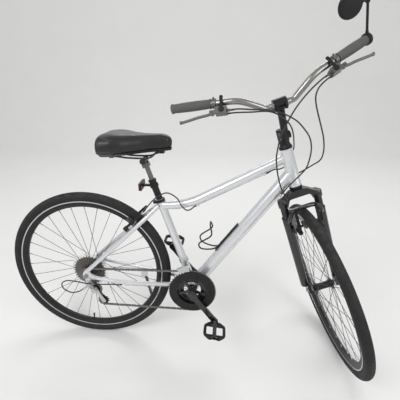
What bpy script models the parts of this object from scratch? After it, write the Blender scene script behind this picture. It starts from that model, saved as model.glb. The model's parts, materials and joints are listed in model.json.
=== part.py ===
"""Comfort hybrid bicycle with a sprung fork, 3 chainrings, rim brakes and a side stand.

The bicycle frame's own coordinates have X forward, Y to the left and Z up, with the rear
tyre's lowest point at the origin. Everything turned by the handlebar is built in the
coordinates of the steering axis, whose Z runs up the head tube. The whole bicycle hangs on
one empty that leans it onto its side stand.
"""
import math
import bmesh
import bpy
from mathutils import Matrix, Vector

# Wheels
TYRE_RADIUS = 0.350
TYRE_HALF_WIDTH = 0.019
TYRE_DEPTH = 0.0348
RIM_OUTER_RADIUS = TYRE_RADIUS - TYRE_DEPTH
RIM_DEPTH = 0.0272
RIM_INNER_RADIUS = RIM_OUTER_RADIUS - RIM_DEPTH
RIM_HALF_WIDTH = 0.0122
TYRE_SEAT_GAP = 0.0006
WHEEL_SEGMENTS = 48
SPOKES_PER_WHEEL = 32
SPOKE_CROSS_STEPS = 3
SPOKE_RADIUS = 0.0010
SPOKE_RIM_GAP = 0.0008
HUB_FLANGE_RADIUS = 0.0240
SPOKE_CIRCLE_RADIUS = 0.0210
FLANGE_THICKNESS = 0.0034
HUB_SHELL_RADIUS = 0.0150
REAR_FLANGE_RIGHT = -0.0200
REAR_FLANGE_LEFT = 0.0340
FREEHUB_RADIUS = 0.0160
FREEHUB_END = -0.0590
REAR_HUB_LEFT_END = 0.0580
FRONT_FLANGE = 0.0320
FRONT_HUB_END = 0.0430
AXLE_RADIUS = 0.0050
LOCKNUT_RADIUS = 0.0090
RUN_GAP = 0.0004

# Frame
SEAT_ANGLE = math.radians(71.6)
HEAD_ANGLE = math.radians(71.0)
BOTTOM_BRACKET_X = 0.447
BOTTOM_BRACKET_Z = 0.2875
STEER_FOOT_X = 0.9793
STEER_FOOT_Z = 0.3360
HEAD_TUBE_RADIUS = 0.0240
CROWN_CLEARANCE = 0.0500
CROWN_BOTTOM = TYRE_RADIUS + CROWN_CLEARANCE
CROWN_THICKNESS = 0.0280
CROWN_TOP = CROWN_BOTTOM + CROWN_THICKNESS
LOWER_CUP_HEIGHT = 0.0127
HEAD_TUBE_BOTTOM = CROWN_TOP + LOWER_CUP_HEIGHT
HEAD_TUBE_LENGTH = 0.1456
TOP_TUBE_RADIUS = 0.0180
DOWN_TUBE_RADIUS = 0.0225
SEAT_TUBE_RADIUS = 0.0160
SEAT_TUBE_LENGTH = 0.4150
TOP_TUBE_SEAT_DROP = 0.0280
TOP_TUBE_SEAT_HEIGHT = SEAT_TUBE_LENGTH - TOP_TUBE_SEAT_DROP
TOP_TUBE_BENDS = ((0.0702, 0.0053), (0.1302, 0.0218), (0.1952, 0.0543))
TOP_TUBE_HEAD_RISE = 0.1123
DOWN_TUBE_HEAD_RISE = 0.0523
STAY_SEAT_DROP = 0.0323
BRIDGE_CLEARANCE = 0.0160
STAY_RADIUS = 0.0090
CHAINSTAY_RADIUS = 0.0085
BRACKET_SHELL_RADIUS = 0.0205
BRACKET_SHELL_HALF = 0.0340
BRACKET_BORE = 0.0172
DROPOUT_CENTRE = 0.0700
DROPOUT_THICKNESS = 0.0050
REAR_HALF_SPACE = DROPOUT_CENTRE - DROPOUT_THICKNESS / 2

# Seat
SEATPOST_RADIUS = 0.0135
SEATPOST_INSERTION = 0.1200
SEATPOST_DROP = 0.0300
SEATPOST_TRAVEL = 0.0400
SEATPOST_COLLAR_AT = 0.4950
SHAFT_INSERTION = 0.0450
REFLECTOR_AT = 0.4740
REFLECTOR_WIDTH = 0.0660
REFLECTOR_HEIGHT = 0.0300
SEATPOST_SHAFT_RADIUS = 0.0095
SEATPOST_HEAD_AT = 0.5650
SADDLE_LENGTH = 0.2720
SADDLE_SETBACK = 0.15624
SADDLE_HALF_WIDTH = 0.1030
SADDLE_NOSE_HALF_WIDTH = 0.0260
SADDLE_THICKNESS = 0.0690
SADDLE_LIFT = 0.0321
SADDLE_EDGE_SLOPE = 0.0772
SADDLE_STATIONS = ((0.0, 0.62, 0.62), (0.035, 0.86, 0.82), (0.12, 1.0, 0.96), (0.24, 0.97, 0.98),
                   (0.36, 0.80, 0.90), (0.48, 0.52, 0.80), (0.60, 0.28, 0.72), (0.74, 0.12, 0.68),
                   (0.88, 0.02, 0.66), (0.965, -0.12, 0.58), (1.0, -0.42, 0.40))
RAIL_REAR_INSET = 0.0500
RAIL_FRONT_REACH = 0.2200
RAIL_RADIUS = 0.0035
RAIL_SPACING = 0.0220
RAIL_BARREL_RADIUS = 0.0110

# Fork, in steering coordinates
FORK_RAKE = 0.0430
LEG_OFFSET = 0.0180
LEG_HALF_SPACE = 0.0660
STANCHION_RADIUS = 0.0140
LOWER_RADIUS = 0.0180
LOWER_TOP = CROWN_BOTTOM - 0.0700
LUG_BOTTOM = CROWN_BOTTOM - 0.0240
LUG_TOP = CROWN_BOTTOM + 0.0020
STEERER_RADIUS = 0.0143
FORK_HALF_SPACE = 0.0500
ARCH_FORWARD = 0.0530
ARCH_TOP = CROWN_BOTTOM - 0.0320
ARCH_RADIUS = 0.0085

# Handlebar and stem, in steering coordinates
STEM_RISE = 0.0697
STEM_TOP = HEAD_TUBE_BOTTOM + HEAD_TUBE_LENGTH + STEM_RISE
STEM_CLAMP_RADIUS = 0.0200
STEM_PIVOT = (0.0345, STEM_TOP - 0.0160)
BAR_CLAMP = (0.0660, STEM_TOP + 0.0953)
BAR_RADIUS = 0.0111
BAR_CENTRE_RADIUS = 0.0127
BAR_HALF_WIDTH = 0.3360
BAR_STRAIGHT = 0.0450
BAR_RISE = 0.0570
BAR_RISE_END = 0.1250
BAR_SWEEP_START = 0.0900
BAR_SWEEP_EASE = 0.0400
BAR_BACKSWEEP = math.radians(20.0)
BAR_UPSWEEP = math.radians(4.5)
GRIP_LENGTH = 0.1250
GRIP_RADIUS = 0.0165
FORK_TRAVEL = 0.0400
MIRROR_ARM_LENGTH = 0.0900
MIRROR_RADIUS = 0.0390
CONTROL_DROP = math.radians(35.0)
LEVER_PIVOT_OUT = 0.0060
LEVER_PIVOT_REACH = 0.0350
STEER_ANGLE = math.radians(-82.7)

# Drive
CHAIN_PITCH = 0.0127
RING_TEETH = (48, 38, 28)
COG_TEETH = (13, 15, 17, 20, 23, 26, 30, 34)
PULLEY_TEETH = 11
CHAIN_LINE = 0.0555
RING_SPACING = 0.0075
CHAIN_HALF_HEIGHT = 0.0042
CHAIN_HALF_WIDTH = 0.0033
CHAIN_CLEARANCE = 0.0012
CRANK_LENGTH = 0.1700
CRANK_ANGLE = math.radians(-54.0)
CRANK_ARM_Y = 0.0750
GUARD_RADIUS = 0.0970
SPINDLE_RADIUS = 0.0085
UPPER_PULLEY = (0.0300, 0.2770)
LOWER_PULLEY = (0.0590, 0.2200)
PEDAL_LENGTH = 0.0920
PEDAL_WIDTH = 0.0950
PEDAL_HEIGHT = 0.0180

PEDAL_STUB_RADIUS = 0.0058
PEDAL_TILT = math.radians(7.0)
PROTECTOR_RADIUS = 0.0775
FRONT_CLAMP_AT = 0.1250

# Brakes
BRAKE_POST_HALF_SPACE = 0.0400
BRAKE_ARM_LENGTH = 0.1050
PAD_GAP = 0.0020
BRAKE_TRACK_INSET = 0.0117
BRAKE_TRACK_RADIUS = RIM_OUTER_RADIUS - BRAKE_TRACK_INSET
PAD_HEIGHT = 0.0235
BRAKE_PIVOT_RADIUS = BRAKE_TRACK_RADIUS - PAD_HEIGHT
REAR_BRAKE_OFFSET = 0.0400
FRONT_BRAKE_OFFSET = 0.0720

# Stand
STAND_PIVOT = (0.2150, 0.0660, 0.2800)
STAND_FOOT = (0.2000, 0.2250)
LEAN_ANGLE = math.radians(3.5)
STAND_LEG_RADIUS = 0.0070
STAND_FOLDED = (-0.980, 0.150, -0.060)

BRACKET = Vector((BOTTOM_BRACKET_X, 0, BOTTOM_BRACKET_Z))
SEAT_AXIS = Vector((-math.cos(SEAT_ANGLE), 0, math.sin(SEAT_ANGLE)))
STEER_AXIS = Vector((-math.cos(HEAD_ANGLE), 0, math.sin(HEAD_ANGLE)))
STEER_FOOT = Vector((STEER_FOOT_X, 0, STEER_FOOT_Z))
REAR_AXLE = Vector((0, 0, 0.350))
HEAD_TILT = Matrix.Rotation(HEAD_ANGLE - math.pi / 2, 4, "Y")
STEER_FRAME = Matrix.Translation(STEER_FOOT) @ HEAD_TILT @ Matrix.Rotation(STEER_ANGLE, 4, "Z")
STAY_TOP = BRACKET + SEAT_AXIS * (SEAT_TUBE_LENGTH - STAY_SEAT_DROP) - REAR_AXLE
STAY_DIRECTION = STAY_TOP.normalized()
STAY_OUTWARD = Vector((-STAY_DIRECTION.z, 0, STAY_DIRECTION.x))
STAY_OFFSET = 0.0120
STOP_STAND = 0.0040
HOUSING_RADIUS = 0.0025
WIRE_RADIUS = 0.0011
SEAT_TILT = Matrix.Rotation(SEAT_ANGLE - math.pi / 2, 4, "Y")
TILT_CENTRE = BRACKET + SEAT_AXIS * (SEATPOST_HEAD_AT + 0.014)
SADDLE_REAR_X = TILT_CENTRE.x - SADDLE_SETBACK
SADDLE_BOTTOM_Z = TILT_CENTRE.z + SADDLE_LIFT
RAIL_REAR_X = SADDLE_REAR_X + RAIL_REAR_INSET
RAIL_FRONT_X = SADDLE_REAR_X + RAIL_FRONT_REACH

for old in list(bpy.data.objects):
    bpy.data.objects.remove(old)

PARTS = bpy.data.collections.new("comfort_bicycle")
bpy.context.scene.collection.children.link(PARTS)


def material(name, colour, roughness, metallic):
    made = bpy.data.materials.get(name)
    if made is None:
        made = bpy.data.materials.new(name)
        made.use_nodes = True
        shader = made.node_tree.nodes["Principled BSDF"]
        shader.inputs["Base Color"].default_value = (*colour, 1)
        shader.inputs["Roughness"].default_value = roughness
        shader.inputs["Metallic"].default_value = metallic
    return made


def silver_paint():
    return material("silver_paint", (0.62, 0.65, 0.69), 0.28, 0.6)


def black_metal():
    return material("black_metal", (0.015, 0.015, 0.017), 0.35, 0.5)


def polished_metal():
    return material("polished_metal", (0.72, 0.72, 0.72), 0.2, 1.0)


def black_plastic():
    return material("black_plastic", (0.02, 0.02, 0.022), 0.45, 0.0)


def black_rubber():
    return material("black_rubber", (0.03, 0.03, 0.032), 0.8, 0.0)


def grip_rubber():
    return material("grip_rubber", (0.07, 0.07, 0.072), 0.75, 0.0)


def saddle_vinyl():
    return material("saddle_vinyl", (0.02, 0.02, 0.021), 0.3, 0.0)


def chain_steel():
    return material("chain_steel", (0.22, 0.2, 0.17), 0.4, 1.0)


def clear_plastic():
    return material("clear_plastic", (0.35, 0.35, 0.35), 0.2, 0.0)


def red_lens():
    return material("red_lens", (0.5, 0.02, 0.02), 0.2, 0.0)


def as_object(name, mesh, place=Matrix.Identity(4)):
    mesh.transform(place)
    if place.determinant() < 0:
        mesh.flip_normals()
    made = bpy.data.objects.new(name, mesh)
    PARTS.objects.link(made)
    return made


def from_bmesh(shape, name, place=Matrix.Identity(4)):
    mesh = bpy.data.meshes.new(name)
    bmesh.ops.recalc_face_normals(shape, faces=shape.faces)
    shape.to_mesh(mesh)
    shape.free()
    return as_object(name, mesh, place)


def along(start, end):
    """Matrix whose Z runs from start to end, with its origin halfway."""
    start = Vector(start)
    end = Vector(end)
    turn = (end - start).to_track_quat("Z", "Y").to_matrix().to_4x4()
    return Matrix.Translation((start + end) / 2) @ turn


def rod(start, end, radius, end_radius=None, sides=16):
    """Solid round bar, or a cone where the end radius differs."""
    shape = bmesh.new()
    last = radius if end_radius is None else end_radius
    length = (Vector(end) - Vector(start)).length
    bmesh.ops.create_cone(shape, cap_ends=True, segments=sides, radius1=radius, radius2=last,
                          depth=length)
    return from_bmesh(shape, "rod", along(start, end))


def box(centre, size, turn=Matrix.Identity(4)):
    shape = bmesh.new()
    bmesh.ops.create_cube(shape, size=1)
    place = Matrix.Translation(centre) @ turn @ Matrix.Diagonal((*size, 1))
    return from_bmesh(shape, "box", place)


def ball(centre, radius, sides=12):
    shape = bmesh.new()
    bmesh.ops.create_uvsphere(shape, u_segments=sides, v_segments=sides // 2, radius=radius)
    return from_bmesh(shape, "ball", Matrix.Translation(centre))


def evaluated_mesh(made):
    bpy.context.view_layer.update()
    graph = bpy.context.evaluated_depsgraph_get()
    return bpy.data.meshes.new_from_object(made.evaluated_get(graph))


def baked(made, weld=False):
    """Replace an object by the mesh that its modifiers or its curve give."""
    mesh = evaluated_mesh(made)
    shape = bmesh.new()
    shape.from_mesh(mesh)
    if weld:
        bmesh.ops.remove_doubles(shape, verts=shape.verts, dist=0.00002)
        bmesh.ops.recalc_face_normals(shape, faces=shape.faces)
    shape.to_mesh(mesh)
    shape.free()
    done = bpy.data.objects.new(made.name, mesh)
    done.matrix_world = made.matrix_world
    PARTS.objects.link(done)
    bpy.data.objects.remove(made)
    return done


def turned(profile, steps=32, start=(0, 0, 0), end=(0, 0, 1), closed=False):
    """Turned solid: (radius, height) points run down the outer side, top to bottom."""
    mesh = bpy.data.meshes.new("turned")
    count = len(profile)
    edges = [(i, (i + 1) % count) for i in range(count if closed else count - 1)]
    mesh.from_pydata([(radius, 0, height) for radius, height in profile], edges, [])
    made = as_object("turned", mesh)
    screw = made.modifiers.new("screw", "SCREW")
    screw.steps = steps
    screw.render_steps = steps
    screw.use_merge_vertices = True
    screw.merge_threshold = 0.00002
    done = baked(made, weld=True)
    direction = (Vector(end) - Vector(start)).to_track_quat("Z", "Y").to_matrix().to_4x4()
    done.data.transform(Matrix.Translation(start) @ direction)
    return done


def bent_tube(points, radius, smooth=True, detail=3, radii=None, steps=6, closed=False):
    """Tube along hand-set points, round at the bends, with closed ends."""
    route = smooth_route(points, steps) if smooth else [Vector(p) for p in points]
    curve = bpy.data.curves.new("tube", "CURVE")
    curve.dimensions = "3D"
    curve.bevel_depth = radius
    curve.bevel_resolution = detail
    curve.use_fill_caps = True
    spline = curve.splines.new("POLY")
    spline.points.add(len(route) - 1)
    spline.use_cyclic_u = closed
    for i, point in enumerate(route):
        spline.points[i].co = (*point, 1)
        if radii is not None:
            spline.points[i].radius = radii(i / (len(route) - 1))
    made = bpy.data.objects.new("tube", curve)
    PARTS.objects.link(made)
    return baked(made, weld=True)


def smooth_route(points, steps):
    """Points on a Catmull-Rom curve through the given points."""
    given = [Vector(p) for p in points]
    padded = [2 * given[0] - given[1], *given, 2 * given[-1] - given[-2]]
    route = []
    for a, b, c, d in zip(padded, padded[1:], padded[2:], padded[3:]):
        for k in range(steps):
            t = k / steps
            route.append(0.5 * (2 * b + (c - a) * t + (2 * a - 5 * b + 4 * c - d) * t * t
                                + (3 * b - a - 3 * c + d) * t ** 3))
    route.append(given[-1])
    return route


def plate(outline, thickness, place):
    """Flat plate from an outline in its own XY plane, centred on that plane."""
    curve = bpy.data.curves.new("plate", "CURVE")
    curve.dimensions = "2D"
    curve.fill_mode = "BOTH"
    curve.extrude = thickness / 2
    spline = curve.splines.new("POLY")
    spline.points.add(len(outline) - 1)
    spline.use_cyclic_u = True
    for i, (x, y) in enumerate(outline):
        spline.points[i].co = (x, y, 0, 1)
    made = bpy.data.objects.new("plate", curve)
    PARTS.objects.link(made)
    done = baked(made, weld=True)
    done.data.transform(place)
    return done


def in_triangles(made):
    shape = bmesh.new()
    shape.from_mesh(made.data)
    bmesh.ops.triangulate(shape, faces=shape.faces)
    bmesh.ops.remove_doubles(shape, verts=shape.verts, dist=0.000002)
    shape.to_mesh(made.data)
    shape.free()


def boolean(base, others, operation, solver="EXACT"):
    """Join or cut one body with several others, which are used up."""
    for other in others:
        in_triangles(base)
        in_triangles(other)
        step = base.modifiers.new(operation.lower(), "BOOLEAN")
        step.operation = operation
        step.solver = solver
        step.object = other
        base = baked(base)
        bpy.data.objects.remove(other)
    return base


def joined(*pieces, solver="EXACT"):
    return boolean(pieces[0], pieces[1:], "UNION", solver)


def cut(base, *cutters):
    return boolean(base, cutters, "DIFFERENCE")


def holder(name, parent, place):
    """Empty that carries pieces, in its parent's coordinates."""
    made = bpy.data.objects.new(name, None)
    PARTS.objects.link(made)
    made.parent = parent
    made.matrix_local = place
    return made


def tyre_bottom(centre, axis):
    """Height of the lowest point of a tyre about that axis."""
    ring_radius = TYRE_RADIUS - TYRE_HALF_WIDTH
    return centre.z - ring_radius * math.sqrt(1 - axis.z ** 2) - TYRE_HALF_WIDTH


def stand_matrix():
    """Lean on the stand, with a pitch and height that set both tyres on the ground."""
    pitch = 0.0
    turned_axis = STEER_FRAME.to_3x3() @ Vector((0, 1, 0))
    front = STEER_FRAME @ Vector((FORK_RAKE, 0, 0))
    for _ in range(12):
        turn = Matrix.Rotation(pitch, 4, "Y") @ Matrix.Rotation(-LEAN_ANGLE, 4, "X")
        low_rear = tyre_bottom(turn @ REAR_AXLE, turn.to_3x3() @ Vector((0, 1, 0)))
        low_front = tyre_bottom(turn @ front, turn.to_3x3() @ turned_axis)
        pitch += (low_front - low_rear) / (front.x - REAR_AXLE.x)
    return Matrix.Translation((0, 0, -low_rear)) @ turn


STAND_MATRIX = stand_matrix()


def stand_axis():
    """Hinge axis that swings the leg from the ground to its folded line."""
    pivot = Vector(STAND_PIVOT)
    down = (STAND_MATRIX.inverted() @ Vector((STAND_FOOT[0], STAND_FOOT[1],
                                              STAND_LEG_RADIUS)) - pivot).normalized()
    change = (down - Vector(STAND_FOLDED).normalized()).normalized()
    return (Vector((0, 1, 0)) - change * change.y).normalized()


BIKE = holder("bicycle_stand", None, STAND_MATRIX)
STEER = holder("steering_axis", BIKE, STEER_FRAME)


def finish(name, made, look, carrier=BIKE, pivot=(0, 0, 0)):
    """Name a finished piece, colour it, and set its origin at its pivot on its carrier."""
    made.name = name
    made.data.name = name
    made.data.materials.clear()
    made.data.materials.append(look)
    made.data.shade_smooth()
    made.data.set_sharp_from_angle(angle=math.radians(35))
    made.data.transform(Matrix.Translation(-Vector(pivot)))
    made.location = pivot
    made.parent = carrier
    return made


def wheel_point(centre, radius, angle, side):
    """Point beside a wheel whose axle runs along Y."""
    return Vector((centre[0] + radius * math.cos(angle), centre[1] + side,
                   centre[2] + radius * math.sin(angle)))


def lay_down(made, centre):
    """Turn a piece built around Z so that its axis is Y, with +Z becoming -Y."""
    made.data.transform(Matrix.Translation(centre) @ Matrix.Rotation(math.pi / 2, 4, "X"))
    return made


def tyre(centre):
    seat = RIM_OUTER_RADIUS + TYRE_SEAT_GAP
    ring = TYRE_RADIUS - TYRE_HALF_WIDTH
    foot = math.radians(232)
    count = 6
    profile = [(seat, -RIM_HALF_WIDTH * 0.8), (seat, RIM_HALF_WIDTH * 0.8)]
    for i in range(count + 1):
        angle = foot / 2 - foot * i / count
        profile.append((ring + TYRE_HALF_WIDTH * math.cos(angle), TYRE_HALF_WIDTH * math.sin(angle)))
    return lay_down(turned(profile[:2][::-1] + profile[2:][::-1], WHEEL_SEGMENTS, closed=True), centre)


def rim(centre):
    deep = RIM_INNER_RADIUS
    wall = RIM_HALF_WIDTH
    profile = [(RIM_OUTER_RADIUS, wall), (RIM_OUTER_RADIUS, -wall), (RIM_OUTER_RADIUS - 0.014, -wall),
               (deep, -wall * 0.45), (deep, wall * 0.45), (RIM_OUTER_RADIUS - 0.014, wall)]
    return lay_down(turned(profile, WHEEL_SEGMENTS, closed=True), centre)


def spokes(centre, right_flange, left_flange):
    """Each spoke is a thin bar with its nipple, crossed as on a laced wheel."""
    made = []
    per_side = SPOKES_PER_WHEEL // 2
    for i in range(SPOKES_PER_WHEEL):
        flange = right_flange if i % 2 else left_flange
        leading = 1 if (i // 2) % 2 else -1
        at_rim = 2 * math.pi * i / SPOKES_PER_WHEEL
        at_hub = at_rim + leading * SPOKE_CROSS_STEPS * 2 * math.pi / per_side
        side = flange + leading * (FLANGE_THICKNESS / 2 - SPOKE_RADIUS)
        foot = wheel_point(centre, SPOKE_CIRCLE_RADIUS, at_hub, side)
        tip = wheel_point(centre, RIM_INNER_RADIUS - SPOKE_RIM_GAP, at_rim, flange * 0.03)
        made.append(rod(foot, tip, SPOKE_RADIUS, sides=3))
    return made


def hub(centre, right_flange, left_flange, right_end, left_end, right_radius):
    """Hub shell with two flanges, bored for its fixed axle, and its spokes."""
    half = FLANGE_THICKNESS / 2
    bore = AXLE_RADIUS + RUN_GAP
    outline = [(bore, -right_end), (right_radius, -right_end), (right_radius, -right_flange + half),
               (HUB_FLANGE_RADIUS, -right_flange + half), (HUB_FLANGE_RADIUS, -right_flange - half),
               (HUB_SHELL_RADIUS, -right_flange - half), (HUB_SHELL_RADIUS, -left_flange + half),
               (HUB_FLANGE_RADIUS, -left_flange + half), (HUB_FLANGE_RADIUS, -left_flange - half),
               (HUB_SHELL_RADIUS * 0.8, -left_flange - half), (HUB_SHELL_RADIUS * 0.8, -left_end),
               (bore, -left_end)]
    shell = lay_down(turned(outline, 16, closed=True), centre)
    return joined(shell, *spokes(centre, right_flange, left_flange))


def axle(centre, half_space, right_out, left_out):
    """Fixed axle with its lock nuts inside the dropouts and a nut outside the right one."""
    x, _, z = centre
    inner = half_space - RUN_GAP
    nut = 0.006
    bar = rod((x, -right_out, z), (x, left_out, z), AXLE_RADIUS - RUN_GAP, sides=12)
    right_lock = rod((x, -inner, z), (x, -inner + nut, z), LOCKNUT_RADIUS, sides=12)
    left_lock = rod((x, inner - nut, z), (x, inner, z), LOCKNUT_RADIUS, sides=12)
    outer_nut = rod((x, -right_out, z), (x, -right_out + 0.008, z), LOCKNUT_RADIUS, sides=12)
    return joined(bar, right_lock, left_lock, outer_nut)


def quick_release(centre, inside):
    """Cam lever that hangs below the left end of an axle."""
    x, _, z = centre
    start = inside + RUN_GAP
    middle = start + 0.0080
    cam = rod((x - 0.009, middle, z), (x + 0.009, middle, z), 0.0080, sides=16)
    blade = bent_tube([(x, middle, z), (x - 0.008, middle + 0.005, z - 0.022),
                       (x - 0.016, middle + 0.004, z - 0.050)], 0.0042, steps=2, detail=1)
    return joined(cam, blade)


def wheels():
    rear = tuple(REAR_AXLE)
    front = (FORK_RAKE, 0, 0)
    front_right = -FRONT_FLANGE
    for name, centre, carrier in (("rear", rear, BIKE), ("front", front, STEER)):
        finish(f"{name}_tyre", tyre(centre), black_rubber(), carrier, centre)
        finish(f"{name}_rim", rim(centre), black_metal(), carrier, centre)
    rear_hub = hub(rear, REAR_FLANGE_RIGHT, REAR_FLANGE_LEFT, FREEHUB_END, REAR_HUB_LEFT_END,
                   FREEHUB_RADIUS)
    finish("rear_hub_spokes", rear_hub, black_metal(), BIKE, rear)
    front_hub = hub(front, front_right, FRONT_FLANGE, -FRONT_HUB_END, FRONT_HUB_END,
                    HUB_SHELL_RADIUS * 0.8)
    finish("front_hub_spokes", front_hub, black_metal(), STEER, front)
    rear_out = DROPOUT_CENTRE + DROPOUT_THICKNESS / 2
    front_out = FORK_HALF_SPACE + 0.012
    finish("rear_axle", axle(rear, REAR_HALF_SPACE, rear_out + 0.0125, rear_out + 0.001),
           polished_metal(), BIKE)
    finish("front_axle", axle(front, FORK_HALF_SPACE, front_out + 0.009, front_out + 0.001),
           polished_metal(),
           STEER)
    for name, centre, outside, carrier in (("rear", rear, rear_out, BIKE),
                                           ("front", front, front_out, STEER)):
        pivot = (centre[0], outside + 0.001 + RUN_GAP + 0.0080, centre[2])
        finish(f"{name}_quick_release", quick_release(centre, outside + 0.001), black_metal(),
               carrier, pivot)


def stay_point(distance, side, offset=STAY_OFFSET):
    """Point on a seat stay, measured from the rear axle along the stay."""
    point = REAR_AXLE + STAY_DIRECTION * distance + STAY_OUTWARD * offset
    point.y = side
    return point


def top_tube_bend(index):
    along, up = TOP_TUBE_BENDS[index]
    return seat_point(TOP_TUBE_SEAT_HEIGHT) + Vector((along, 0, up))


def steering_point(height):
    return STEER_FOOT + STEER_AXIS * height


def down_tube_head():
    return steering_point(HEAD_TUBE_BOTTOM + DOWN_TUBE_HEAD_RISE)


def seat_point(height):
    return BRACKET + SEAT_AXIS * height


def dropout(side):
    """Rear axle plate; the right one carries the derailleur hanger."""
    outline = [(-0.013, 0.344), (-0.013, 0.356), (-0.004, 0.374), (0.012, 0.388), (0.024, 0.382),
               (0.020, 0.366), (0.040, 0.352), (0.044, 0.338), (0.030, 0.334), (0.016, 0.336)]
    if side < 0:
        outline += [(0.018, 0.320), (0.008, 0.312), (-0.002, 0.318), (-0.006, 0.334)]
    place = Matrix.Translation((0, side * DROPOUT_CENTRE, 0)) @ Matrix.Rotation(math.pi / 2, 4, "X")
    return plate(outline, DROPOUT_THICKNESS, place)


def chainstay(side):
    route = [(0.018, 0.0700, 0.3540), (0.05, 0.0700, 0.341), (0.14, 0.0660, 0.3265),
             (0.25, 0.0550, 0.3150), (0.33, 0.0400, 0.3060), (0.39, 0.0285, 0.2975),
             (0.44, 0.0215, 0.2890)]
    return bent_tube([(x, side * y, z) for x, y, z in route], CHAINSTAY_RADIUS, steps=1, detail=3)


def seat_stay(side):
    span = STAY_TOP.length
    route = [(0.020, 0.0700), (0.140, 0.0620), (0.277, 0.0475), (span - 0.0786, 0.0350),
             (span - 0.0076, 0.0120)]
    return bent_tube([stay_point(t, side * y) for t, y in route], STAY_RADIUS, steps=1, detail=3)


def cable_stop(centre, run, radius=0.0050, length=0.012):
    return rod(centre - run * length / 2, centre + run * length / 2, radius, sides=10)


def stop_under(start, end, reach, tube_radius, turn=0.0):
    """Place and direction of a cable stop below the tube from start to end."""
    run = (Vector(end) - Vector(start)).normalized()
    under = Vector((run.z, 0, -run.x)) * math.cos(turn) + Vector((0, 1, 0)) * math.sin(turn)
    return Vector(start) + run * reach + under * (tube_radius + STOP_STAND), run


def front_top_stop():
    return stop_under(top_tube_bend(2), steering_point(HEAD_TUBE_BOTTOM + TOP_TUBE_HEAD_RISE), 0.215,
                      TOP_TUBE_RADIUS)


def rear_top_stop():
    return stop_under(top_tube_bend(1), top_tube_bend(2), 0.004, TOP_TUBE_RADIUS)


def down_stop(side, reach=0.540):
    return stop_under(BRACKET, down_tube_head(), reach, DOWN_TUBE_RADIUS,
                      side * math.radians(17))


def frame_set():
    head = rod(steering_point(HEAD_TUBE_BOTTOM), steering_point(HEAD_TUBE_BOTTOM + HEAD_TUBE_LENGTH),
               HEAD_TUBE_RADIUS, sides=28)
    top_start = seat_point(TOP_TUBE_SEAT_HEIGHT)
    top_end = steering_point(HEAD_TUBE_BOTTOM + TOP_TUBE_HEAD_RISE)
    bends = [top_tube_bend(index) for index in range(3)]
    top = bent_tube([top_start, *bends, top_end],
                    TOP_TUBE_RADIUS, steps=2, detail=5)
    down = rod(BRACKET, down_tube_head(), DOWN_TUBE_RADIUS, sides=20)
    seat = rod(BRACKET, seat_point(SEAT_TUBE_LENGTH), SEAT_TUBE_RADIUS, sides=20)
    shell = rod(BRACKET - Vector((0, BRACKET_SHELL_HALF, 0)),
                BRACKET + Vector((0, BRACKET_SHELL_HALF, 0)),
                BRACKET_SHELL_RADIUS, sides=24)
    body = joined(shell, down, head, top, seat)
    stops = [cable_stop(*stop) for stop in (front_top_stop(), rear_top_stop(), down_stop(-1),
                                            down_stop(1))]
    bores = [cable_stop(centre, run, 0.0030, 0.020)
             for centre, run in (front_top_stop(), rear_top_stop(), down_stop(-1), down_stop(1))]
    body = joined(body, *stops)
    for side in (-1, 1):
        post_start = stay_point(BRAKE_PIVOT_RADIUS - 0.003, side * BRAKE_POST_HALF_SPACE)
        post_end = post_start + STAY_OUTWARD * (REAR_BRAKE_OFFSET - STAY_OFFSET + 0.003)
        body = joined(body, chainstay(side), seat_stay(side), dropout(side),
                      rod(post_start, post_end, 0.0050, sides=10))
        body = cut(body, rod((0, side * 0.06, REAR_AXLE.z), (0, side * 0.08, REAR_AXLE.z),
                             AXLE_RADIUS, sides=12))
    over = TYRE_RADIUS + BRIDGE_CLEARANCE
    bridge = rod(stay_point(over, -0.034), stay_point(over, 0.034), 0.0060, sides=10)
    x, y, z = STAND_PIVOT
    stand_plate = box((x, y - 0.0075, z + 0.018), (0.030, 0.006, 0.052))
    body = joined(body, bridge, stand_plate)
    body = cut(body, rod(steering_point(HEAD_TUBE_BOTTOM - 0.01),
                         steering_point(HEAD_TUBE_BOTTOM + HEAD_TUBE_LENGTH + 0.01),
                         STEERER_RADIUS + RUN_GAP, sides=20))
    body = cut(body, rod(seat_point(SEAT_TUBE_LENGTH - SEATPOST_INSERTION - SEATPOST_DROP - 0.005),
                         seat_point(SEAT_TUBE_LENGTH + 0.01), SEATPOST_RADIUS + RUN_GAP, sides=20))
    body = cut(body, rod(BRACKET - Vector((0, 0.04, 0)), BRACKET + Vector((0, 0.04, 0)),
                         BRACKET_BORE, sides=24), *bores)
    finish("frame", body, silver_paint(), BIKE)


def seat_clamp():
    low = seat_point(SEAT_TUBE_LENGTH - 0.013)
    high = seat_point(SEAT_TUBE_LENGTH - 0.001)
    ring = rod(low, high, SEAT_TUBE_RADIUS + 0.0035, sides=20)
    lug = box(seat_point(SEAT_TUBE_LENGTH - 0.007) - Vector((0.021, 0, 0.007)), (0.010, 0.020, 0.010))
    ring = joined(ring, lug)
    ring = cut(ring, rod(seat_point(SEAT_TUBE_LENGTH - 0.02), seat_point(SEAT_TUBE_LENGTH + 0.01),
                         SEAT_TUBE_RADIUS + 0.0003, sides=20))
    finish("seat_clamp", ring, black_metal(), BIKE)


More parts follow.
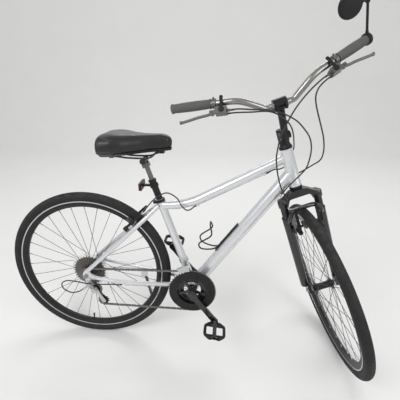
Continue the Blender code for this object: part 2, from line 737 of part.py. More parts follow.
def bottle_cage():
    """Wire cage on the down tube, drawn along and away from that tube."""
    run = (down_tube_head() - BRACKET).normalized()
    away = Vector((-run.z, 0, run.x))

    def at(reach, side, height):
        return BRACKET + run * reach + away * height + Vector((0, side, 0))

    half = [(0.215, 0.004, 0.0260), (0.196, 0.014, 0.0420), (0.178, 0.030, 0.0860),
            (0.192, 0.034, 0.1040), (0.255, 0.036, 0.0880), (0.278, 0.020, 0.1110)]
    path = [at(s, y, n) for s, y, n in half] + [at(0.282, 0, 0.1150)]
    path += [at(s, -y, n) for s, y, n in reversed(half)]
    wire = bent_tube(path, 0.0030, steps=2, detail=1)
    seat = DOWN_TUBE_RADIUS + 0.0024
    turn = Matrix.Rotation(-math.atan2(run.z, run.x), 4, "Y")
    strip = box(at(0.270, 0, seat), (0.150, 0.018, 0.0040), turn)
    finish("bottle_cage", joined(strip, wire), black_plastic(), BIKE)


def fork():
    z_post = math.sqrt(BRAKE_PIVOT_RADIUS ** 2 - (FRONT_BRAKE_OFFSET - FORK_RAKE) ** 2)
    crown = rod((0, 0, CROWN_BOTTOM + 0.005), (0, 0, STEM_TOP), STEERER_RADIUS, sides=20)
    race = rod((0, 0, CROWN_TOP - 0.006), (0, 0, HEAD_TUBE_BOTTOM - RUN_GAP), HEAD_TUBE_RADIUS, sides=28)
    reach = LEG_HALF_SPACE + 0.014
    half = [(0.030, CROWN_TOP), (0.060, LUG_TOP + 0.002), (reach, LUG_TOP - 0.002),
            (reach, LUG_BOTTOM + 0.002), (0.050, LUG_BOTTOM + 0.002), (0.042, CROWN_BOTTOM)]
    outline = half + [(-y, z) for y, z in reversed(half)]
    upright = Matrix((Vector((0, 1, 0)), Vector((0, 0, 1)), Vector((1, 0, 0)))).transposed().to_4x4()
    bar = plate(outline, 0.036, Matrix.Translation((LEG_OFFSET - 0.006, 0, 0)) @ upright)
    crown = joined(bar, crown, race, solver="MANIFOLD")
    legs = []
    hollows = []
    for side in (-1, 1):
        y = side * LEG_HALF_SPACE
        lug = rod((LEG_OFFSET, y, LUG_BOTTOM), (LEG_OFFSET, y, LUG_TOP), 0.0185, sides=20)
        stanchion = rod((LEG_OFFSET, y, LOWER_TOP - 0.045), (LEG_OFFSET, y, LUG_TOP - 0.004),
                        STANCHION_RADIUS, sides=20)
        crown = joined(crown, lug, stanchion)
        leg = rod((LEG_OFFSET, y, 0.010), (LEG_OFFSET, y, LOWER_TOP), 0.0150, LOWER_RADIUS, sides=20)
        foot = box((0.033, side * (FORK_HALF_SPACE + 0.006), 0.002), (0.036, 0.012, 0.034))
        seat = box((0.030, side * 0.047, z_post), (0.026, 0.026, 0.018))
        post_end = FRONT_BRAKE_OFFSET + 0.003
        post = rod((0.030, side * BRAKE_POST_HALF_SPACE, z_post),
                   (post_end, side * BRAKE_POST_HALF_SPACE, z_post), 0.0050, sides=10)
        legs.append(joined(leg, foot, seat, post))
        bore = rod((LEG_OFFSET, y, LOWER_TOP - 0.045 - FORK_TRAVEL - 0.008),
                   (LEG_OFFSET, y, LOWER_TOP + 0.01),
                   STANCHION_RADIUS + RUN_GAP, sides=20)
        hole = rod((FORK_RAKE, side * 0.04, 0), (FORK_RAKE, side * 0.07, 0), AXLE_RADIUS, sides=12)
        hollows += [bore, hole]
    half = [(LEG_OFFSET + 0.014, 0.0640, LOWER_TOP - 0.0140), (0.0490, 0.0590, LOWER_TOP + 0.0060),
            (ARCH_FORWARD, 0.0380, ARCH_TOP - 0.003), (ARCH_FORWARD, 0, ARCH_TOP)]
    arch = bent_tube([(x, y, z) for x, y, z in half] + [(x, -y, z) for x, y, z in half[-2::-1]],
                     ARCH_RADIUS, steps=2, detail=3)
    finish("fork_crown", crown, black_metal(), STEER)
    lowers = cut(joined(legs[0], arch, legs[1]), *hollows)
    finish("fork_lowers", lowers, black_metal(), STEER)


def headset_cover():
    low = HEAD_TUBE_BOTTOM + HEAD_TUBE_LENGTH + RUN_GAP
    high = STEM_TOP - 0.0440
    bore = STEERER_RADIUS + RUN_GAP
    profile = [(0.0175, high), (0.0185, high - 0.008), (HEAD_TUBE_RADIUS, low + 0.006),
               (HEAD_TUBE_RADIUS, low), (bore, low), (bore, high)]
    finish("headset_cover", turned(profile, 20, closed=True), black_plastic(), STEER)


def stem():
    x, z = STEM_PIVOT
    low = STEM_TOP - 0.0435
    barrel_half = 0.0130
    ear = 0.0040
    column = rod((0, 0, low), (0, 0, STEM_TOP + 0.003), STEM_CLAMP_RADIUS, sides=24)
    pieces = [column]
    for side in (-1, 1):
        y = side * (barrel_half + RUN_GAP + ear / 2)
        pieces.append(box((x / 2 + 0.006, y, z), (x - 0.012, ear, 0.026)))
        pieces.append(rod((x, y - ear / 2, z), (x, y + ear / 2, z), 0.0135, sides=16))
    pieces.append(rod((x, -barrel_half - 0.003, z), (x, barrel_half + 0.003, z), 0.0040, sides=12))
    clamp = joined(*pieces)
    clamp = cut(clamp, rod((0, 0, low - 0.01), (0, 0, STEM_TOP + RUN_GAP), STEERER_RADIUS + RUN_GAP,
                           sides=20))
    finish("stem_clamp", clamp, black_metal(), STEER)
    bar_x, bar_z = BAR_CLAMP
    barrel = rod((x, -barrel_half, z), (x, barrel_half, z), 0.0125, sides=20)
    arm = rod((x, 0, z), (bar_x, 0, bar_z), 0.0120, 0.0130, sides=16)
    clamp_ring = rod((bar_x, -0.0220, bar_z), (bar_x, 0.0220, bar_z), 0.0200, sides=24)
    arm = joined(arm, barrel, clamp_ring)
    arm = cut(arm, rod((bar_x, -0.03, bar_z), (bar_x, 0.03, bar_z), BAR_CENTRE_RADIUS + RUN_GAP,
                       sides=20),
              rod((x, -0.02, z), (x, 0.02, z), 0.0040 + RUN_GAP, sides=12))
    finish("stem_arm", arm, black_metal(), STEER, (x, 0, z))


def bar_point(y):
    """Centre of the bar at a distance to the left, in steering coordinates."""
    away = abs(y)
    t = min(max((away - BAR_STRAIGHT) / (BAR_RISE_END - BAR_STRAIGHT), 0), 1)
    up = BAR_RISE * t * t * (3 - 2 * t) + max(away - BAR_RISE_END, 0) * math.tan(BAR_UPSWEEP)
    swept = max(away - BAR_SWEEP_START, 0)
    eased = swept * swept / (2 * BAR_SWEEP_EASE) if swept < BAR_SWEEP_EASE else swept - BAR_SWEEP_EASE / 2
    back = eased * math.tan(BAR_BACKSWEEP)
    forward = Vector((math.sin(HEAD_ANGLE), 0, -math.cos(HEAD_ANGLE)))
    upward = Vector((math.cos(HEAD_ANGLE), 0, math.sin(HEAD_ANGLE)))
    return Vector((BAR_CLAMP[0], y, BAR_CLAMP[1])) - forward * back + upward * up


def bar_direction(side):
    return (bar_point(side * BAR_HALF_WIDTH) - bar_point(side * (BAR_HALF_WIDTH - 0.05))).normalized()


def handlebar():
    bends = [0, 0.040, 0.055, 0.070, 0.085, 0.100, 0.115, 0.130, 0.150, BAR_HALF_WIDTH]
    ys = [-y for y in reversed(bends)] + bends[1:]
    tube = bent_tube([bar_point(y) for y in ys], BAR_RADIUS, smooth=False, detail=4)
    sleeve = rod((BAR_CLAMP[0], -0.030, BAR_CLAMP[1]), (BAR_CLAMP[0], 0.030, BAR_CLAMP[1]),
                 BAR_CENTRE_RADIUS, sides=20)
    finish("handlebar", joined(tube, sleeve), polished_metal(), STEER)
    for name, side in (("right", -1), ("left", 1)):
        inner = bar_point(side * (BAR_HALF_WIDTH - GRIP_LENGTH))
        outer = bar_point(side * BAR_HALF_WIDTH)
        out = bar_direction(side)
        grip = rod(inner, outer + out * 0.004, GRIP_RADIUS, sides=20)
        grip = cut(grip, rod(inner - out * 0.01, outer + out * RUN_GAP, BAR_RADIUS + RUN_GAP, sides=20))
        finish(f"grip_{name}", grip, grip_rubber(), STEER)


def control_frame(side):
    """Origin on the bar; X outward along it, Y forward and down to the lever, Z across both."""
    origin = bar_point(side * (BAR_HALF_WIDTH - GRIP_LENGTH - 0.0100))
    out = bar_direction(side)
    forward = Vector((math.sin(HEAD_ANGLE), 0, -math.cos(HEAD_ANGLE)))
    upward = Vector((math.cos(HEAD_ANGLE), 0, math.sin(HEAD_ANGLE)))
    reach = forward * math.cos(CONTROL_DROP) - upward * math.sin(CONTROL_DROP)
    reach = (reach - out * reach.dot(out)).normalized()
    across = out.cross(reach)
    place = Matrix((out, reach, across)).transposed().to_4x4()
    return Matrix.Translation(origin) @ place


def controls():
    for name, side in (("right", -1), ("left", 1)):
        place = control_frame(side)
        down = -side
        ring = rod((-0.007, 0, 0), (0.007, 0, 0), 0.0165, sides=20)
        neck = box((-0.007, 0.020, 0), (0.010, 0.020, 0.012))
        pod = box((-0.024, 0.0300, 0), (0.038, 0.022, 0.026))
        tongue = box((0.002, LEVER_PIVOT_REACH, down * 0.0088), (0.024, 0.014, 0.0036))
        pin = rod((LEVER_PIVOT_OUT, LEVER_PIVOT_REACH, down * 0.0090),
                  (LEVER_PIVOT_OUT, LEVER_PIVOT_REACH, down * -0.0062), 0.0030, sides=10)
        barrel = rod((-0.040, 0.030, 0), (-0.056, 0.030, 0), 0.0040, sides=10)
        body = joined(pod, neck, ring, tongue, pin, barrel)
        body = cut(body, rod((-0.02, 0, 0), (0.02, 0, 0), BAR_RADIUS + RUN_GAP, sides=20))
        body.data.transform(place)
        finish(f"brake_control_{name}", body, black_plastic(), STEER)
        pivot = Vector((LEVER_PIVOT_OUT, LEVER_PIVOT_REACH, 0))
        boss = rod(pivot - Vector((0, 0, 0.0060)), pivot + Vector((0, 0, 0.0060)), 0.0068, sides=14)
        blade = bent_tube([pivot, (0.030, 0.040, 0), (0.065, 0.046, 0), (0.112, 0.055, 0)], 0.0042,
                          steps=3, detail=2)
        lever = joined(boss, blade, ball((0.112, 0.055, 0), 0.0058, 10))
        lever = cut(lever, rod(pivot - Vector((0, 0, 0.01)), pivot + Vector((0, 0, 0.01)),
                               0.0030 + RUN_GAP, sides=10))
        lever.data.transform(place)
        finish(f"brake_lever_{name}", lever, black_metal(), STEER, place @ pivot)
        level = down * (0.013 + RUN_GAP + 0.002)
        centre = Vector((-0.026, 0.030, level))
        hub_disc = rod(centre - Vector((0, 0, 0.002)), centre + Vector((0, 0, 0.002)), 0.0090, sides=16)
        paddle = box((-0.026, 0.006, level), (0.011, 0.044, 0.0036))
        thumb = joined(hub_disc, paddle)
        thumb.data.transform(place)
        finish(f"shift_lever_{name}", thumb, black_plastic(), STEER, place @ centre)


def mirror():
    """Bar-end mirror on the left grip; its head turns on an upright pin."""
    out = bar_direction(1)
    end = bar_point(BAR_HALF_WIDTH) + out * 0.004
    upward = Vector((math.cos(HEAD_ANGLE), 0, math.sin(HEAD_ANGLE)))
    top = end - out * 0.008 + upward * (MIRROR_ARM_LENGTH + GRIP_RADIUS)
    ring = rod(end - out * 0.014, end - out * 0.002, GRIP_RADIUS + 0.0030, sides=20)
    arm = rod(end - out * 0.008 + upward * (GRIP_RADIUS + 0.001), top, 0.0040, sides=10)
    pin = rod(top, top + upward * 0.018, 0.0030, sides=10)
    arm = cut(joined(ring, arm, pin), rod(end - out * 0.02, end + out * 0.01, GRIP_RADIUS + RUN_GAP,
                                          sides=20))
    finish("mirror_arm", arm, black_plastic(), STEER, end)
    low = top + upward * RUN_GAP
    socket = rod(low, low + upward * 0.016, 0.0070, sides=16)
    centre = low + Vector((0, -MIRROR_RADIUS - 0.014, 0)) + upward * 0.008
    facing = Vector((math.sin(HEAD_ANGLE), 0, -math.cos(HEAD_ANGLE)))
    dish = rod(centre - facing * 0.004, centre + facing * 0.006, MIRROR_RADIUS, MIRROR_RADIUS * 0.8,
               sides=28)
    neck = rod(low + upward * 0.008, centre + facing * 0.001 + Vector((0, MIRROR_RADIUS - 0.004, 0)),
               0.0040, sides=10)
    head = joined(dish, neck, socket)
    head = cut(head, rod(low - upward * 0.002, low + upward * 0.030, 0.0030 + RUN_GAP, sides=10))
    finish("mirror_head", head, black_plastic(), STEER, low)


def pitch_radius(teeth):
    return CHAIN_PITCH / (2 * math.sin(math.pi / teeth))


def cassette():
    """Eight cogs, stepped down to the smallest, which carries the chain."""
    height = -FREEHUB_END - 0.0005
    floor = -REAR_FLANGE_RIGHT + 0.0070
    wide = 0.0068
    pitch = (height - wide - floor) / (len(COG_TEETH) - 1)
    profile = []
    for i, teeth in enumerate(COG_TEETH):
        top = height if i == 0 else height - wide - (i - 1) * pitch
        bottom = height - wide - i * pitch
        radius = pitch_radius(teeth) - (CHAIN_HALF_HEIGHT + CHAIN_CLEARANCE if i == 0 else 0.0035)
        profile += [(radius, top), (radius, bottom)]
    bore = FREEHUB_RADIUS + RUN_GAP
    made = lay_down(turned(profile + [(bore, floor), (bore, height)], 20, closed=True), REAR_AXLE)
    finish("cassette", made, chain_steel(), BIKE, REAR_AXLE)
    near = -REAR_FLANGE_RIGHT + FLANGE_THICKNESS / 2 + 0.0012
    shield = turned([(PROTECTOR_RADIUS, near + 0.0014), (PROTECTOR_RADIUS, near), (bore, near),
                     (bore, near + 0.0014)], 30, closed=True)
    finish("spoke_protector", lay_down(shield, REAR_AXLE), clear_plastic(), BIKE, REAR_AXLE)


def ring(inner, outer, top, bottom, centre=BRACKET, steps=30):
    """Flat ring on a Y axis between two distances to the right."""
    return lay_down(turned([(outer, top), (outer, bottom), (inner, bottom), (inner, top)], steps,
                           closed=True),
                    centre)


def crank_point(side, radius=CRANK_LENGTH, turn=0.0):
    angle = CRANK_ANGLE + turn + (math.pi if side > 0 else 0)
    return BRACKET + Vector((math.cos(angle) * radius, 0, math.sin(angle) * radius))


def crank_arm(side):
    end = crank_point(side)
    angle = math.atan2(end.z - BRACKET.z, end.x - BRACKET.x)
    turn = Matrix.Rotation(-angle, 4, "Y")
    middle = (BRACKET + end) / 2 + Vector((0, side * CRANK_ARM_Y, 0))
    bar = box(middle, (CRANK_LENGTH, 0.0115, 0.0230), turn)
    inner, outer = side * (CRANK_ARM_Y - 0.006), side * (CRANK_ARM_Y + 0.006)
    eye = rod(end + Vector((0, inner, 0)), end + Vector((0, outer, 0)), 0.0135, sides=16)
    return joined(bar, eye), rod(end + Vector((0, inner * 0.9, 0)), end + Vector((0, outer * 1.1, 0)),
                                 PEDAL_STUB_RADIUS + RUN_GAP, sides=12)


def cranks():
    across = Vector((0, 1, 0))
    arm, hole = crank_arm(-1)
    spider = -(CHAIN_LINE - 0.0038)
    boss = rod(BRACKET - across * (CRANK_ARM_Y + 0.006), BRACKET + across * (spider + 0.0023),
               0.0180, sides=20)
    spindle = rod(BRACKET - across * CHAIN_LINE, BRACKET + across * (CRANK_ARM_Y - 0.0085),
                  SPINDLE_RADIUS, sides=16)
    right = joined(boss, arm, spindle)
    for i in range(5):
        turn = Matrix.Rotation(-CRANK_ANGLE - math.pi / 5 - 2 * math.pi * i / 5, 4, "Y")
        centre = BRACKET + turn @ Vector((0.0405, 0, 0)) + across * spider
        right = joined(right, box(centre, (0.0510, 0.0034, 0.014), turn))
    finish("crank_right", cut(right, hole), black_metal(), BIKE, BRACKET)
    arm, hole = crank_arm(1)
    cup_end = BRACKET_SHELL_HALF + 0.0045
    boss = rod(BRACKET + across * (cup_end + RUN_GAP), BRACKET + across * (CRANK_ARM_Y + 0.006),
               0.0180, sides=20)
    bore = rod(BRACKET + across * 0.03, BRACKET + across * (CRANK_ARM_Y - 0.008),
               SPINDLE_RADIUS + RUN_GAP, sides=16)
    finish("crank_left", cut(joined(boss, arm), hole, bore), black_metal(), BIKE, BRACKET)
    outer = pitch_radius(RING_TEETH[0]) - CHAIN_HALF_HEIGHT - CHAIN_CLEARANCE
    chainring = ring(0.0600, outer, CHAIN_LINE + 0.0017, CHAIN_LINE - 0.0017)
    finish("outer_chainring", chainring, chain_steel(), BIKE, BRACKET)
    middle_y = CHAIN_LINE - RING_SPACING
    small_y = middle_y - RING_SPACING + 0.0010
    rings = joined(ring(0.0490, pitch_radius(RING_TEETH[1]) - 0.0035, middle_y + 0.0015,
                        middle_y - 0.0015),
                   ring(0.0360, pitch_radius(RING_TEETH[2]) - 0.0022, small_y + 0.0013,
                        small_y - 0.0013))
    for i in range(5):
        post = crank_point(-1, 0.0520, 2 * math.pi * i / 5)
        rings = joined(rings, rod(post - across * (middle_y - 0.0003),
                                  post - across * (small_y + 0.0003), 0.0030,
                                  sides=6))
    finish("inner_chainrings", rings, chain_steel(), BIKE, BRACKET)
    face = CHAIN_LINE + 0.0017 + RUN_GAP
    guard = lay_down(turned([(GUARD_RADIUS, face + 0.0058), (GUARD_RADIUS, face + 0.0026),
                             (0.0700, face + 0.0026), (0.0700, face), (0.0620, face),
                             (0.0620, face + 0.0058)], 30, closed=True), BRACKET)
    finish("chain_guard", guard, black_plastic(), BIKE, BRACKET)
    cup = SPINDLE_RADIUS + RUN_GAP
    shell = BRACKET_SHELL_HALF + RUN_GAP
    tube = BRACKET_BORE - 0.0006
    cups = turned([(0.0195, cup_end), (0.0195, shell), (tube, shell), (tube, -shell), (0.0195, -shell),
                   (0.0195, -cup_end), (cup, -cup_end), (cup, cup_end)], 20, closed=True)
    finish("bottom_bracket", lay_down(cups, BRACKET), black_metal(), BIKE, BRACKET)


def pedals():
    """Platform pedals with two windows; each turns on its stub in the crank's eye."""
    for name, side in (("right", -1), ("left", 1)):
        end = crank_point(side)
        near = CRANK_ARM_Y + 0.0080
        corner = 0.016
        half = PEDAL_LENGTH / 2
        outline = [(-half, corner), (-half + corner, 0), (half - corner, 0), (half, corner),
                   (half, PEDAL_WIDTH - corner), (half - corner, PEDAL_WIDTH),
                   (-half + corner, PEDAL_WIDTH),
                   (-half, PEDAL_WIDTH - corner)]
        outline = [(x, side * (near + y)) for x, y in outline]
        body = plate(outline, PEDAL_HEIGHT, Matrix.Translation(end))
        for shift in (-1, 1):
            window = (end.x + shift * 0.0245, side * (near + PEDAL_WIDTH / 2), end.z)
            body = cut(body, box(window, (0.0230, PEDAL_WIDTH - 0.030, 0.04)))
        stub = rod(end + Vector((0, side * (CRANK_ARM_Y - 0.004), 0)),
                   end + Vector((0, side * (near + 0.02), 0)),
                   PEDAL_STUB_RADIUS, sides=12)
        tilt = Matrix.Translation(end) @ Matrix.Rotation(PEDAL_TILT, 4, "Y") @ Matrix.Translation(-end)
        body = joined(body, stub)
        body.data.transform(tilt)
        finish(f"pedal_{name}", body, black_plastic(), BIKE, end)


def belt_path(wheels_on_path, arc_step):
    """Closed route around pulleys: (x, z, radius, turn), with turn 1 for clockwise."""
    tangents = []
    count = len(wheels_on_path)
    for i in range(count):
        x1, z1, r1, s1 = wheels_on_path[i]
        x2, z2, r2, s2 = wheels_on_path[(i + 1) % count]
        dx, dz = x2 - x1, z2 - z1
        distance = math.hypot(dx, dz)
        heading = math.atan2(dz, dx)
        lean = math.asin((s2 * r2 - s1 * r1) / distance)
        normal = heading + math.pi / 2 + lean
        nx, nz = math.cos(normal), math.sin(normal)
        tangents.append(((x1 + nx * r1 * s1, z1 + nz * r1 * s1), (x2 + nx * r2 * s2, z2 + nz * r2 * s2)))
    points = []
    for i in range(count):
        x, z, radius, turn = wheels_on_path[i]
        entry = tangents[i - 1][1]
        leave = tangents[i][0]
        start = math.atan2(entry[1] - z, entry[0] - x)
        sweep = (math.atan2(leave[1] - z, leave[0] - x) - start) * -turn % (2 * math.pi)
        steps = max(1, math.ceil(sweep / arc_step))
        points += [(x + radius * math.cos(start - turn * sweep * k / steps),
                    z + radius * math.sin(start - turn * sweep * k / steps)) for k in range(steps + 1)]
    return points


def chain():
    cog = pitch_radius(COG_TEETH[0])
    pulley = pitch_radius(PULLEY_TEETH)
    loop = belt_path([(REAR_AXLE.x, REAR_AXLE.z, cog, 1),
                      (BRACKET.x, BRACKET.z, pitch_radius(RING_TEETH[0]), 1),
                      (*LOWER_PULLEY, pulley, 1), (*UPPER_PULLEY, pulley, -1)], math.radians(15))
    shape = bmesh.new()
    sections = []
    count = len(loop)
    for i in range(count):
        before = Vector(loop[i - 1])
        after = Vector(loop[(i + 1) % count])
        here = Vector(loop[i])
        along_it = (after - before).normalized()
        normal = Vector((-along_it.y, along_it.x))
        corners = []
        for h, w in ((1, -1), (1, 1), (-1, 1), (-1, -1)):
            spot = here + normal * h * CHAIN_HALF_HEIGHT
            corners.append(shape.verts.new((spot.x, -CHAIN_LINE + w * CHAIN_HALF_WIDTH, spot.y)))
        sections.append(corners)
    for first, second in zip(sections, sections[1:] + sections[:1]):
        for k in range(4):
            shape.faces.new((first[k], first[(k + 1) % 4], second[(k + 1) % 4], second[k]))
    finish("chain", from_bmesh(shape, "chain"), chain_steel(), BIKE)


def arc_outline(inner, outer, start, end, steps=5):
    angles = [start + (end - start) * i / steps for i in range(steps + 1)]
    return [(outer * math.cos(a), outer * math.sin(a)) for a in angles] + \
           [(inner * math.cos(a), inner * math.sin(a)) for a in reversed(angles)]


def front_derailleur():
    low, high = seat_point(FRONT_CLAMP_AT - 0.008), seat_point(FRONT_CLAMP_AT + 0.008)
    band = rod(low, high, SEAT_TUBE_RADIUS + 0.0035, sides=20)
    start, end = math.radians(95), math.radians(120)
    upright = Matrix.Translation(BRACKET) @ Matrix.Rotation(math.pi / 2, 4, "X")
    plates = []
    for y in (CHAIN_LINE - 0.0051, CHAIN_LINE + 0.0061):
        plates.append(plate(arc_outline(0.0998, 0.1220, start, end), 0.0012,
                            Matrix.Translation((0, -y, 0)) @ upright))
    bridge = plate(arc_outline(0.1198, 0.1224, start - 0.02, end + 0.02), 0.0118,
                   Matrix.Translation((0, -CHAIN_LINE - 0.0005, 0)) @ upright)
    link = box((0.408, -0.0330, 0.4020), (0.016, 0.0350, 0.0120))
    body = joined(band, link, plates[0], bridge, plates[1])
    body = cut(body, rod(seat_point(FRONT_CLAMP_AT - 0.02), seat_point(FRONT_CLAMP_AT + 0.02),
                         SEAT_TUBE_RADIUS + 0.0003, sides=20))
    finish("front_derailleur", body, polished_metal(), BIKE)


def rear_derailleur():
    hanger = -(DROPOUT_CENTRE + DROPOUT_THICKNESS / 2 + RUN_GAP)
    bolt = rod((0.008, hanger, 0.320), (0.008, -0.0870, 0.320), 0.0085, sides=14)
    link = rod((0.008, -0.0835, 0.320), (0.027, -0.0785, 0.287), 0.0080, 0.0095, sides=12)
    knuckle_in = -(CHAIN_LINE + 0.0105)
    knuckle = rod((0.030, knuckle_in, 0.284), (0.030, -0.0870, 0.284), 0.0115, sides=16)
    arm = rod((0.010, -0.0800, 0.306), (-0.012, -0.0800, 0.292), 0.0045, sides=8)
    body = joined(bolt, link, knuckle, arm)
    body = cut(body, rod((0.030, knuckle_in + 0.01, 0.284), (0.030, knuckle_in - 0.007, 0.284),
                         0.0034, sides=10))
    finish("rear_derailleur_body", body, black_metal(), BIKE)
    ux, uz = UPPER_PULLEY
    lx, lz = LOWER_PULLEY
    heading = math.atan2(lz - uz, lx - ux)
    outline = []
    for x, z, first in ((ux, uz, heading + math.pi / 2), (lx, lz, heading - math.pi / 2)):
        outline += [(x + 0.0105 * math.cos(first + math.pi * k / 6),
                     z + 0.0105 * math.sin(first + math.pi * k / 6))
                    for k in range(7)]
    outer_y = CHAIN_LINE + 0.0078
    inner_y = CHAIN_LINE - 0.0063
    upright = Matrix.Rotation(math.pi / 2, 4, "X")
    plates = [plate(outline, 0.0015, Matrix.Translation((0, -y, 0)) @ upright)
              for y in (outer_y, inner_y)]
    bolts = [rod((x, -outer_y, z), (x, -inner_y, z), 0.0028, sides=10)
             for x, z in (UPPER_PULLEY, LOWER_PULLEY)]
    pin = rod((0.030, -outer_y, 0.284), (0.030, knuckle_in - 0.005, 0.284), 0.0030, sides=10)
    finish("rear_derailleur_cage", joined(plates[0], *bolts, plates[1], pin), polished_metal(), BIKE)
    radius = pitch_radius(PULLEY_TEETH) - CHAIN_HALF_HEIGHT - CHAIN_CLEARANCE
    for name, (x, z) in (("upper", UPPER_PULLEY), ("lower", LOWER_PULLEY)):
        wheel = ring(0.0028 + RUN_GAP, radius, CHAIN_LINE + 0.003, CHAIN_LINE - 0.003, (x, 0, z), 16)
        finish(f"{name}_pulley", wheel, black_plastic(), BIKE, (x, -CHAIN_LINE, z))


def seatposts():
    collar_top = SEATPOST_COLLAR_AT + 0.0045
    outer = rod(seat_point(SEAT_TUBE_LENGTH - SEATPOST_INSERTION), seat_point(SEATPOST_COLLAR_AT),
                SEATPOST_RADIUS,
                sides=20)
    collar = rod(seat_point(SEATPOST_COLLAR_AT - 0.0045), seat_point(collar_top),
                 SEATPOST_RADIUS + 0.002, sides=20)
    hollow = rod(seat_point(SEATPOST_COLLAR_AT - SHAFT_INSERTION - SEATPOST_TRAVEL - 0.008),
                 seat_point(collar_top + 0.01), SEATPOST_SHAFT_RADIUS + RUN_GAP, sides=16)
    finish("seatpost_outer", cut(joined(outer, collar), hollow), black_metal(), BIKE)
    shaft = rod(seat_point(SEATPOST_COLLAR_AT - SHAFT_INSERTION), seat_point(SEATPOST_HEAD_AT),
                SEATPOST_SHAFT_RADIUS, sides=16)
    block = box(seat_point(SEATPOST_HEAD_AT - 0.003), (0.028, 0.030, 0.022), SEAT_TILT)
    cradle = rod(TILT_CENTRE - Vector((0, 0.03, 0)), TILT_CENTRE + Vector((0, 0.03, 0)),
                 RAIL_BARREL_RADIUS + 0.0003, sides=16)
    finish("seatpost_inner", cut(joined(shaft, block), cradle), polished_metal(), BIKE)
    grip = rod(seat_point(REFLECTOR_AT - 0.006), seat_point(REFLECTOR_AT + 0.006),
               SEATPOST_RADIUS + 0.0035,
               sides=20)
    hole = rod(seat_point(REFLECTOR_AT - 0.02), seat_point(REFLECTOR_AT + 0.02),
               SEATPOST_RADIUS + 0.0003, sides=20)
    middle = seat_point(REFLECTOR_AT)
    tongue = box(middle - Vector((0.029, 0, 0)), (0.032, 0.014, 0.008))
    lamp = box(middle - Vector((0.049, 0, 0)), (0.012, REFLECTOR_WIDTH, REFLECTOR_HEIGHT))
    finish("rear_reflector", cut(joined(grip, tongue, lamp), hole), red_lens(), BIKE)


def saddle_edge(x):
    return SADDLE_BOTTOM_Z + (x - SADDLE_REAR_X) * SADDLE_EDGE_SLOPE


def saddle_loft(stations, section):
    """Solid between the outlines that section gives at each station."""
    shape = bmesh.new()
    rings = [[shape.verts.new(point) for point in section(*station)] for station in stations]
    for first, second in zip(rings, rings[1:]):
        for k in range(len(first)):
            after = (k + 1) % len(first)
            shape.faces.new((first[k], second[k], second[after], first[after]))
    shape.faces.new(rings[0])
    shape.faces.new(list(reversed(rings[-1])))
    return from_bmesh(shape, "saddle_loft")


def saddle():
    """Wide soft saddle over a stiff base on two steel rails; it tilts about the post's head."""
    stations = []
    for along_it, width, crown in SADDLE_STATIONS:
        x = SADDLE_REAR_X + along_it * SADDLE_LENGTH
        half = SADDLE_NOSE_HALF_WIDTH + width * (SADDLE_HALF_WIDTH - SADDLE_NOSE_HALF_WIDTH)
        stations.append((x, half, crown * SADDLE_THICKNESS))

    def cushion(x, half, rise):
        edge = saddle_edge(x)
        spots = [(x, 0.90 * half, edge), (x, half, edge + 0.25 * rise)]
        for k in range(1, 6):
            angle = math.pi / 2 * k / 5
            spots.append((x, half * math.cos(angle) ** 0.75,
                          edge + rise * (0.25 + 0.75 * math.sin(angle) ** 0.8)))
        spots[-1] = (x, 0, edge + rise * 0.98)
        return spots + [(px, -py, pz) for px, py, pz in reversed(spots[:-1])]

    def shell(x, half, depth):
        top = saddle_edge(x) - 0.0003
        return [(x, half, top), (x, -half, top), (x, -half * 0.8, top - depth),
                (x, half * 0.8, top - depth)]

    finish("saddle", saddle_loft(stations, cushion), saddle_vinyl(), BIKE)
    below = [(x, 0.80 * half, 0.010) for x, half, rise in stations[1:-1]]
    base = saddle_loft(below, shell)
    for side in (-1, 1):
        socket = (RAIL_REAR_X - 0.008, side * 0.030, SADDLE_BOTTOM_Z - 0.0090)
        base = joined(base, box(socket, (0.016, 0.014, 0.016)))
    base = joined(base, box((RAIL_FRONT_X + 0.008, 0, SADDLE_BOTTOM_Z + 0.0045), (0.016, 0.030, 0.014)))
    finish("saddle_base", base, black_plastic(), BIKE, TILT_CENTRE)
    rails = rod(TILT_CENTRE - Vector((0, 0.029, 0)), TILT_CENTRE + Vector((0, 0.029, 0)),
                RAIL_BARREL_RADIUS,
                sides=16)
    for side in (-1, 1):
        level = TILT_CENTRE.z + RAIL_BARREL_RADIUS + 0.0022
        route = [(RAIL_REAR_X + 0.0007, 0.030, SADDLE_BOTTOM_Z - 0.0120),
                 (RAIL_REAR_X + 0.018, 0.0275, SADDLE_BOTTOM_Z - 0.0140),
                 (RAIL_REAR_X + 0.045, RAIL_SPACING, level), (RAIL_FRONT_X - 0.044, RAIL_SPACING, level),
                 (RAIL_FRONT_X - 0.030, 0.0200, SADDLE_BOTTOM_Z - 0.0140),
                 (RAIL_FRONT_X - 0.016, 0.0150, SADDLE_BOTTOM_Z - 0.0030),
                 (RAIL_FRONT_X - 0.0016, 0.0105, SADDLE_BOTTOM_Z + 0.0005)]
        rails = joined(rails, bent_tube([(x, side * y, z) for x, y, z in route], RAIL_RADIUS,
                                        steps=2, detail=1))
    finish("saddle_rails", rails, polished_metal(), BIKE, TILT_CENTRE)


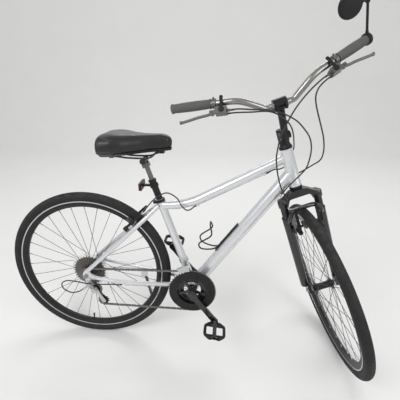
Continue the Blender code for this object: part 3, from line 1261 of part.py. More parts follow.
def brake_arm(side, plane, seat):
    """Arm in its own frame: pivot along X, arm up Z, wheel plane at Y = -side * post spacing."""
    y = side * BRAKE_POST_HALF_SPACE
    boss = rod((seat + RUN_GAP, y, 0), (plane + 0.0025, y, 0), 0.0090, sides=12)
    bar = box((plane - 0.003, y - side * 0.001, BRAKE_ARM_LENGTH / 2 - 0.004),
              (0.009, 0.011, BRAKE_ARM_LENGTH - 0.004))
    inner = RIM_HALF_WIDTH + PAD_GAP
    height = BRAKE_TRACK_RADIUS - BRAKE_PIVOT_RADIUS + 0.001
    stud = rod((plane - 0.004, y, height), (plane - 0.004, side * (inner + 0.007), height), 0.0040,
               sides=8)
    pad = box((plane - 0.009, side * (inner + 0.0045), height), (0.055, 0.009, 0.011))
    bore = rod((seat - 0.01, y, 0), (plane + 0.01, y, 0), 0.0050 + RUN_GAP, sides=12)
    made = joined(boss, bar, stud, pad)
    return cut(made, bore)


def brakes():
    front_z = math.sqrt(BRAKE_PIVOT_RADIUS ** 2 - (FRONT_BRAKE_OFFSET - FORK_RAKE) ** 2)
    rear_z = BRAKE_PIVOT_RADIUS - 0.003
    rear_turn = Matrix((STAY_OUTWARD, Vector((0, -1, 0)), STAY_DIRECTION)).transposed().to_4x4()
    places = (("front", STEER, Matrix.Translation((0, 0, front_z)), FRONT_BRAKE_OFFSET, 0.0430, 1),
              ("rear", BIKE, Matrix.Translation(REAR_AXLE + STAY_DIRECTION * rear_z) @ rear_turn,
               REAR_BRAKE_OFFSET, STAY_OFFSET + STAY_RADIUS, -1))
    for end, carrier, place, plane, seat, flip in places:
        for name, side in (("right", -1), ("left", 1)):
            made = brake_arm(side * flip, plane, seat)
            made.data.transform(place)
            pivot = place @ Vector((plane, side * flip * BRAKE_POST_HALF_SPACE, 0))
            finish(f"{end}_brake_arm_{name}", made, black_metal(), carrier, pivot)


def kickstand():
    """Leg from the plate on the left chainstay to the ground beside the rear wheel."""
    pivot = Vector(STAND_PIVOT)
    foot = STAND_MATRIX.inverted() @ Vector((STAND_FOOT[0], STAND_FOOT[1], STAND_LEG_RADIUS))
    axis = stand_axis()
    lean = math.sqrt(1 - axis.y ** 2)
    near = (RUN_GAP + 0.0115 * lean - 0.0045) / axis.y
    hub_end = pivot + axis * (near + 0.013)
    boss = rod(pivot + axis * near, hub_end, 0.0115, sides=14)
    knee = pivot + axis * (near + 0.0065)
    leg = rod(knee, foot, STAND_LEG_RADIUS, sides=10)
    turn = STAND_MATRIX.to_3x3().inverted().to_4x4()
    pad = box(foot + STAND_MATRIX.to_3x3().inverted() @ Vector((0, 0.006, 0.001 - STAND_LEG_RADIUS / 2)),
              (0.022, 0.040, STAND_LEG_RADIUS + 0.002), turn)
    finish("kickstand_leg", joined(boss, leg, pad), black_metal(), BIKE, pivot)


def cable(name, legs, carrier=BIKE):
    """Housing and bare wire in one: each leg is (radius, points), in its carrier's frame."""
    path = []
    for radius, points in legs:
        run = smooth_route(points, 2) if radius == HOUSING_RADIUS else points
        path += [(Vector(point), radius / HOUSING_RADIUS) for point in run]
    made = bent_tube([point for point, _ in path], HOUSING_RADIUS, smooth=False, detail=2,
                     radii=lambda share: path[round(share * (len(path) - 1))][1])
    finish(name, made, black_rubber(), carrier)


def pod_exit(side, shift):
    """Two points where a cable leaves a control: the brake barrel, or the shifter below it."""
    place = STEER_FRAME @ control_frame(side)
    x, y, z = (-0.0436, 0.0375, side * 0.007) if shift else (-0.0564, 0.030, 0)
    return [place @ Vector((x, y, z)), place @ Vector((x - 0.022, y, z))]


def through_stop(stop, first, second):
    centre, run = stop
    return [centre + run * first, centre + run * second]


def cables():
    """Brake and gear cables along the routes that they take with the bars turned."""
    front, rear = front_top_stop(), rear_top_stop()
    free = [(0.652, -0.097, 1.026), (0.703, -0.090, 1.028), (0.734, -0.082, 1.019),
            (0.764, -0.082, 1.000), (0.793, -0.044, 0.969), (0.819, 0.023, 0.913),
            (0.829, 0.062, 0.872),
            (0.812, 0.055, 0.825), (0.797, 0.046, 0.808), (0.774, 0.024, 0.805), (0.753, 0.006, 0.808)]
    inner = BRAKE_POST_HALF_SPACE - 0.0072
    across = REAR_AXLE + STAY_OUTWARD * (REAR_BRAKE_OFFSET - 0.003)
    over = across + STAY_DIRECTION * (BRAKE_PIVOT_RADIUS + BRAKE_ARM_LENGTH - 0.0055)
    catch = across + STAY_DIRECTION * (BRAKE_PIVOT_RADIUS + BRAKE_ARM_LENGTH - 0.0140)
    arc = [(0.438, -0.014, 0.643), (0.424, -0.028, 0.648), (0.405, -0.034, 0.672),
           (0.394, -0.032, 0.694),
           (0.356, -0.030, 0.717), (0.325, -0.031, 0.708), (0.296, -0.036, 0.686), (0.274, -0.048,
                                                                                    0.661)]
    noodle = [over + Vector((0.007, -0.058, 0.011)), over + Vector((0.0015, -0.057, 0.003)),
              over + Vector((0, -0.046, 0)), over + Vector((0, -0.026, 0))]
    cable("rear_brake_cable", [(HOUSING_RADIUS,
                                pod_exit(-1, True) + free + through_stop(front, 0.0160, 0.0068)),
                               (WIRE_RADIUS, through_stop(front, 0.0064, -0.0080)),
                               (WIRE_RADIUS, through_stop(rear, 0.0080, -0.0064)),
                               (HOUSING_RADIUS, through_stop(rear, -0.0068, -0.0150) + arc + noodle),
                               (WIRE_RADIUS, [over + Vector((0, -0.018, -0.001)),
                                              catch + Vector((0, inner, 0))])])
    free = [(0.650, -0.109, 1.035), (0.698, -0.101, 1.033), (0.751, -0.080, 1.021),
            (0.804, -0.059, 0.995), (0.833, -0.051, 0.968), (0.854, -0.049, 0.941),
            (0.864, -0.050, 0.910), (0.864, -0.053, 0.875), (0.854, -0.059, 0.835),
            (0.840, -0.056, 0.812), (0.823, -0.048, 0.787), (0.804, -0.030, 0.754)]
    along_tube = [down_stop(-1, reach)[0] for reach in (0.520, 0.300, 0.060)]
    under = [BRACKET + Vector((0.0275 * math.cos(a), -0.008, 0.0275 * math.sin(a)))
             for a in (math.radians(-50), math.radians(-80))]
    stay = [(0.410, -0.020, 0.2700), (0.330, -0.040, 0.2925), (0.250, -0.055, 0.3015),
            (0.160, -0.064, 0.3090)]
    loop = [(0.150, -0.0655, 0.3100), (0.090, -0.0730, 0.3140), (0.050, -0.0840, 0.3200),
            (0.010, -0.0925, 0.3280), (-0.035, -0.0910, 0.3340), (-0.076, -0.0890, 0.3350),
            (-0.102, -0.0870, 0.3190), (-0.101, -0.0850, 0.2920), (-0.072, -0.0825, 0.2710),
            (-0.040, -0.0805, 0.2750), (-0.0128, -0.0800, 0.2915)]
    cable("rear_shift_cable", [(HOUSING_RADIUS, pod_exit(-1, False) + free
                                + through_stop(down_stop(-1), 0.0220, 0.0068)),
                               (WIRE_RADIUS, through_stop(down_stop(-1), 0.0064, -0.0080)),
                               (WIRE_RADIUS, along_tube + under + stay), (HOUSING_RADIUS, loop)])
    free = [(0.858, -0.073, 1.099), (0.852, -0.072, 1.075), (0.860, -0.062, 1.045),
            (0.887, -0.041, 0.984), (0.908, -0.026, 0.934), (0.919, -0.012, 0.884),
            (0.915, -0.004, 0.852), (0.893, 0.022, 0.822), (0.866, 0.040, 0.795),
            (0.838, 0.046, 0.775), (0.813, 0.031, 0.757), (0.799, 0.017, 0.739)]
    along_tube = [down_stop(1, reach)[0] for reach in (0.520, 0.300, 0.060)]
    under = [BRACKET + Vector((0.0275 * math.cos(a), y, 0.0275 * math.sin(a)))
             for a, y in ((math.radians(-50), 0.006), (math.radians(-85), 0.003),
                          (math.radians(-135), -0.001))]
    rise = [(0.412, -0.003, 0.2800), (0.405, -0.004, 0.3000), (0.399, -0.006, 0.3300),
            (0.397, -0.018, 0.3550),
            (0.404, -0.030, 0.3800), (0.408, -0.033, 0.3954)]
    cable("front_shift_cable", [(HOUSING_RADIUS, pod_exit(1, True) + free
                                 + through_stop(down_stop(1), 0.0220, 0.0068)),
                                (WIRE_RADIUS, through_stop(down_stop(1), 0.0064, -0.0080)),
                                (WIRE_RADIUS, along_tube + under + rise)])
    free = [(0.826, -0.085, 1.088), (0.795, -0.088, 1.046), (0.775, -0.088, 1.008),
            (0.760, -0.084, 0.969), (0.750, -0.081, 0.935), (0.746, -0.083, 0.904),
            (0.744, -0.084, 0.876), (0.750, -0.084, 0.833), (0.759, -0.086, 0.797),
            (0.773, -0.084, 0.760), (0.795, -0.080, 0.724)]
    back = STEER_FRAME.inverted()
    plane = FRONT_BRAKE_OFFSET - 0.003
    top = math.sqrt(BRAKE_PIVOT_RADIUS ** 2 - (FRONT_BRAKE_OFFSET - FORK_RAKE) ** 2) + BRAKE_ARM_LENGTH
    down = [(plane, -0.0600, top + 0.0100), (plane, -0.0580, top + 0.0010),
            (plane, -0.0460, top - 0.0025),
            (plane, -0.0260, top - 0.0025)]
    cable("front_brake_cable", [(HOUSING_RADIUS,
                                 [back @ Vector(p) for p in pod_exit(1, False) + free] + down),
                                (WIRE_RADIUS,
                                 [(plane, -0.0180, top - 0.0035), (plane, inner, top - 0.0110)])],
          STEER)


wheels()
frame_set()
seat_clamp()
bottle_cage()
fork()
headset_cover()
stem()
handlebar()
controls()
mirror()
cassette()
cranks()
pedals()
chain()
front_derailleur()
rear_derailleur()
seatposts()
saddle()
brakes()
kickstand()
cables()


def rest_on_origin():
    """Move the whole bicycle so that the ground centre of its bounds is the origin."""
    bpy.context.view_layer.update()
    points = [made.matrix_world @ vertex.co for made in PARTS.objects if made.type == "MESH"
              for vertex in made.data.vertices]
    middle = [(min(p[i] for p in points) + max(p[i] for p in points)) / 2 for i in range(2)]
    BIKE.location -= Vector((middle[0], middle[1], min(p.z for p in points)))
    bpy.context.view_layer.update()


rest_on_origin()
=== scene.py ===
"""Silver comfort hybrid bicycle on its side stand, dressed over its solid frame.

Places along the bicycle are written in its own coordinates, with X forward, Y to the left
and Z up from the rear tyre's lowest point. The whole bicycle leans onto its stand, and
everything on the handlebar side is written along the steering axis.
"""

import json
import math

import bmesh
import bpy
from mathutils import Euler, Matrix, Vector
from mathutils.bvhtree import BVHTree

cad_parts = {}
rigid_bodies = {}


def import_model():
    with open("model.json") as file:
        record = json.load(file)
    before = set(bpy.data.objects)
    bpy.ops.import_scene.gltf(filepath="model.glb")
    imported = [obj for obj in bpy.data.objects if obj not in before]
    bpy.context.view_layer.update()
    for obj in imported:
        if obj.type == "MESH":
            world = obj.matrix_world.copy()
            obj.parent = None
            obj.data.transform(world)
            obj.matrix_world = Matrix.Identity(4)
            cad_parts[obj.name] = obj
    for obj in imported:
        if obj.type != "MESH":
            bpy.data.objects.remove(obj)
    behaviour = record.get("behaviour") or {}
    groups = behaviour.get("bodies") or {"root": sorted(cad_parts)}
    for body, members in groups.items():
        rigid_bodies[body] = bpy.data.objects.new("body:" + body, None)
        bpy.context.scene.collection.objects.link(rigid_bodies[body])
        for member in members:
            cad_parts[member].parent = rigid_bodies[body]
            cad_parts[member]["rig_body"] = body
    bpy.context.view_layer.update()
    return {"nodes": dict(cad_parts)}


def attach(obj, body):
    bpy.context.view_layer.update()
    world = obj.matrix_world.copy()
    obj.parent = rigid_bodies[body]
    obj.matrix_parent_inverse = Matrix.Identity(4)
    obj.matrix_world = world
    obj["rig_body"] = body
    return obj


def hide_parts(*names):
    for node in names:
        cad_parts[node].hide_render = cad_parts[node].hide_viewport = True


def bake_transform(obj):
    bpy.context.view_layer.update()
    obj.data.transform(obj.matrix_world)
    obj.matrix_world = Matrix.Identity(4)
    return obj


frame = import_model()
NODES = frame["nodes"]

LEAN = math.radians(3.5)
NOSE_DOWN = math.radians(0.3476)
REAR_CONTACT = Vector((-0.385291, 0.021951, 0.000042))
BIKE = Matrix.Translation(REAR_CONTACT) @ Euler((-LEAN, NOSE_DOWN, 0)).to_matrix().to_4x4()
STEER_FOOT = Vector((0.9793, 0, 0.3360))
HEAD_ANGLE = math.radians(71.0)
SEAT_ANGLE = math.radians(71.6)
STEER_TURN = math.radians(-82.7)
HEAD_TILT = Matrix.Rotation(HEAD_ANGLE - math.pi / 2, 4, "Y")
STEER = BIKE @ Matrix.Translation(STEER_FOOT) @ HEAD_TILT @ Matrix.Rotation(STEER_TURN, 4, "Z")
FORWARD = Vector((1, 0, 0))
ACROSS = Vector((0, 1, 0))
RIGHTWARD = Vector((0, -1, 0))
UPRIGHT = Vector((0, 0, 1))
PLATE_FACING_FORWARD = Matrix(((0, 0, 1), (1, 0, 0), (0, 1, 0))).to_4x4()
PLATE_FACING_SIDEWAYS = Matrix.Rotation(math.pi / 2, 4, "X")

DRESSED = bpy.data.collections.new("dressed_bicycle")
bpy.context.scene.collection.children.link(DRESSED)


# Shader groups shared by several finishes

def shader_group(name, inputs, outputs):
    """Empty group with named sockets: (name, socket kind, starting value)."""
    group = bpy.data.node_groups.new(name, "ShaderNodeTree")
    for label, kind, value in inputs:
        socket = group.interface.new_socket(label, in_out="INPUT", socket_type=kind)
        socket.default_value = value
    for label, kind in outputs:
        group.interface.new_socket(label, in_out="OUTPUT", socket_type=kind)
    return group


def node(tree, kind, **settings):
    made = tree.nodes.new(kind)
    for key, value in settings.items():
        if key in made.inputs:
            made.inputs[key].default_value = value
        else:
            setattr(made, key, value)
    return made


def noise(tree, place, scale, detail=3.0, roughness=0.55):
    made = node(tree, "ShaderNodeTexNoise", Detail=detail, Roughness=roughness)
    tree.links.new(place, made.inputs["Vector"])
    wire(tree, scale, made.inputs["Scale"])
    return made.outputs["Fac"]


def wire(tree, value, socket):
    """Link a socket, or set a plain number or colour."""
    if isinstance(value, bpy.types.NodeSocket):
        tree.links.new(value, socket)
    else:
        socket.default_value = value


def remap(tree, value, low, high, to_low=0.0, to_high=1.0):
    made = node(tree, "ShaderNodeMapRange")
    for socket, part in zip(made.inputs, (value, low, high, to_low, to_high)):
        wire(tree, part, socket)
    return made.outputs["Result"]


def mixed(tree, amount, first, second):
    made = node(tree, "ShaderNodeMix", data_type="RGBA")
    wire(tree, amount, made.inputs["Factor"])
    wire(tree, first, made.inputs[6])
    wire(tree, second, made.inputs[7])
    return made.outputs[2]


def maths(tree, operation, first, second=0.0):
    made = node(tree, "ShaderNodeMath", operation=operation)
    wire(tree, first, made.inputs[0])
    wire(tree, second, made.inputs[1])
    return made.outputs[0]


def own_place(tree):
    return tree.nodes.new("ShaderNodeTexCoord").outputs["Object"]


FLOAT = "NodeSocketFloat"
COLOUR = "NodeSocketColor"


def fine_grain_group():
    """Fine moulded or sprayed grain, with a roughness that follows it."""
    group = shader_group("fine_grain", (("Scale", FLOAT, 900.0), ("Smooth", FLOAT, 0.3),
                                        ("Rough", FLOAT, 0.5)),
                         (("Height", FLOAT), ("Roughness", FLOAT)))
    enter = group.nodes.new("NodeGroupInput").outputs
    leave = group.nodes.new("NodeGroupOutput").inputs
    place = own_place(group)
    grain = noise(group, place, enter["Scale"], detail=4.0)
    patches = noise(group, place, 14.0, detail=2.0)
    both = maths(group, "ADD", maths(group, "MULTIPLY", grain, 0.5),
                 maths(group, "MULTIPLY", patches, 0.5))
    group.links.new(grain, leave["Height"])
    group.links.new(remap(group, both, 0.35, 0.65, enter["Smooth"], enter["Rough"]),
                    leave["Roughness"])
    return group


def scuffs_group():
    """Thin scuffs and handling marks that show another colour."""
    group = shader_group("scuffs", (("Color", COLOUR, (0.1, 0.1, 0.1, 1)),
                                    ("Marked Color", COLOUR, (0.3, 0.3, 0.3, 1)),
                                    ("Amount", FLOAT, 0.3), ("Scale", FLOAT, 60.0)),
                         (("Color", COLOUR), ("Mask", FLOAT)))
    enter = group.nodes.new("NodeGroupInput").outputs
    leave = group.nodes.new("NodeGroupOutput").inputs
    place = own_place(group)
    broad = noise(group, place, enter["Scale"], detail=6.0, roughness=0.7)
    streak = noise(group, place, maths(group, "MULTIPLY", enter["Scale"], 7.0), detail=2.0)
    mark = maths(group, "MULTIPLY", remap(group, broad, 0.56, 0.72),
                 remap(group, streak, 0.42, 0.6))
    amount = maths(group, "MULTIPLY", mark, enter["Amount"])
    group.links.new(mixed(group, amount, enter["Color"], enter["Marked Color"]),
                    leave["Color"])
    group.links.new(amount, leave["Mask"])
    return group


def settled_dust_group():
    """Pale dust that gathers on what faces up."""
    group = shader_group("settled_dust", (("Color", COLOUR, (0.1, 0.1, 0.1, 1)),
                                          ("Dust Color", COLOUR, (0.42, 0.4, 0.37, 1)),
                                          ("Amount", FLOAT, 0.12)),
                         (("Color", COLOUR), ("Mask", FLOAT)))
    enter = group.nodes.new("NodeGroupInput").outputs
    leave = group.nodes.new("NodeGroupOutput").inputs
    facing = group.nodes.new("ShaderNodeSeparateXYZ")
    group.links.new(group.nodes.new("ShaderNodeNewGeometry").outputs["Normal"], facing.inputs[0])
    patches = noise(group, own_place(group), 45.0, detail=5.0, roughness=0.65)
    lying = maths(group, "MULTIPLY", remap(group, facing.outputs["Z"], 0.1, 0.95),
                  remap(group, patches, 0.35, 0.7))
    amount = maths(group, "MULTIPLY", lying, enter["Amount"])
    group.links.new(mixed(group, amount, enter["Color"], enter["Dust Color"]), leave["Color"])
    group.links.new(amount, leave["Mask"])
    return group


FINE_GRAIN = fine_grain_group()
SCUFFS = scuffs_group()
SETTLED_DUST = settled_dust_group()


def placed_group(tree, group, **values):
    made = tree.nodes.new("ShaderNodeGroup")
    made.node_tree = group
    for key, value in values.items():
        wire(tree, value, made.inputs[key.replace("_", " ")])
    return made.outputs


def new_material(name):
    """Material with its node tree and its shader."""
    made = bpy.data.materials.new(name)
    made.use_nodes = True
    return made, made.node_tree, made.node_tree.nodes["Principled BSDF"]


def raised(tree, shader, height, strength, distance):
    relief = node(tree, "ShaderNodeBump", Strength=strength, Distance=distance)
    tree.links.new(height, relief.inputs["Height"])
    tree.links.new(relief.outputs["Normal"], shader.inputs["Normal"])


def finish_material(name, colour, marked, smooth, rough, metallic=0.0, grain=900.0,
                    bump=0.15, scuffed=0.3, dusty=0.1, **constants):
    """Material with grain, scuffs and settled dust; constants go onto the shader itself."""
    made, tree, shader = new_material(name)
    shader.inputs["Metallic"].default_value = metallic
    for key, value in constants.items():
        shader.inputs[key.replace("_", " ")].default_value = value
    grains = placed_group(tree, FINE_GRAIN, Scale=grain, Smooth=smooth, Rough=rough)
    scuffs = placed_group(tree, SCUFFS, Color=(*colour, 1), Marked_Color=(*marked, 1),
                          Amount=scuffed)
    dust = placed_group(tree, SETTLED_DUST, Color=scuffs["Color"], Amount=dusty)
    tree.links.new(dust["Color"], shader.inputs["Base Color"])
    tree.links.new(maths(tree, "ADD", grains["Roughness"],
                         maths(tree, "MULTIPLY", dust["Mask"], 0.4)), shader.inputs["Roughness"])
    raised(tree, shader, grains["Height"], bump, 0.0004)
    return made


SILVER_PAINT = finish_material("silver_paint", (0.72, 0.735, 0.755), (0.56, 0.57, 0.59), 0.24, 0.34,
                               metallic=0.55, grain=3200.0, bump=0.04, scuffed=0.25, dusty=0.05,
                               Coat_Weight=0.7, Coat_Roughness=0.06)
BLACK_PAINT = finish_material("black_paint", (0.008, 0.008, 0.009), (0.06, 0.06, 0.06), 0.22, 0.36,
                              bump=0.05, scuffed=0.25, dusty=0.03, Coat_Weight=0.5,
                              Coat_Roughness=0.1)
BLACK_ALLOY = finish_material("black_alloy", (0.010, 0.010, 0.011), (0.10, 0.10, 0.10), 0.32, 0.46,
                              metallic=0.3, bump=0.08, scuffed=0.3, dusty=0.03)
SILVER_ALLOY = finish_material("silver_alloy", (0.56, 0.565, 0.575), (0.38, 0.38, 0.39), 0.22, 0.38,
                               metallic=0.9, grain=1400.0, bump=0.08, scuffed=0.4, dusty=0.05)
STEEL = finish_material("steel", (0.43, 0.43, 0.44), (0.20, 0.18, 0.15), 0.25, 0.42,
                        metallic=0.95, grain=1500.0, bump=0.08, scuffed=0.5, dusty=0.04)
BAR_ALLOY = finish_material("bar_alloy", (0.33, 0.325, 0.31), (0.20, 0.20, 0.19), 0.2, 0.34,
                            metallic=0.95, grain=1400.0, bump=0.06, scuffed=0.4, dusty=0.04)
GREY_ALLOY = finish_material("grey_alloy", (0.150, 0.150, 0.148), (0.28, 0.28, 0.275), 0.28, 0.42,
                             metallic=0.6, grain=1500.0, bump=0.1, scuffed=0.4, dusty=0.05)
DARK_STEEL = finish_material("dark_steel", (0.06, 0.06, 0.065), (0.35, 0.34, 0.32), 0.3, 0.45,
                             metallic=0.9, grain=1500.0, bump=0.08, scuffed=0.4, dusty=0.05)
OILED_STEEL = finish_material("oiled_steel", (0.20, 0.197, 0.19), (0.05, 0.047, 0.043), 0.28, 0.5,
                              metallic=0.9, grain=1100.0, bump=0.12, scuffed=0.8, dusty=0.05)
COG_STEEL = finish_material("cog_steel", (0.17, 0.16, 0.145), (0.07, 0.065, 0.055), 0.3, 0.48,
                            metallic=0.9, grain=1300.0, bump=0.1, scuffed=0.6, dusty=0.04)
TYRE_RUBBER = finish_material("tyre_rubber", (0.017, 0.017, 0.018), (0.06, 0.058, 0.054), 0.55,
                              0.8, grain=1300.0, bump=0.3, scuffed=0.5, dusty=0.1,
                              Specular_IOR_Level=0.3)
GRIP_RUBBER = finish_material("grip_rubber", (0.100, 0.100, 0.096), (0.17, 0.17, 0.165), 0.6, 0.82,
                              grain=1500.0, bump=0.3, scuffed=0.3, dusty=0.14)
CABLE_COVER = finish_material("cable_cover", (0.035, 0.035, 0.036), (0.09, 0.09, 0.09), 0.3, 0.44,
                              grain=1200.0, bump=0.06, scuffed=0.2, dusty=0.03,
                              Specular_IOR_Level=0.3)
BLACK_PLASTIC = finish_material("black_plastic", (0.011, 0.011, 0.012), (0.05, 0.05, 0.05), 0.34,
                                0.52, grain=1900.0, bump=0.2, scuffed=0.3, dusty=0.04,
                                Specular_IOR_Level=0.3)


def saddle_cover_material():
    """Black vinyl with a pebbled leather grain and a soft sheen."""
    made, tree, shader = new_material("saddle_cover")
    shader.inputs["Sheen Weight"].default_value = 0.12
    shader.inputs["Sheen Roughness"].default_value = 0.5
    place = own_place(tree)
    pebbles = node(tree, "ShaderNodeTexVoronoi", Scale=620.0, feature="SMOOTH_F1")
    tree.links.new(place, pebbles.inputs["Vector"])
    grains = placed_group(tree, FINE_GRAIN, Scale=1600.0, Smooth=0.26, Rough=0.46)
    scuffs = placed_group(tree, SCUFFS, Color=(0.009, 0.009, 0.010, 1),
                          Marked_Color=(0.035, 0.035, 0.035, 1), Amount=0.25, Scale=35.0)
    dust = placed_group(tree, SETTLED_DUST, Color=scuffs["Color"], Amount=0.03)
    tree.links.new(dust["Color"], shader.inputs["Base Color"])
    tree.links.new(grains["Roughness"], shader.inputs["Roughness"])
    raised(tree, shader, pebbles.outputs["Distance"], 0.35, 0.0005)
    return made


def clear_material(name, colour, smooth, rough, transmission, bump, scale):
    """Moulded see-through plastic with fine handling haze."""
    made, tree, shader = new_material(name)
    shader.inputs["Transmission Weight"].default_value = transmission
    shader.inputs["IOR"].default_value = 1.49
    grains = placed_group(tree, FINE_GRAIN, Scale=scale, Smooth=smooth, Rough=rough)
    scuffs = placed_group(tree, SCUFFS, Color=(*colour, 1),
                          Marked_Color=(*(part * 0.8 for part in colour), 1), Amount=0.4)
    tree.links.new(scuffs["Color"], shader.inputs["Base Color"])
    tree.links.new(grains["Roughness"], shader.inputs["Roughness"])
    raised(tree, shader, grains["Height"], bump, 0.0006)
    return made


SADDLE_COVER = saddle_cover_material()
CLEAR_PLASTIC = clear_material("clear_plastic", (0.93, 0.94, 0.95), 0.03, 0.14, 0.97, 0.05, 300.0)
RED_LENS = clear_material("red_lens", (0.16, 0.004, 0.004), 0.08, 0.16, 0.35, 0.5, 420.0)
MIRROR_GLASS = finish_material("mirror_glass", (0.74, 0.76, 0.78), (0.55, 0.57, 0.6), 0.02, 0.09,
                               metallic=1.0, bump=0.0, scuffed=0.3, dusty=0.05)


# Pieces

def shown(name, mesh, look, sharp=38.0):
    """Make a mesh visible in one finish, smooth except at its sharp edges."""
    mesh.name = name
    mesh.shade_smooth()
    mesh.set_sharp_from_angle(angle=math.radians(sharp))
    mesh.materials.clear()
    mesh.materials.append(look)
    made = bpy.data.objects.new(name, mesh)
    DRESSED.objects.link(made)
    return made


def dressed(name, mesh, look, body, stands_for=(), sharp=38.0):
    """Show a mesh, written in the row frame, as a piece on a body."""
    made = shown(name, mesh, look, sharp)
    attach(made, body)
    if stands_for:
        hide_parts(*stands_for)
    return made


def rounded(made, width, segments=2):
    bevel = made.modifiers.new("rounded_edges", "BEVEL")
    bevel.width = width
    bevel.segments = segments
    bevel.angle_limit = math.radians(38.0)
    bevel.harden_normals = True


def piece(name, shape, place, look, body, slot, stands_for=(), sharp=38.0, edge=0.0, segments=2):
    """Show a shape on a body, with its edges rounded off where their width is given."""
    made = dressed(name, new_mesh(shape, place), look, body, stands_for, sharp)
    if edge:
        rounded(made, edge, segments)


def softened(node_name, look, edge):
    """The solid's own shape with its edges rounded off."""
    source = NODES[node_name]
    shape = bmesh.new()
    shape.from_mesh(source.data)
    bmesh.ops.remove_doubles(shape, verts=shape.verts, dist=0.000002)
    bmesh.ops.dissolve_limit(shape, angle_limit=math.radians(0.6), verts=shape.verts,
                             edges=shape.edges)
    mesh = bpy.data.meshes.new(node_name)
    shape.to_mesh(mesh)
    shape.free()
    rounded(dressed(node_name + "_finished", mesh, look, source["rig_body"], (node_name,)),
            edge)


# Shapes

def new_mesh(shape, place=Matrix.Identity(4)):
    """Close off a shape and write it in the row frame."""
    bmesh.ops.remove_doubles(shape, verts=shape.verts, dist=0.000002)
    bmesh.ops.recalc_face_normals(shape, faces=shape.faces)
    mesh = bpy.data.meshes.new("shape")
    shape.to_mesh(mesh)
    shape.free()
    mesh.transform(place)
    return mesh


def vectors(points):
    return [Vector(point) for point in points]


KNOT_PAIRS = (((0, 1), (1, 2), (2, 3)), ((0, 2), (1, 3)), ((1, 2),))


def eased(points, steps=8):
    """Smooth line through the points, evenly weighted between near and far ones."""
    points = vectors(points)
    padded = [points[0] * 2 - points[1]] + points + [points[-1] * 2 - points[-2]]
    line = []
    for index in range(1, len(padded) - 2):
        before, start, end, after = padded[index - 1:index + 3]
        knots = [0.0]
        for first, second in ((before, start), (start, end), (end, after)):
            knots.append(knots[-1] + max((second - first).length, 0.0001) ** 0.5)
        for step in range(steps):
            at = knots[1] + (knots[2] - knots[1]) * step / steps
            row = [before, start, end, after]
            for level in KNOT_PAIRS:
                row = [row[i].lerp(row[i + 1], (at - knots[low]) / (knots[high] - knots[low]))
                       for i, (low, high) in enumerate(level)]
            line.append(row[0])
    return line + [points[-1]]


def skin(shape, rings, closed=False):
    """Faces between rings of corners, with flat ends unless they close."""
    pairs = list(zip(rings, rings[1:]))
    if closed:
        pairs.append((rings[-1], rings[0]))
    for first, second in pairs:
        for side, _ in enumerate(first):
            after = (side + 1) % len(first)
            shape.faces.new((first[side], first[after], second[after], second[side]))
    if not closed:
        shape.faces.new(rings[0][::-1])
        shape.faces.new(rings[-1])


def sweep(shape, line, radius, sides=16, flat=1.0, closed=False, up=None):
    """Tube along a line; radius is one number or a rule for the share of the way."""
    line = vectors(line)
    count = len(line)
    across = None
    rings = []
    for index, point in enumerate(line):
        before = line[index - 1] if index or closed else point
        after = line[(index + 1) % count] if index < count - 1 or closed else point
        along = (after - before).normalized()
        start = Vector(up) if up else (across or along.orthogonal())
        across = (start - along * start.dot(along)).normalized()
        over = along.cross(across)
        size = radius(index / (count - 1)) if callable(radius) else radius
        rings.append([shape.verts.new(point + across * math.cos(turn) * size
                                      + over * math.sin(turn) * size * flat)
                      for turn in (2 * math.pi * side / sides for side in range(sides))])
    skin(shape, rings, closed)


def rod(shape, start, end, radius, end_radius=None, sides=24):
    last = radius if end_radius is None else end_radius
    sweep(shape, (start, end), lambda share: radius + (last - radius) * share, sides)


def turned(shape, profile, start, along, steps=48):
    """Turn (distance along, radius) pairs round a line; an open end is closed flat."""
    start, along = Vector(start), Vector(along).normalized()
    across = along.orthogonal().normalized()
    over = along.cross(across)
    closed = profile[0] == profile[-1]
    rings = [[shape.verts.new(start + along * reach + (across * math.cos(turn)
                                                       + over * math.sin(turn)) * radius)
              for turn in (2 * math.pi * step / steps for step in range(steps))]
             for reach, radius in (profile[:-1] if closed else profile)]
    skin(shape, rings, closed)


def collar(shape, start, along, span, bore, radius, steps, chamfer=(0.0, 0.0)):
    """Ring over a span of its axis; its outer corners are cut by a depth and a length."""
    low, high = span
    depth, length = chamfer
    outside = [(low, radius), (high, radius)]
    if depth:
        outside = [(low, radius - depth), (low + length, radius), (high - length, radius),
                   (high, radius - depth)]
    turned(shape, [(low, bore), *outside, (high, bore), (low, bore)], start, along, steps)


def block(shape, centre, size, turn=Matrix.Identity(4)):
    place = Matrix.Translation(centre) @ turn @ Matrix.Diagonal((*size, 1))
    bmesh.ops.create_cube(shape, size=1, matrix=place)


def plate(shape, outline, thickness, place):
    """Flat plate whose outline is drawn in the X and Y of a place."""
    rings = [[shape.verts.new(place @ Vector((x, y, level))) for x, y in outline]
             for level in (-thickness / 2, thickness / 2)]
    skin(shape, rings)


def arc(radius, start, end, steps):
    """Points at even steps along an arc."""
    turns = [start + (end - start) * step / steps for step in range(steps + 1)]
    return [(radius * math.cos(turn), radius * math.sin(turn)) for turn in turns]


def cap_bolt(shape, centre, outward, radius=0.003, height=0.003):
    """Round bolt head with a round socket."""
    outward = Vector(outward).normalized()
    base = Vector(centre)
    turned(shape, [(0, radius * 0.98), (height * 0.8, radius), (height, radius * 0.88),
                   (height, radius * 0.56), (height * 0.35, radius * 0.5)], base, outward, 24)


BEAD_STEPS = 90
BEAD_RIPPLES = 46


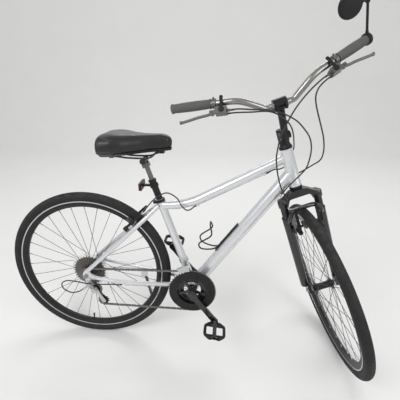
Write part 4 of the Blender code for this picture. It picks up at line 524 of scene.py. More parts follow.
def bead_line(start, along, radius, other_start, other_along, other_radius):
    """Closed line where one tube's surface meets another's."""
    along, other = Vector(along).normalized(), Vector(other_along).normalized()
    across = along.orthogonal().normalized()
    over = along.cross(across)
    line = []
    for index in range(BEAD_STEPS):
        turn = 2 * math.pi * index / BEAD_STEPS
        point = Vector(start) + (across * math.cos(turn) + over * math.sin(turn)) * radius
        gap = point - Vector(other_start)
        flat_gap = gap - other * gap.dot(other)
        flat_way = along - other * along.dot(other)
        a = flat_way.length_squared
        b = 2 * flat_gap.dot(flat_way)
        c = flat_gap.length_squared - other_radius ** 2
        root = math.sqrt(max(b * b - 4 * a * c, 0.0))
        line.append(point + along * ((-b + root) / (2 * a)))
    return line


def weld(shape, line, size=0.0017):
    """Stacked weld bead along a closed line."""
    finer = []
    for first, second in zip(line, line[1:] + line[:1]):
        finer += [first, first.lerp(second, 0.5)]
    count = len(finer)
    sweep(shape, finer, lambda share: size * (1 + 0.18 * math.sin(
        2 * math.pi * BEAD_RIPPLES * share * (count - 1) / count)), 8, closed=True)


# Wheels

TYRE_RADIUS = 0.350
TYRE_HALF_WIDTH = 0.019
RIM_OUTER_RADIUS = 0.3152
RIM_INNER_RADIUS = 0.2880
RIM_HALF_WIDTH = 0.0122
SPOKES = 32
SPOKE_CROSS_STEPS = 3
SPOKE_CIRCLE = 0.0210
FLANGE_RADIUS = 0.0240
FLANGE_THICKNESS = 0.0034
REAR_AXLE = Vector((0, 0, TYRE_RADIUS))
FRONT_AXLE = Vector((0.0430, 0, 0))
TREAD_PITCHES = 110
STEPS_PER_PITCH = 6
TREAD_DEPTH = 0.0011
TREAD_EDGE = 54.0
TYRE_FOOT = ((0.3157, 0.0108), (0.3166, 0.0132))


def tread_drop(across, step):
    """How far the tread is cut in at an angle across it and a step along it."""
    reach = abs(across)
    if reach > TREAD_EDGE:
        ridge = 0.0003 if 66 < reach < 70 or 96 < reach < 101 else 0.0
        return 0.0006 - ridge
    if 13 <= reach < 17 or 33 <= reach < 37:
        return TREAD_DEPTH
    row = 0 if reach < 13 else 1 if reach < 33 else 2
    slant = round(reach / 9)
    place = (step + slant + (3 if across > 0 else 0) + 2 * row) % STEPS_PER_PITCH
    if row == 0:
        return TREAD_DEPTH * 0.6 if place == 0 else 0.0
    return TREAD_DEPTH if place in (0, 1) else 0.0


def beside_wheel(centre, radius, turn, side):
    return Vector((centre[0] + radius * math.cos(turn), centre[1] + side,
                   centre[2] + radius * math.sin(turn)))


def tyre(centre):
    """Tyre with rows of slanted blocks and plain sidewalls that end at the rim's hooks."""
    middle = TYRE_RADIUS - TYRE_HALF_WIDTH
    shape = bmesh.new()
    count = TREAD_PITCHES * STEPS_PER_PITCH
    rings = []
    for step in range(count):
        section = [(reach, -half) for reach, half in TYRE_FOOT]
        for across in range(-116, 117, 4):
            size = TYRE_HALF_WIDTH - tread_drop(across, step)
            section.append((middle + size * math.cos(math.radians(across)),
                            size * math.sin(math.radians(across))))
        section += [(reach, half) for reach, half in TYRE_FOOT[::-1]]
        turn = 2 * math.pi * step / count
        rings.append([shape.verts.new(beside_wheel(centre, reach, turn, side))
                      for reach, side in section])
    skin(shape, rings, closed=True)
    return shape


def rim(centre):
    wall = RIM_HALF_WIDTH
    top, deep = RIM_OUTER_RADIUS, RIM_INNER_RADIUS
    half = [(wall * 0.86, top), (wall, top - 0.0008), (wall, top - 0.0022),
            (wall - 0.0004, top - 0.0026), (wall - 0.0004, top - 0.0116),
            (wall, top - 0.0120), (wall, top - 0.0140), (wall * 0.82, top - 0.0175),
            (wall * 0.50, deep + 0.0024), (wall * 0.40, deep)]
    profile = half + [(-across, radius) for across, radius in half[::-1]]
    shape = bmesh.new()
    turned(shape, profile + [profile[0]], centre, ACROSS, 144)
    return shape


def brake_track(centre):
    """Bright machined bands at the edges of the rim."""
    top = RIM_OUTER_RADIUS
    low, high = RIM_HALF_WIDTH - 0.0006, RIM_HALF_WIDTH + 0.0003
    shape = bmesh.new()
    for side in (-1, 1):
        turned(shape, [(side * low, top - 0.0004), (side * high, top - 0.0006),
                       (side * high, top - 0.0050), (side * low, top - 0.0052),
                       (side * low, top - 0.0004)], centre, ACROSS, 144)
    return shape


def lacing(centre, right_flange, left_flange):
    """Crossed spokes with hooked heads, and their nipples."""
    wires, nipples = bmesh.new(), bmesh.new()
    for index in range(SPOKES):
        flange = right_flange if index % 2 else left_flange
        leading = 1 if (index // 2) % 2 else -1
        at_rim = 2 * math.pi * index / SPOKES
        at_hub = at_rim + leading * SPOKE_CROSS_STEPS * 4 * math.pi / SPOKES
        side = flange + leading * (FLANGE_THICKNESS / 2 + 0.0009)
        tip = beside_wheel(centre, RIM_INNER_RADIUS - 0.0008, at_rim, flange * 0.03)
        foot = beside_wheel(centre, SPOKE_CIRCLE, at_hub, side)
        hook = beside_wheel(centre, SPOKE_CIRCLE, at_hub, side - leading * FLANGE_THICKNESS)
        sweep(wires, (hook, foot.lerp(hook, 0.2), foot.lerp(tip, 0.012), tip), 0.0010, 8)
        inward = (foot - tip).normalized()
        rod(nipples, tip + inward * 0.0010, tip + inward * 0.0125, 0.0022, 0.0018, 8)
    return wires, nipples


def hub(centre, right_flange, left_flange, right_end, left_end, right_radius, left_radius):
    """Hub shell with a waisted barrel and two flanges."""
    half = FLANGE_THICKNESS / 2
    middle = (right_flange + left_flange) / 2
    profile = [(right_end, 0.0056), (right_end, right_radius - 0.0006),
               (right_end + 0.0006, right_radius), (right_flange - half, right_radius),
               (right_flange - half, FLANGE_RADIUS - 0.0008), (right_flange, FLANGE_RADIUS),
               (right_flange + half, FLANGE_RADIUS - 0.0008), (right_flange + half, 0.0160),
               (right_flange + half + 0.006, 0.0142), (middle, 0.0132),
               (left_flange - half - 0.006, 0.0142), (left_flange - half, 0.0160),
               (left_flange - half, FLANGE_RADIUS - 0.0008), (left_flange, FLANGE_RADIUS),
               (left_flange + half, FLANGE_RADIUS - 0.0008), (left_flange + half, left_radius),
               (left_end - 0.0006, left_radius), (left_end, left_radius - 0.0006),
               (left_end, 0.0056), (right_end, 0.0056)]
    shape = bmesh.new()
    turned(shape, profile, centre, ACROSS, 56)
    return shape


def valve(centre, turn):
    """Valve stem with a plain cap, from the rim towards the hub."""
    shape = bmesh.new()
    start = beside_wheel(centre, RIM_INNER_RADIUS + 0.001, turn, 0)
    inward = (Vector(centre) - start).normalized()
    turned(shape, [(0, 0.0030), (0.016, 0.0030), (0.0162, 0.0026), (0.019, 0.0026),
                   (0.0192, 0.0038), (0.028, 0.0038), (0.030, 0.0026)], start, inward, 20)
    return shape


def wheel(name, centre, place, body, flanges, ends, right_radius, valve_turn):
    wires, nipples = lacing(centre, *flanges)
    barrel = hub(centre, *flanges, *ends, right_radius, 0.0120)
    for part, shape, look, slot, solids, sharp in (
            ("tread_and_sidewall", tyre(centre), TYRE_RUBBER, "tyre", ("tyre",), 30.0),
            ("rim_section", rim(centre), BLACK_ALLOY, "black_alloy", ("rim",), 28.0),
            ("brake_track", brake_track(centre), SILVER_ALLOY, "silver_alloy", (), 28.0),
            ("spokes", wires, DARK_STEEL, "steel", ("hub_spokes",), 38.0),
            ("nipples", nipples, STEEL, "steel", (), 38.0),
            ("hub_shell", barrel, BLACK_ALLOY, "steel", (), 38.0),
            ("valve", valve(centre, valve_turn), BLACK_PLASTIC, "black_plastic", (), 38.0)):
        piece(f"{name}_{part}", shape, place, look, body, slot,
              [f"{name}_{solid}" for solid in solids], sharp)


wheel("rear", REAR_AXLE, BIKE, "rear_wheel", (-0.0200, 0.0340), (-0.0590, 0.0580), 0.0160,
      math.radians(-95.6))
wheel("front", FRONT_AXLE, STEER, "front_wheel", (-0.0320, 0.0320), (-0.0430, 0.0430), 0.0120,
      math.radians(39.4))


# Frame

BRACKET = Vector((0.447, 0, 0.2875))
SEAT_AXIS = Vector((-math.cos(SEAT_ANGLE), 0, math.sin(SEAT_ANGLE)))
STEER_AXIS = Vector((-math.cos(HEAD_ANGLE), 0, math.sin(HEAD_ANGLE)))
HEAD_TUBE_RADIUS = 0.0240
HEAD_TUBE_BOTTOM = 0.4407
HEAD_TUBE_LENGTH = 0.1456
TOP_TUBE_RADIUS = 0.0180
DOWN_TUBE_RADIUS = 0.0225
SEAT_TUBE_RADIUS = 0.0160
SEAT_TUBE_LENGTH = 0.4150
STAY_DIRECTION = Vector((0.7354, 0, 0.6777)).normalized()
STAY_OUTWARD = Vector((-STAY_DIRECTION.z, 0, STAY_DIRECTION.x))
TOP_TUBE_BENDS = ((0.395, 0, 0.660), (0.455, 0, 0.6765), (0.520, 0, 0.709))
DOWN_STOP_TURN = math.radians(17)


def seat_point(height):
    return BRACKET + SEAT_AXIS * height


def head_point(height):
    return STEER_FOOT + STEER_AXIS * height


def stay_point(distance, side):
    point = REAR_AXLE + STAY_DIRECTION * distance + STAY_OUTWARD * 0.0120
    point.y = side
    return point


def under_stop(start, end, reach, tube_radius, turn=0.0):
    """Place and direction of a cable stop below a tube."""
    run = (Vector(end) - Vector(start)).normalized()
    under = Vector((run.z, 0, -run.x)) * math.cos(turn) + ACROSS * math.sin(turn)
    return Vector(start) + run * reach + under * (tube_radius + 0.0040), run


TOP_TUBE_START = seat_point(0.3870)
TOP_TUBE_END = head_point(0.5530)
DOWN_TUBE_END = head_point(0.4930)
STOPS = (under_stop(TOP_TUBE_BENDS[2], TOP_TUBE_END, 0.215, TOP_TUBE_RADIUS),
         under_stop(TOP_TUBE_BENDS[1], TOP_TUBE_BENDS[2], 0.004, TOP_TUBE_RADIUS),
         under_stop(BRACKET, DOWN_TUBE_END, 0.540, DOWN_TUBE_RADIUS, -DOWN_STOP_TURN),
         under_stop(BRACKET, DOWN_TUBE_END, 0.540, DOWN_TUBE_RADIUS, DOWN_STOP_TURN))


def dropout(shape, side):
    outline = [(-0.013, 0.344), (-0.013, 0.356), (-0.0095, 0.366), (-0.004, 0.374),
               (0.003, 0.382), (0.012, 0.388), (0.020, 0.387), (0.024, 0.382), (0.0215, 0.374),
               (0.020, 0.366), (0.030, 0.3585), (0.040, 0.352), (0.044, 0.345), (0.044, 0.338),
               (0.038, 0.334), (0.030, 0.334), (0.016, 0.336)]
    if side < 0:
        outline += [(0.018, 0.320), (0.014, 0.314), (0.008, 0.312), (0.002, 0.313),
                    (-0.002, 0.318), (-0.006, 0.334)]
    plate(shape, outline, 0.0050,
          Matrix.Translation((0, side * 0.0700, 0)) @ PLATE_FACING_SIDEWAYS)


def frame_tubes():
    shape = bmesh.new()
    low, high = head_point(HEAD_TUBE_BOTTOM), head_point(HEAD_TUBE_BOTTOM + HEAD_TUBE_LENGTH)
    waist = HEAD_TUBE_RADIUS - 0.0008
    turned(shape, [(0, 0.0150), (0, HEAD_TUBE_RADIUS), (0.010, HEAD_TUBE_RADIUS), (0.013, waist),
                   (HEAD_TUBE_LENGTH - 0.013, waist), (HEAD_TUBE_LENGTH - 0.010, HEAD_TUBE_RADIUS),
                   (HEAD_TUBE_LENGTH, HEAD_TUBE_RADIUS), (HEAD_TUBE_LENGTH, 0.0150),
                   (0, 0.0150)], low, high - low, 56)
    sweep(shape, eased([TOP_TUBE_START, *TOP_TUBE_BENDS, TOP_TUBE_END], 10), TOP_TUBE_RADIUS, 40)
    sweep(shape, (BRACKET, DOWN_TUBE_END), DOWN_TUBE_RADIUS, 44)
    turned(shape, [(0, 0.0130), (0, SEAT_TUBE_RADIUS), (SEAT_TUBE_LENGTH, SEAT_TUBE_RADIUS),
                   (SEAT_TUBE_LENGTH, 0.0139), (0, 0.0130)], BRACKET, SEAT_AXIS, 40)
    collar(shape, BRACKET, ACROSS, (-0.0340, 0.0340), 0.0175, 0.0205, 48, (0.0005, 0.0010))
    for side in (-1, 1):
        chain_line = [(0.018, 0.0700, 0.3540), (0.05, 0.0700, 0.341), (0.14, 0.0660, 0.3265),
                      (0.25, 0.0550, 0.3150), (0.33, 0.0400, 0.3060), (0.39, 0.0285, 0.2975),
                      (0.44, 0.0215, 0.2890)]
        sweep(shape, eased([(x, side * y, z) for x, y, z in chain_line], 6), 0.0085, 28)
        seat_line = [(0.020, 0.0700), (0.140, 0.0620), (0.277, 0.0475), (0.365, 0.0350),
                     (0.436, 0.0120)]
        sweep(shape, eased([stay_point(t, side * y) for t, y in seat_line], 7), 0.0090, 28)
        dropout(shape, side)
        post = stay_point(0.277, side * 0.0400)
        rod(shape, post, post + STAY_OUTWARD * 0.031, 0.0050)
        rod(shape, post, post + STAY_OUTWARD * 0.014, 0.0078, 0.0070)
    rod(shape, stay_point(0.366, -0.034), stay_point(0.366, 0.034), 0.0060)
    block(shape, (0.2150, 0.0585, 0.2980), (0.030, 0.006, 0.052))
    for centre, run in STOPS:
        collar(shape, centre, run, (-0.006, 0.006), 0.0031, 0.0050, 24)
    return shape


def frame_welds():
    """Beads where the tubes meet."""
    shape = bmesh.new()
    joint = HEAD_TUBE_RADIUS - 0.0006
    weld(shape, bead_line(TOP_TUBE_END, Vector(TOP_TUBE_BENDS[2]) - TOP_TUBE_END, TOP_TUBE_RADIUS,
                          TOP_TUBE_END, STEER_AXIS, joint))
    weld(shape, bead_line(DOWN_TUBE_END, BRACKET - DOWN_TUBE_END, DOWN_TUBE_RADIUS,
                          DOWN_TUBE_END, STEER_AXIS, joint))
    weld(shape, bead_line(BRACKET, DOWN_TUBE_END - BRACKET, DOWN_TUBE_RADIUS, BRACKET, ACROSS,
                          0.0205), 0.0014)
    weld(shape, bead_line(BRACKET, SEAT_AXIS, SEAT_TUBE_RADIUS, BRACKET, ACROSS, 0.0205), 0.0014)
    weld(shape, bead_line(TOP_TUBE_START, Vector(TOP_TUBE_BENDS[0]) - TOP_TUBE_START,
                          TOP_TUBE_RADIUS, TOP_TUBE_START, SEAT_AXIS, SEAT_TUBE_RADIUS), 0.0014)
    return shape


piece("frame_tubes", frame_tubes(), BIKE, SILVER_PAINT, "frame", "silver_paint", ("frame",))
piece("frame_welds", frame_welds(), BIKE, SILVER_PAINT, "frame", "silver_paint", sharp=180.0)


# Fork, in steering coordinates

LEG_OFFSET = 0.0180
LEG_HALF_SPACE = 0.0660
LOWER_TOP = 0.3300
LUG_BOTTOM = 0.3760
LUG_TOP = 0.4020
CROWN_BOTTOM = 0.4000
CROWN_TOP = 0.4280
STEM_TOP = 0.6560
BRAKE_POST_HEIGHT = 0.27849
BRAKE_POST_END = 0.0750
BRAKE_POST_SIDE = 0.0400


def crown():
    shape = bmesh.new()
    reach = LEG_HALF_SPACE + 0.014
    half = [(0.016, CROWN_TOP), (0.030, CROWN_TOP - 0.002), (0.060, LUG_TOP + 0.004),
            (reach - 0.004, LUG_TOP + 0.001), (reach, LUG_TOP - 0.004),
            (reach, LUG_BOTTOM + 0.006), (reach - 0.004, LUG_BOTTOM + 0.002),
            (0.050, LUG_BOTTOM + 0.002), (0.047, LUG_BOTTOM + 0.006), (0.040, CROWN_BOTTOM - 0.002),
            (0.030, CROWN_BOTTOM)]
    outline = half + [(-y, z) for y, z in half[::-1]]
    plate(shape, outline, 0.036, Matrix.Translation((LEG_OFFSET - 0.006, 0, 0))
          @ PLATE_FACING_FORWARD)
    for side in (-1, 1):
        turned(shape, [(0, 0.0146), (0, 0.0172), (0.002, 0.0185), (0.023, 0.0185), (0.026, 0.0172),
                       (0.0275, 0.0140)], (LEG_OFFSET, side * LEG_HALF_SPACE, LUG_BOTTOM),
               UPRIGHT, 48)
        cap_bolt(shape, (LEG_OFFSET, side * LEG_HALF_SPACE, LUG_TOP + 0.0008), UPRIGHT, 0.0085,
                 0.0020)
    return shape


def crown_column():
    """Steerer and the lower bearing cup."""
    shape = bmesh.new()
    rod(shape, (0, 0, CROWN_BOTTOM + 0.005), (0, 0, STEM_TOP), 0.0143, sides=32)
    turned(shape, [(CROWN_TOP - 0.004, 0.0143), (CROWN_TOP - 0.004, 0.0225),
                   (CROWN_TOP + 0.001, 0.0236), (CROWN_TOP + 0.0075, 0.0240),
                   (HEAD_TUBE_BOTTOM - 0.0022, 0.0240), (HEAD_TUBE_BOTTOM - 0.0012, 0.0232),
                   (HEAD_TUBE_BOTTOM - 0.0005, 0.0240), (HEAD_TUBE_BOTTOM - 0.0004, 0.0143)],
           (0, 0, 0), UPRIGHT, 48)
    return shape


def stanchions():
    shape = bmesh.new()
    for side in (-1, 1):
        rod(shape, (LEG_OFFSET, side * LEG_HALF_SPACE, LOWER_TOP - 0.045),
            (LEG_OFFSET, side * LEG_HALF_SPACE, LUG_BOTTOM + 0.004), 0.0140, sides=40)
    return shape


def lowers():
    shape = bmesh.new()
    for side in (-1, 1):
        y = side * LEG_HALF_SPACE
        turned(shape, [(0.0080, 0.0080), (0.0086, 0.0130), (0.0120, 0.0148), (0.0200, 0.0153),
                       (0.2500, 0.0174), (0.3020, 0.0178), (0.3060, 0.0180), (0.3290, 0.0180),
                       (0.3300, 0.0174), (0.3300, 0.0146), (0.2300, 0.0146)],
               (LEG_OFFSET, y, 0), UPRIGHT, 44)
        block(shape, (0.0330, side * 0.0560, 0.0020), (0.036, 0.012, 0.034))
        block(shape, (0.0300, side * 0.0470, BRAKE_POST_HEIGHT), (0.026, 0.026, 0.018))
        rod(shape, (0.030, side * BRAKE_POST_SIDE, BRAKE_POST_HEIGHT),
            (BRAKE_POST_END, side * BRAKE_POST_SIDE, BRAKE_POST_HEIGHT), 0.0050)
    half = [(0.0320, 0.0640, 0.3160), (0.0490, 0.0590, 0.3360), (0.0525, 0.0500, 0.3560),
            (0.0530, 0.0380, 0.3650), (0.0530, 0, 0.3680)]
    sweep(shape, eased([(x, y, z) for x, y, z in half] + [(x, -y, z) for x, y, z in half[-2::-1]],
                       8), 0.0085, 24, up=FORWARD)
    return shape


def wiper_seals():
    shape = bmesh.new()
    for side in (-1, 1):
        turned(shape, [(-0.0010, 0.0181), (-0.0010, 0.0186), (0.0020, 0.0186), (0.0030, 0.0172),
                       (0.0042, 0.0160), (0.0054, 0.0146), (0.0054, 0.0142), (-0.0010, 0.0142)],
               (LEG_OFFSET, side * LEG_HALF_SPACE, LOWER_TOP), UPRIGHT, 44)
    return shape


piece("fork_crown_casting", crown(), STEER, BLACK_PAINT, "steering", "black_paint",
      ("fork_crown",), edge=0.0022, segments=3)
piece("fork_column", crown_column(), STEER, BLACK_ALLOY, "steering", "black_paint")
piece("fork_stanchions", stanchions(), STEER, DARK_STEEL, "steering", "steel")
piece("fork_lower_casting", lowers(), STEER, BLACK_PAINT, "fork_lowers", "black_paint",
      ("fork_lowers",), edge=0.0012, segments=3)
piece("fork_seals", wiper_seals(), STEER, TYRE_RUBBER, "fork_lowers", "black_plastic")


# Stem and handlebar, in steering coordinates

STEM_PIVOT = (0.0345, 0.6400)
BAR_CLAMP = (0.0660, 0.7513)
BAR_RADIUS = 0.0111
BAR_HALF_WIDTH = 0.3360
BAR_STRAIGHT = 0.0450
BAR_RISE = 0.0570
BAR_RISE_END = 0.1250
BAR_SWEEP_START = 0.0900
BAR_SWEEP_EASE = 0.0400
BAR_BACKSWEEP = math.radians(20.0)
BAR_UPSWEEP = math.radians(4.5)
BEND_EASE = 0.034
BEND_EASE_INNER = 0.036
BEND_EASE_OUTER = 0.185
GRIP_LENGTH = 0.1250
GRIP_RADIUS = 0.0165
LEVEL_FORWARD = Vector((math.sin(HEAD_ANGLE), 0, -math.cos(HEAD_ANGLE)))
LEVEL_UP = Vector((math.cos(HEAD_ANGLE), 0, math.sin(HEAD_ANGLE)))
CONTROL_DROP = math.radians(35.0)


def bar_point(y):
    """Centre of the bar at a distance to the left."""
    away = abs(y)
    share = min(max((away - BAR_STRAIGHT) / (BAR_RISE_END - BAR_STRAIGHT), 0), 1)
    up = BAR_RISE * share * share * (3 - 2 * share)
    up += max(away - BAR_RISE_END, 0) * math.tan(BAR_UPSWEEP)
    swept = max(away - BAR_SWEEP_START, 0)
    back = (swept * swept / (2 * BAR_SWEEP_EASE) if swept < BAR_SWEEP_EASE
            else swept - BAR_SWEEP_EASE / 2)
    return (Vector((BAR_CLAMP[0], y, BAR_CLAMP[1]))
            - LEVEL_FORWARD * back * math.tan(BAR_BACKSWEEP) + LEVEL_UP * up)


def smooth_bar_point(y):
    """Bar centre with its bends eased into one long curve between the clamp and the controls."""
    reach = max(min(BEND_EASE, BEND_EASE_OUTER - abs(y), abs(y) - BEND_EASE_INNER), 0)
    return sum((bar_point(y + reach * step / 4) for step in range(-4, 5)), Vector()) / 9


def bar_direction(side):
    end = bar_point(side * BAR_HALF_WIDTH)
    return (end - bar_point(side * (BAR_HALF_WIDTH - 0.05))).normalized()


def headset_top():
    low = HEAD_TUBE_BOTTOM + HEAD_TUBE_LENGTH + 0.0004
    high = STEM_TOP - 0.0440
    shape = bmesh.new()
    turned(shape, [(low, 0.0148), (low, 0.0240), (low + 0.0042, 0.0240), (low + 0.0048, 0.0233),
                   (low + 0.0056, 0.0240), (low + 0.0070, 0.0236), (high - 0.0120, 0.0196),
                   (high - 0.0100, 0.0186), (high - 0.0060, 0.0184), (high - 0.0058, 0.0176),
                   (high - 0.0050, 0.0184), (high, 0.0180), (high, 0.0148), (low, 0.0148)],
           (0, 0, 0), UPRIGHT, 48)
    return shape


def stem_base():
    """Clamp round the steerer with the two ears of the angle joint."""
    x, z = STEM_PIVOT
    low = STEM_TOP - 0.0435
    shape = bmesh.new()
    turned(shape, [(low, 0.0150), (low, 0.0192), (low + 0.001, 0.0200), (STEM_TOP - 0.001, 0.0200),
                   (STEM_TOP + 0.0015, 0.0188), (STEM_TOP + 0.003, 0.0165),
                   (STEM_TOP + 0.003, 0.0060), (STEM_TOP + 0.0016, 0.0050),
                   (STEM_TOP + 0.0016, 0.0001)], (0, 0, 0), UPRIGHT, 48)
    for side in (-1, 1):
        y = side * 0.0154
        block(shape, (x / 2 + 0.006, y, z), (x - 0.012, 0.0040, 0.026))
        turned(shape, [(-0.0020, 0.0125), (-0.0014, 0.0135), (0.0014, 0.0135), (0.0020, 0.0125)],
               (x, y, z), ACROSS, 40)
        cap_bolt(shape, (x, side * 0.0174, z), (0, side, 0), 0.0058, 0.0026)
        block(shape, (-0.0195, side * 0.0062, low + 0.0210), (0.013, 0.0085, 0.034))
    for level in (low + 0.0100, low + 0.0320):
        cap_bolt(shape, (-0.0200, -0.0104, level), (0, -1, 0), 0.0036, 0.0034)
    return shape


def stem_arm():
    x, z = STEM_PIVOT
    bar_x, bar_z = BAR_CLAMP
    foot, top = Vector((x, 0, z)), Vector((bar_x, 0, bar_z))
    along = (top - foot).normalized()
    away = along.cross(ACROSS).normalized()
    shape = bmesh.new()
    collar(shape, foot, ACROSS, (-0.0130, 0.0130), 0.0045, 0.0125, 40, (0.0007, 0.0008))
    sweep(shape, (foot, foot.lerp(top, 0.12), foot.lerp(top, 0.85), top),
          lambda share: 0.0120 + 0.0010 * share, 36, up=ACROSS)
    for start, end in ((math.pi + 0.12, 2 * math.pi - 0.12), (0.12, math.pi - 0.12)):
        half_ring(shape, top, along, away, start, end)
    for side in (-1, 1):
        for edge in (-1, 1):
            centre = top + ACROSS * side * 0.0150 + away * edge * 0.0205
            turned(shape, [(-0.0125, 0.0040), (-0.0115, 0.0046), (-0.0010, 0.0046),
                           (-0.0006, 0.0040)], centre, along, 20)
            turned(shape, [(0.0006, 0.0040), (0.0010, 0.0046), (0.0080, 0.0046), (0.0088, 0.0040)],
                   centre, along, 20)
            cap_bolt(shape, centre + along * 0.0086, along, 0.0036, 0.0034)
    return shape


def half_ring(shape, centre, along, away, start, end):
    """One half of a bar clamp, seen along the bar."""
    place = Matrix((away, along, ACROSS)).transposed().to_4x4()
    plate(shape, arc(0.0200, start, end, 24) + arc(0.0131, end, start, 24), 0.0440,
          Matrix.Translation(centre) @ place)


def bar_tube():
    shape = bmesh.new()
    count = 110
    ys = [BAR_HALF_WIDTH * (2 * index / count - 1) for index in range(count + 1)]
    sweep(shape, [smooth_bar_point(y) for y in ys], BAR_RADIUS, 32, up=UPRIGHT)
    turned(shape, [(-0.0360, BAR_RADIUS - 0.0002), (-0.0300, 0.0127), (0.0300, 0.0127),
                   (0.0360, BAR_RADIUS - 0.0002)], (BAR_CLAMP[0], 0, BAR_CLAMP[1]), ACROSS, 36)
    return shape


def grip(side):
    """Ribbed rubber grip with a collar at each end."""
    inner = bar_point(side * (BAR_HALF_WIDTH - GRIP_LENGTH))
    out = bar_direction(side)
    length = (bar_point(side * BAR_HALF_WIDTH) - inner).length + 0.004
    full, low = GRIP_RADIUS, GRIP_RADIUS - 0.0022
    profile = [(0, BAR_RADIUS + 0.0005), (0, full - 0.0008), (0.0010, full), (0.0035, full),
               (0.0045, full - 0.0010), (0.0060, low)]
    ribs = 24
    start, end = 0.0080, length - 0.0120
    for index in range(ribs):
        at = start + (end - start) * index / ribs
        pitch = (end - start) / ribs
        belly = 0.0012 * math.sin(math.pi * (index + 0.5) / ribs)
        profile += [(at, low + belly), (at + pitch * 0.22, low + belly + 0.0008),
                    (at + pitch * 0.62, low + belly + 0.0008), (at + pitch * 0.84, low + belly)]
    profile += [(length - 0.0100, low + 0.0002), (length - 0.0080, full - 0.0006),
                (length - 0.0030, full), (length - 0.0008, full - 0.0010),
                (length, full - 0.0035), (length, 0.0001)]
    shape = bmesh.new()
    turned(shape, profile, inner, out, 44)
    return shape


def control_place(side):
    """Origin on the bar; X outward along it, Y to the lever and Z across both."""
    origin = bar_point(side * (BAR_HALF_WIDTH - GRIP_LENGTH - 0.0100))
    out = bar_direction(side)
    reach = LEVEL_FORWARD * math.cos(CONTROL_DROP) - LEVEL_UP * math.sin(CONTROL_DROP)
    reach = (reach - out * reach.dot(out)).normalized()
    place = Matrix((out, reach, out.cross(reach))).transposed().to_4x4()
    return Matrix.Translation(origin) @ place


def control_body(side):
    down = -side
    shape = bmesh.new()
    collar(shape, (0, 0, 0), FORWARD, (-0.0070, 0.0070), 0.0115, 0.0165, 44, (0.0010, 0.0010))
    block(shape, (-0.0070, 0.0200, 0), (0.010, 0.020, 0.012))
    block(shape, (-0.0240, 0.0300, 0), (0.038, 0.022, 0.026))
    block(shape, (0.0020, 0.0350, down * 0.0088), (0.024, 0.014, 0.0036))
    cap_bolt(shape, (0.0060, 0.0350, down * 0.0105), (0, 0, down), 0.0042, 0.0020)
    rod(shape, (0.0060, 0.0350, down * 0.0090), (0.0060, 0.0350, down * -0.0072), 0.0030)
    cap_bolt(shape, (0, -0.0120, down * 0.0105), (0, -0.35, down), 0.0034, 0.0040)
    turned(shape, [(0, 0.0040), (0.0080, 0.0040), (0.0082, 0.0034), (0.0160, 0.0034)],
           (-0.0400, 0.0300, 0), (-1, 0, 0), 24)
    for ridge in range(4):
        turned(shape, [(0, 0.0041), (0.0002, 0.0050), (0.0014, 0.0050), (0.0016, 0.0041)],
               (-0.0435 - 0.0022 * ridge, 0.0300, 0), (-1, 0, 0), 18)
    return shape


def gear_window(side):
    """Clear window of the gear indicator, on the rider's side of the pod."""
    shape = bmesh.new()
    block(shape, (-0.0270, 0.0255, side * 0.0130), (0.020, 0.007, 0.0014))
    return shape


def brake_lever():
    """Two-finger lever blade, flattened towards its rounded tip."""
    pivot = Vector((0.0060, 0.0350, 0))
    shape = bmesh.new()
    collar(shape, pivot, UPRIGHT, (-0.0060, 0.0060), 0.0034, 0.0068, 32, (0.0006, 0.0006))
    line = eased([(0.0090, 0.0362, 0), (0.0180, 0.0382, 0), (0.0300, 0.0402, 0),
                  (0.0480, 0.0425, 0), (0.0650, 0.0458, 0), (0.0850, 0.0502, 0),
                  (0.1020, 0.0535, 0), (0.1150, 0.0553, 0)], 5)
    sweep(shape, line, lambda share: 0.0044 if share < 0.9 else 0.0044 + 0.0140 * (share - 0.9),
          20, flat=1.35, up=ACROSS)
    bmesh.ops.create_uvsphere(shape, u_segments=20, v_segments=12, radius=0.0058,
                              matrix=Matrix.Translation((0.1122, 0.0552, 0)))
    return shape


def thumb_lever(side):
    down = -side
    level = down * 0.0154
    shape = bmesh.new()
    turned(shape, [(-0.0020, 0.0080), (-0.0012, 0.0090), (0.0012, 0.0090), (0.0020, 0.0080)],
           (-0.0260, 0.0300, level), UPRIGHT, 32)
    outline = [(-0.0045, 0.004), (-0.0050, -0.020), (-0.0060, -0.040), (-0.0035, -0.0440),
               (0.0035, -0.0440), (0.0060, -0.040), (0.0045, -0.020), (0.0045, 0.004)]
    plate(shape, outline, 0.0036, Matrix.Translation((-0.0260, 0.0265, level)))
    for rib in range(4):
        block(shape, (-0.0260, -0.0160 + 0.0036 * rib, level + down * 0.0020),
              (0.0084, 0.0012, 0.0012))
    return shape


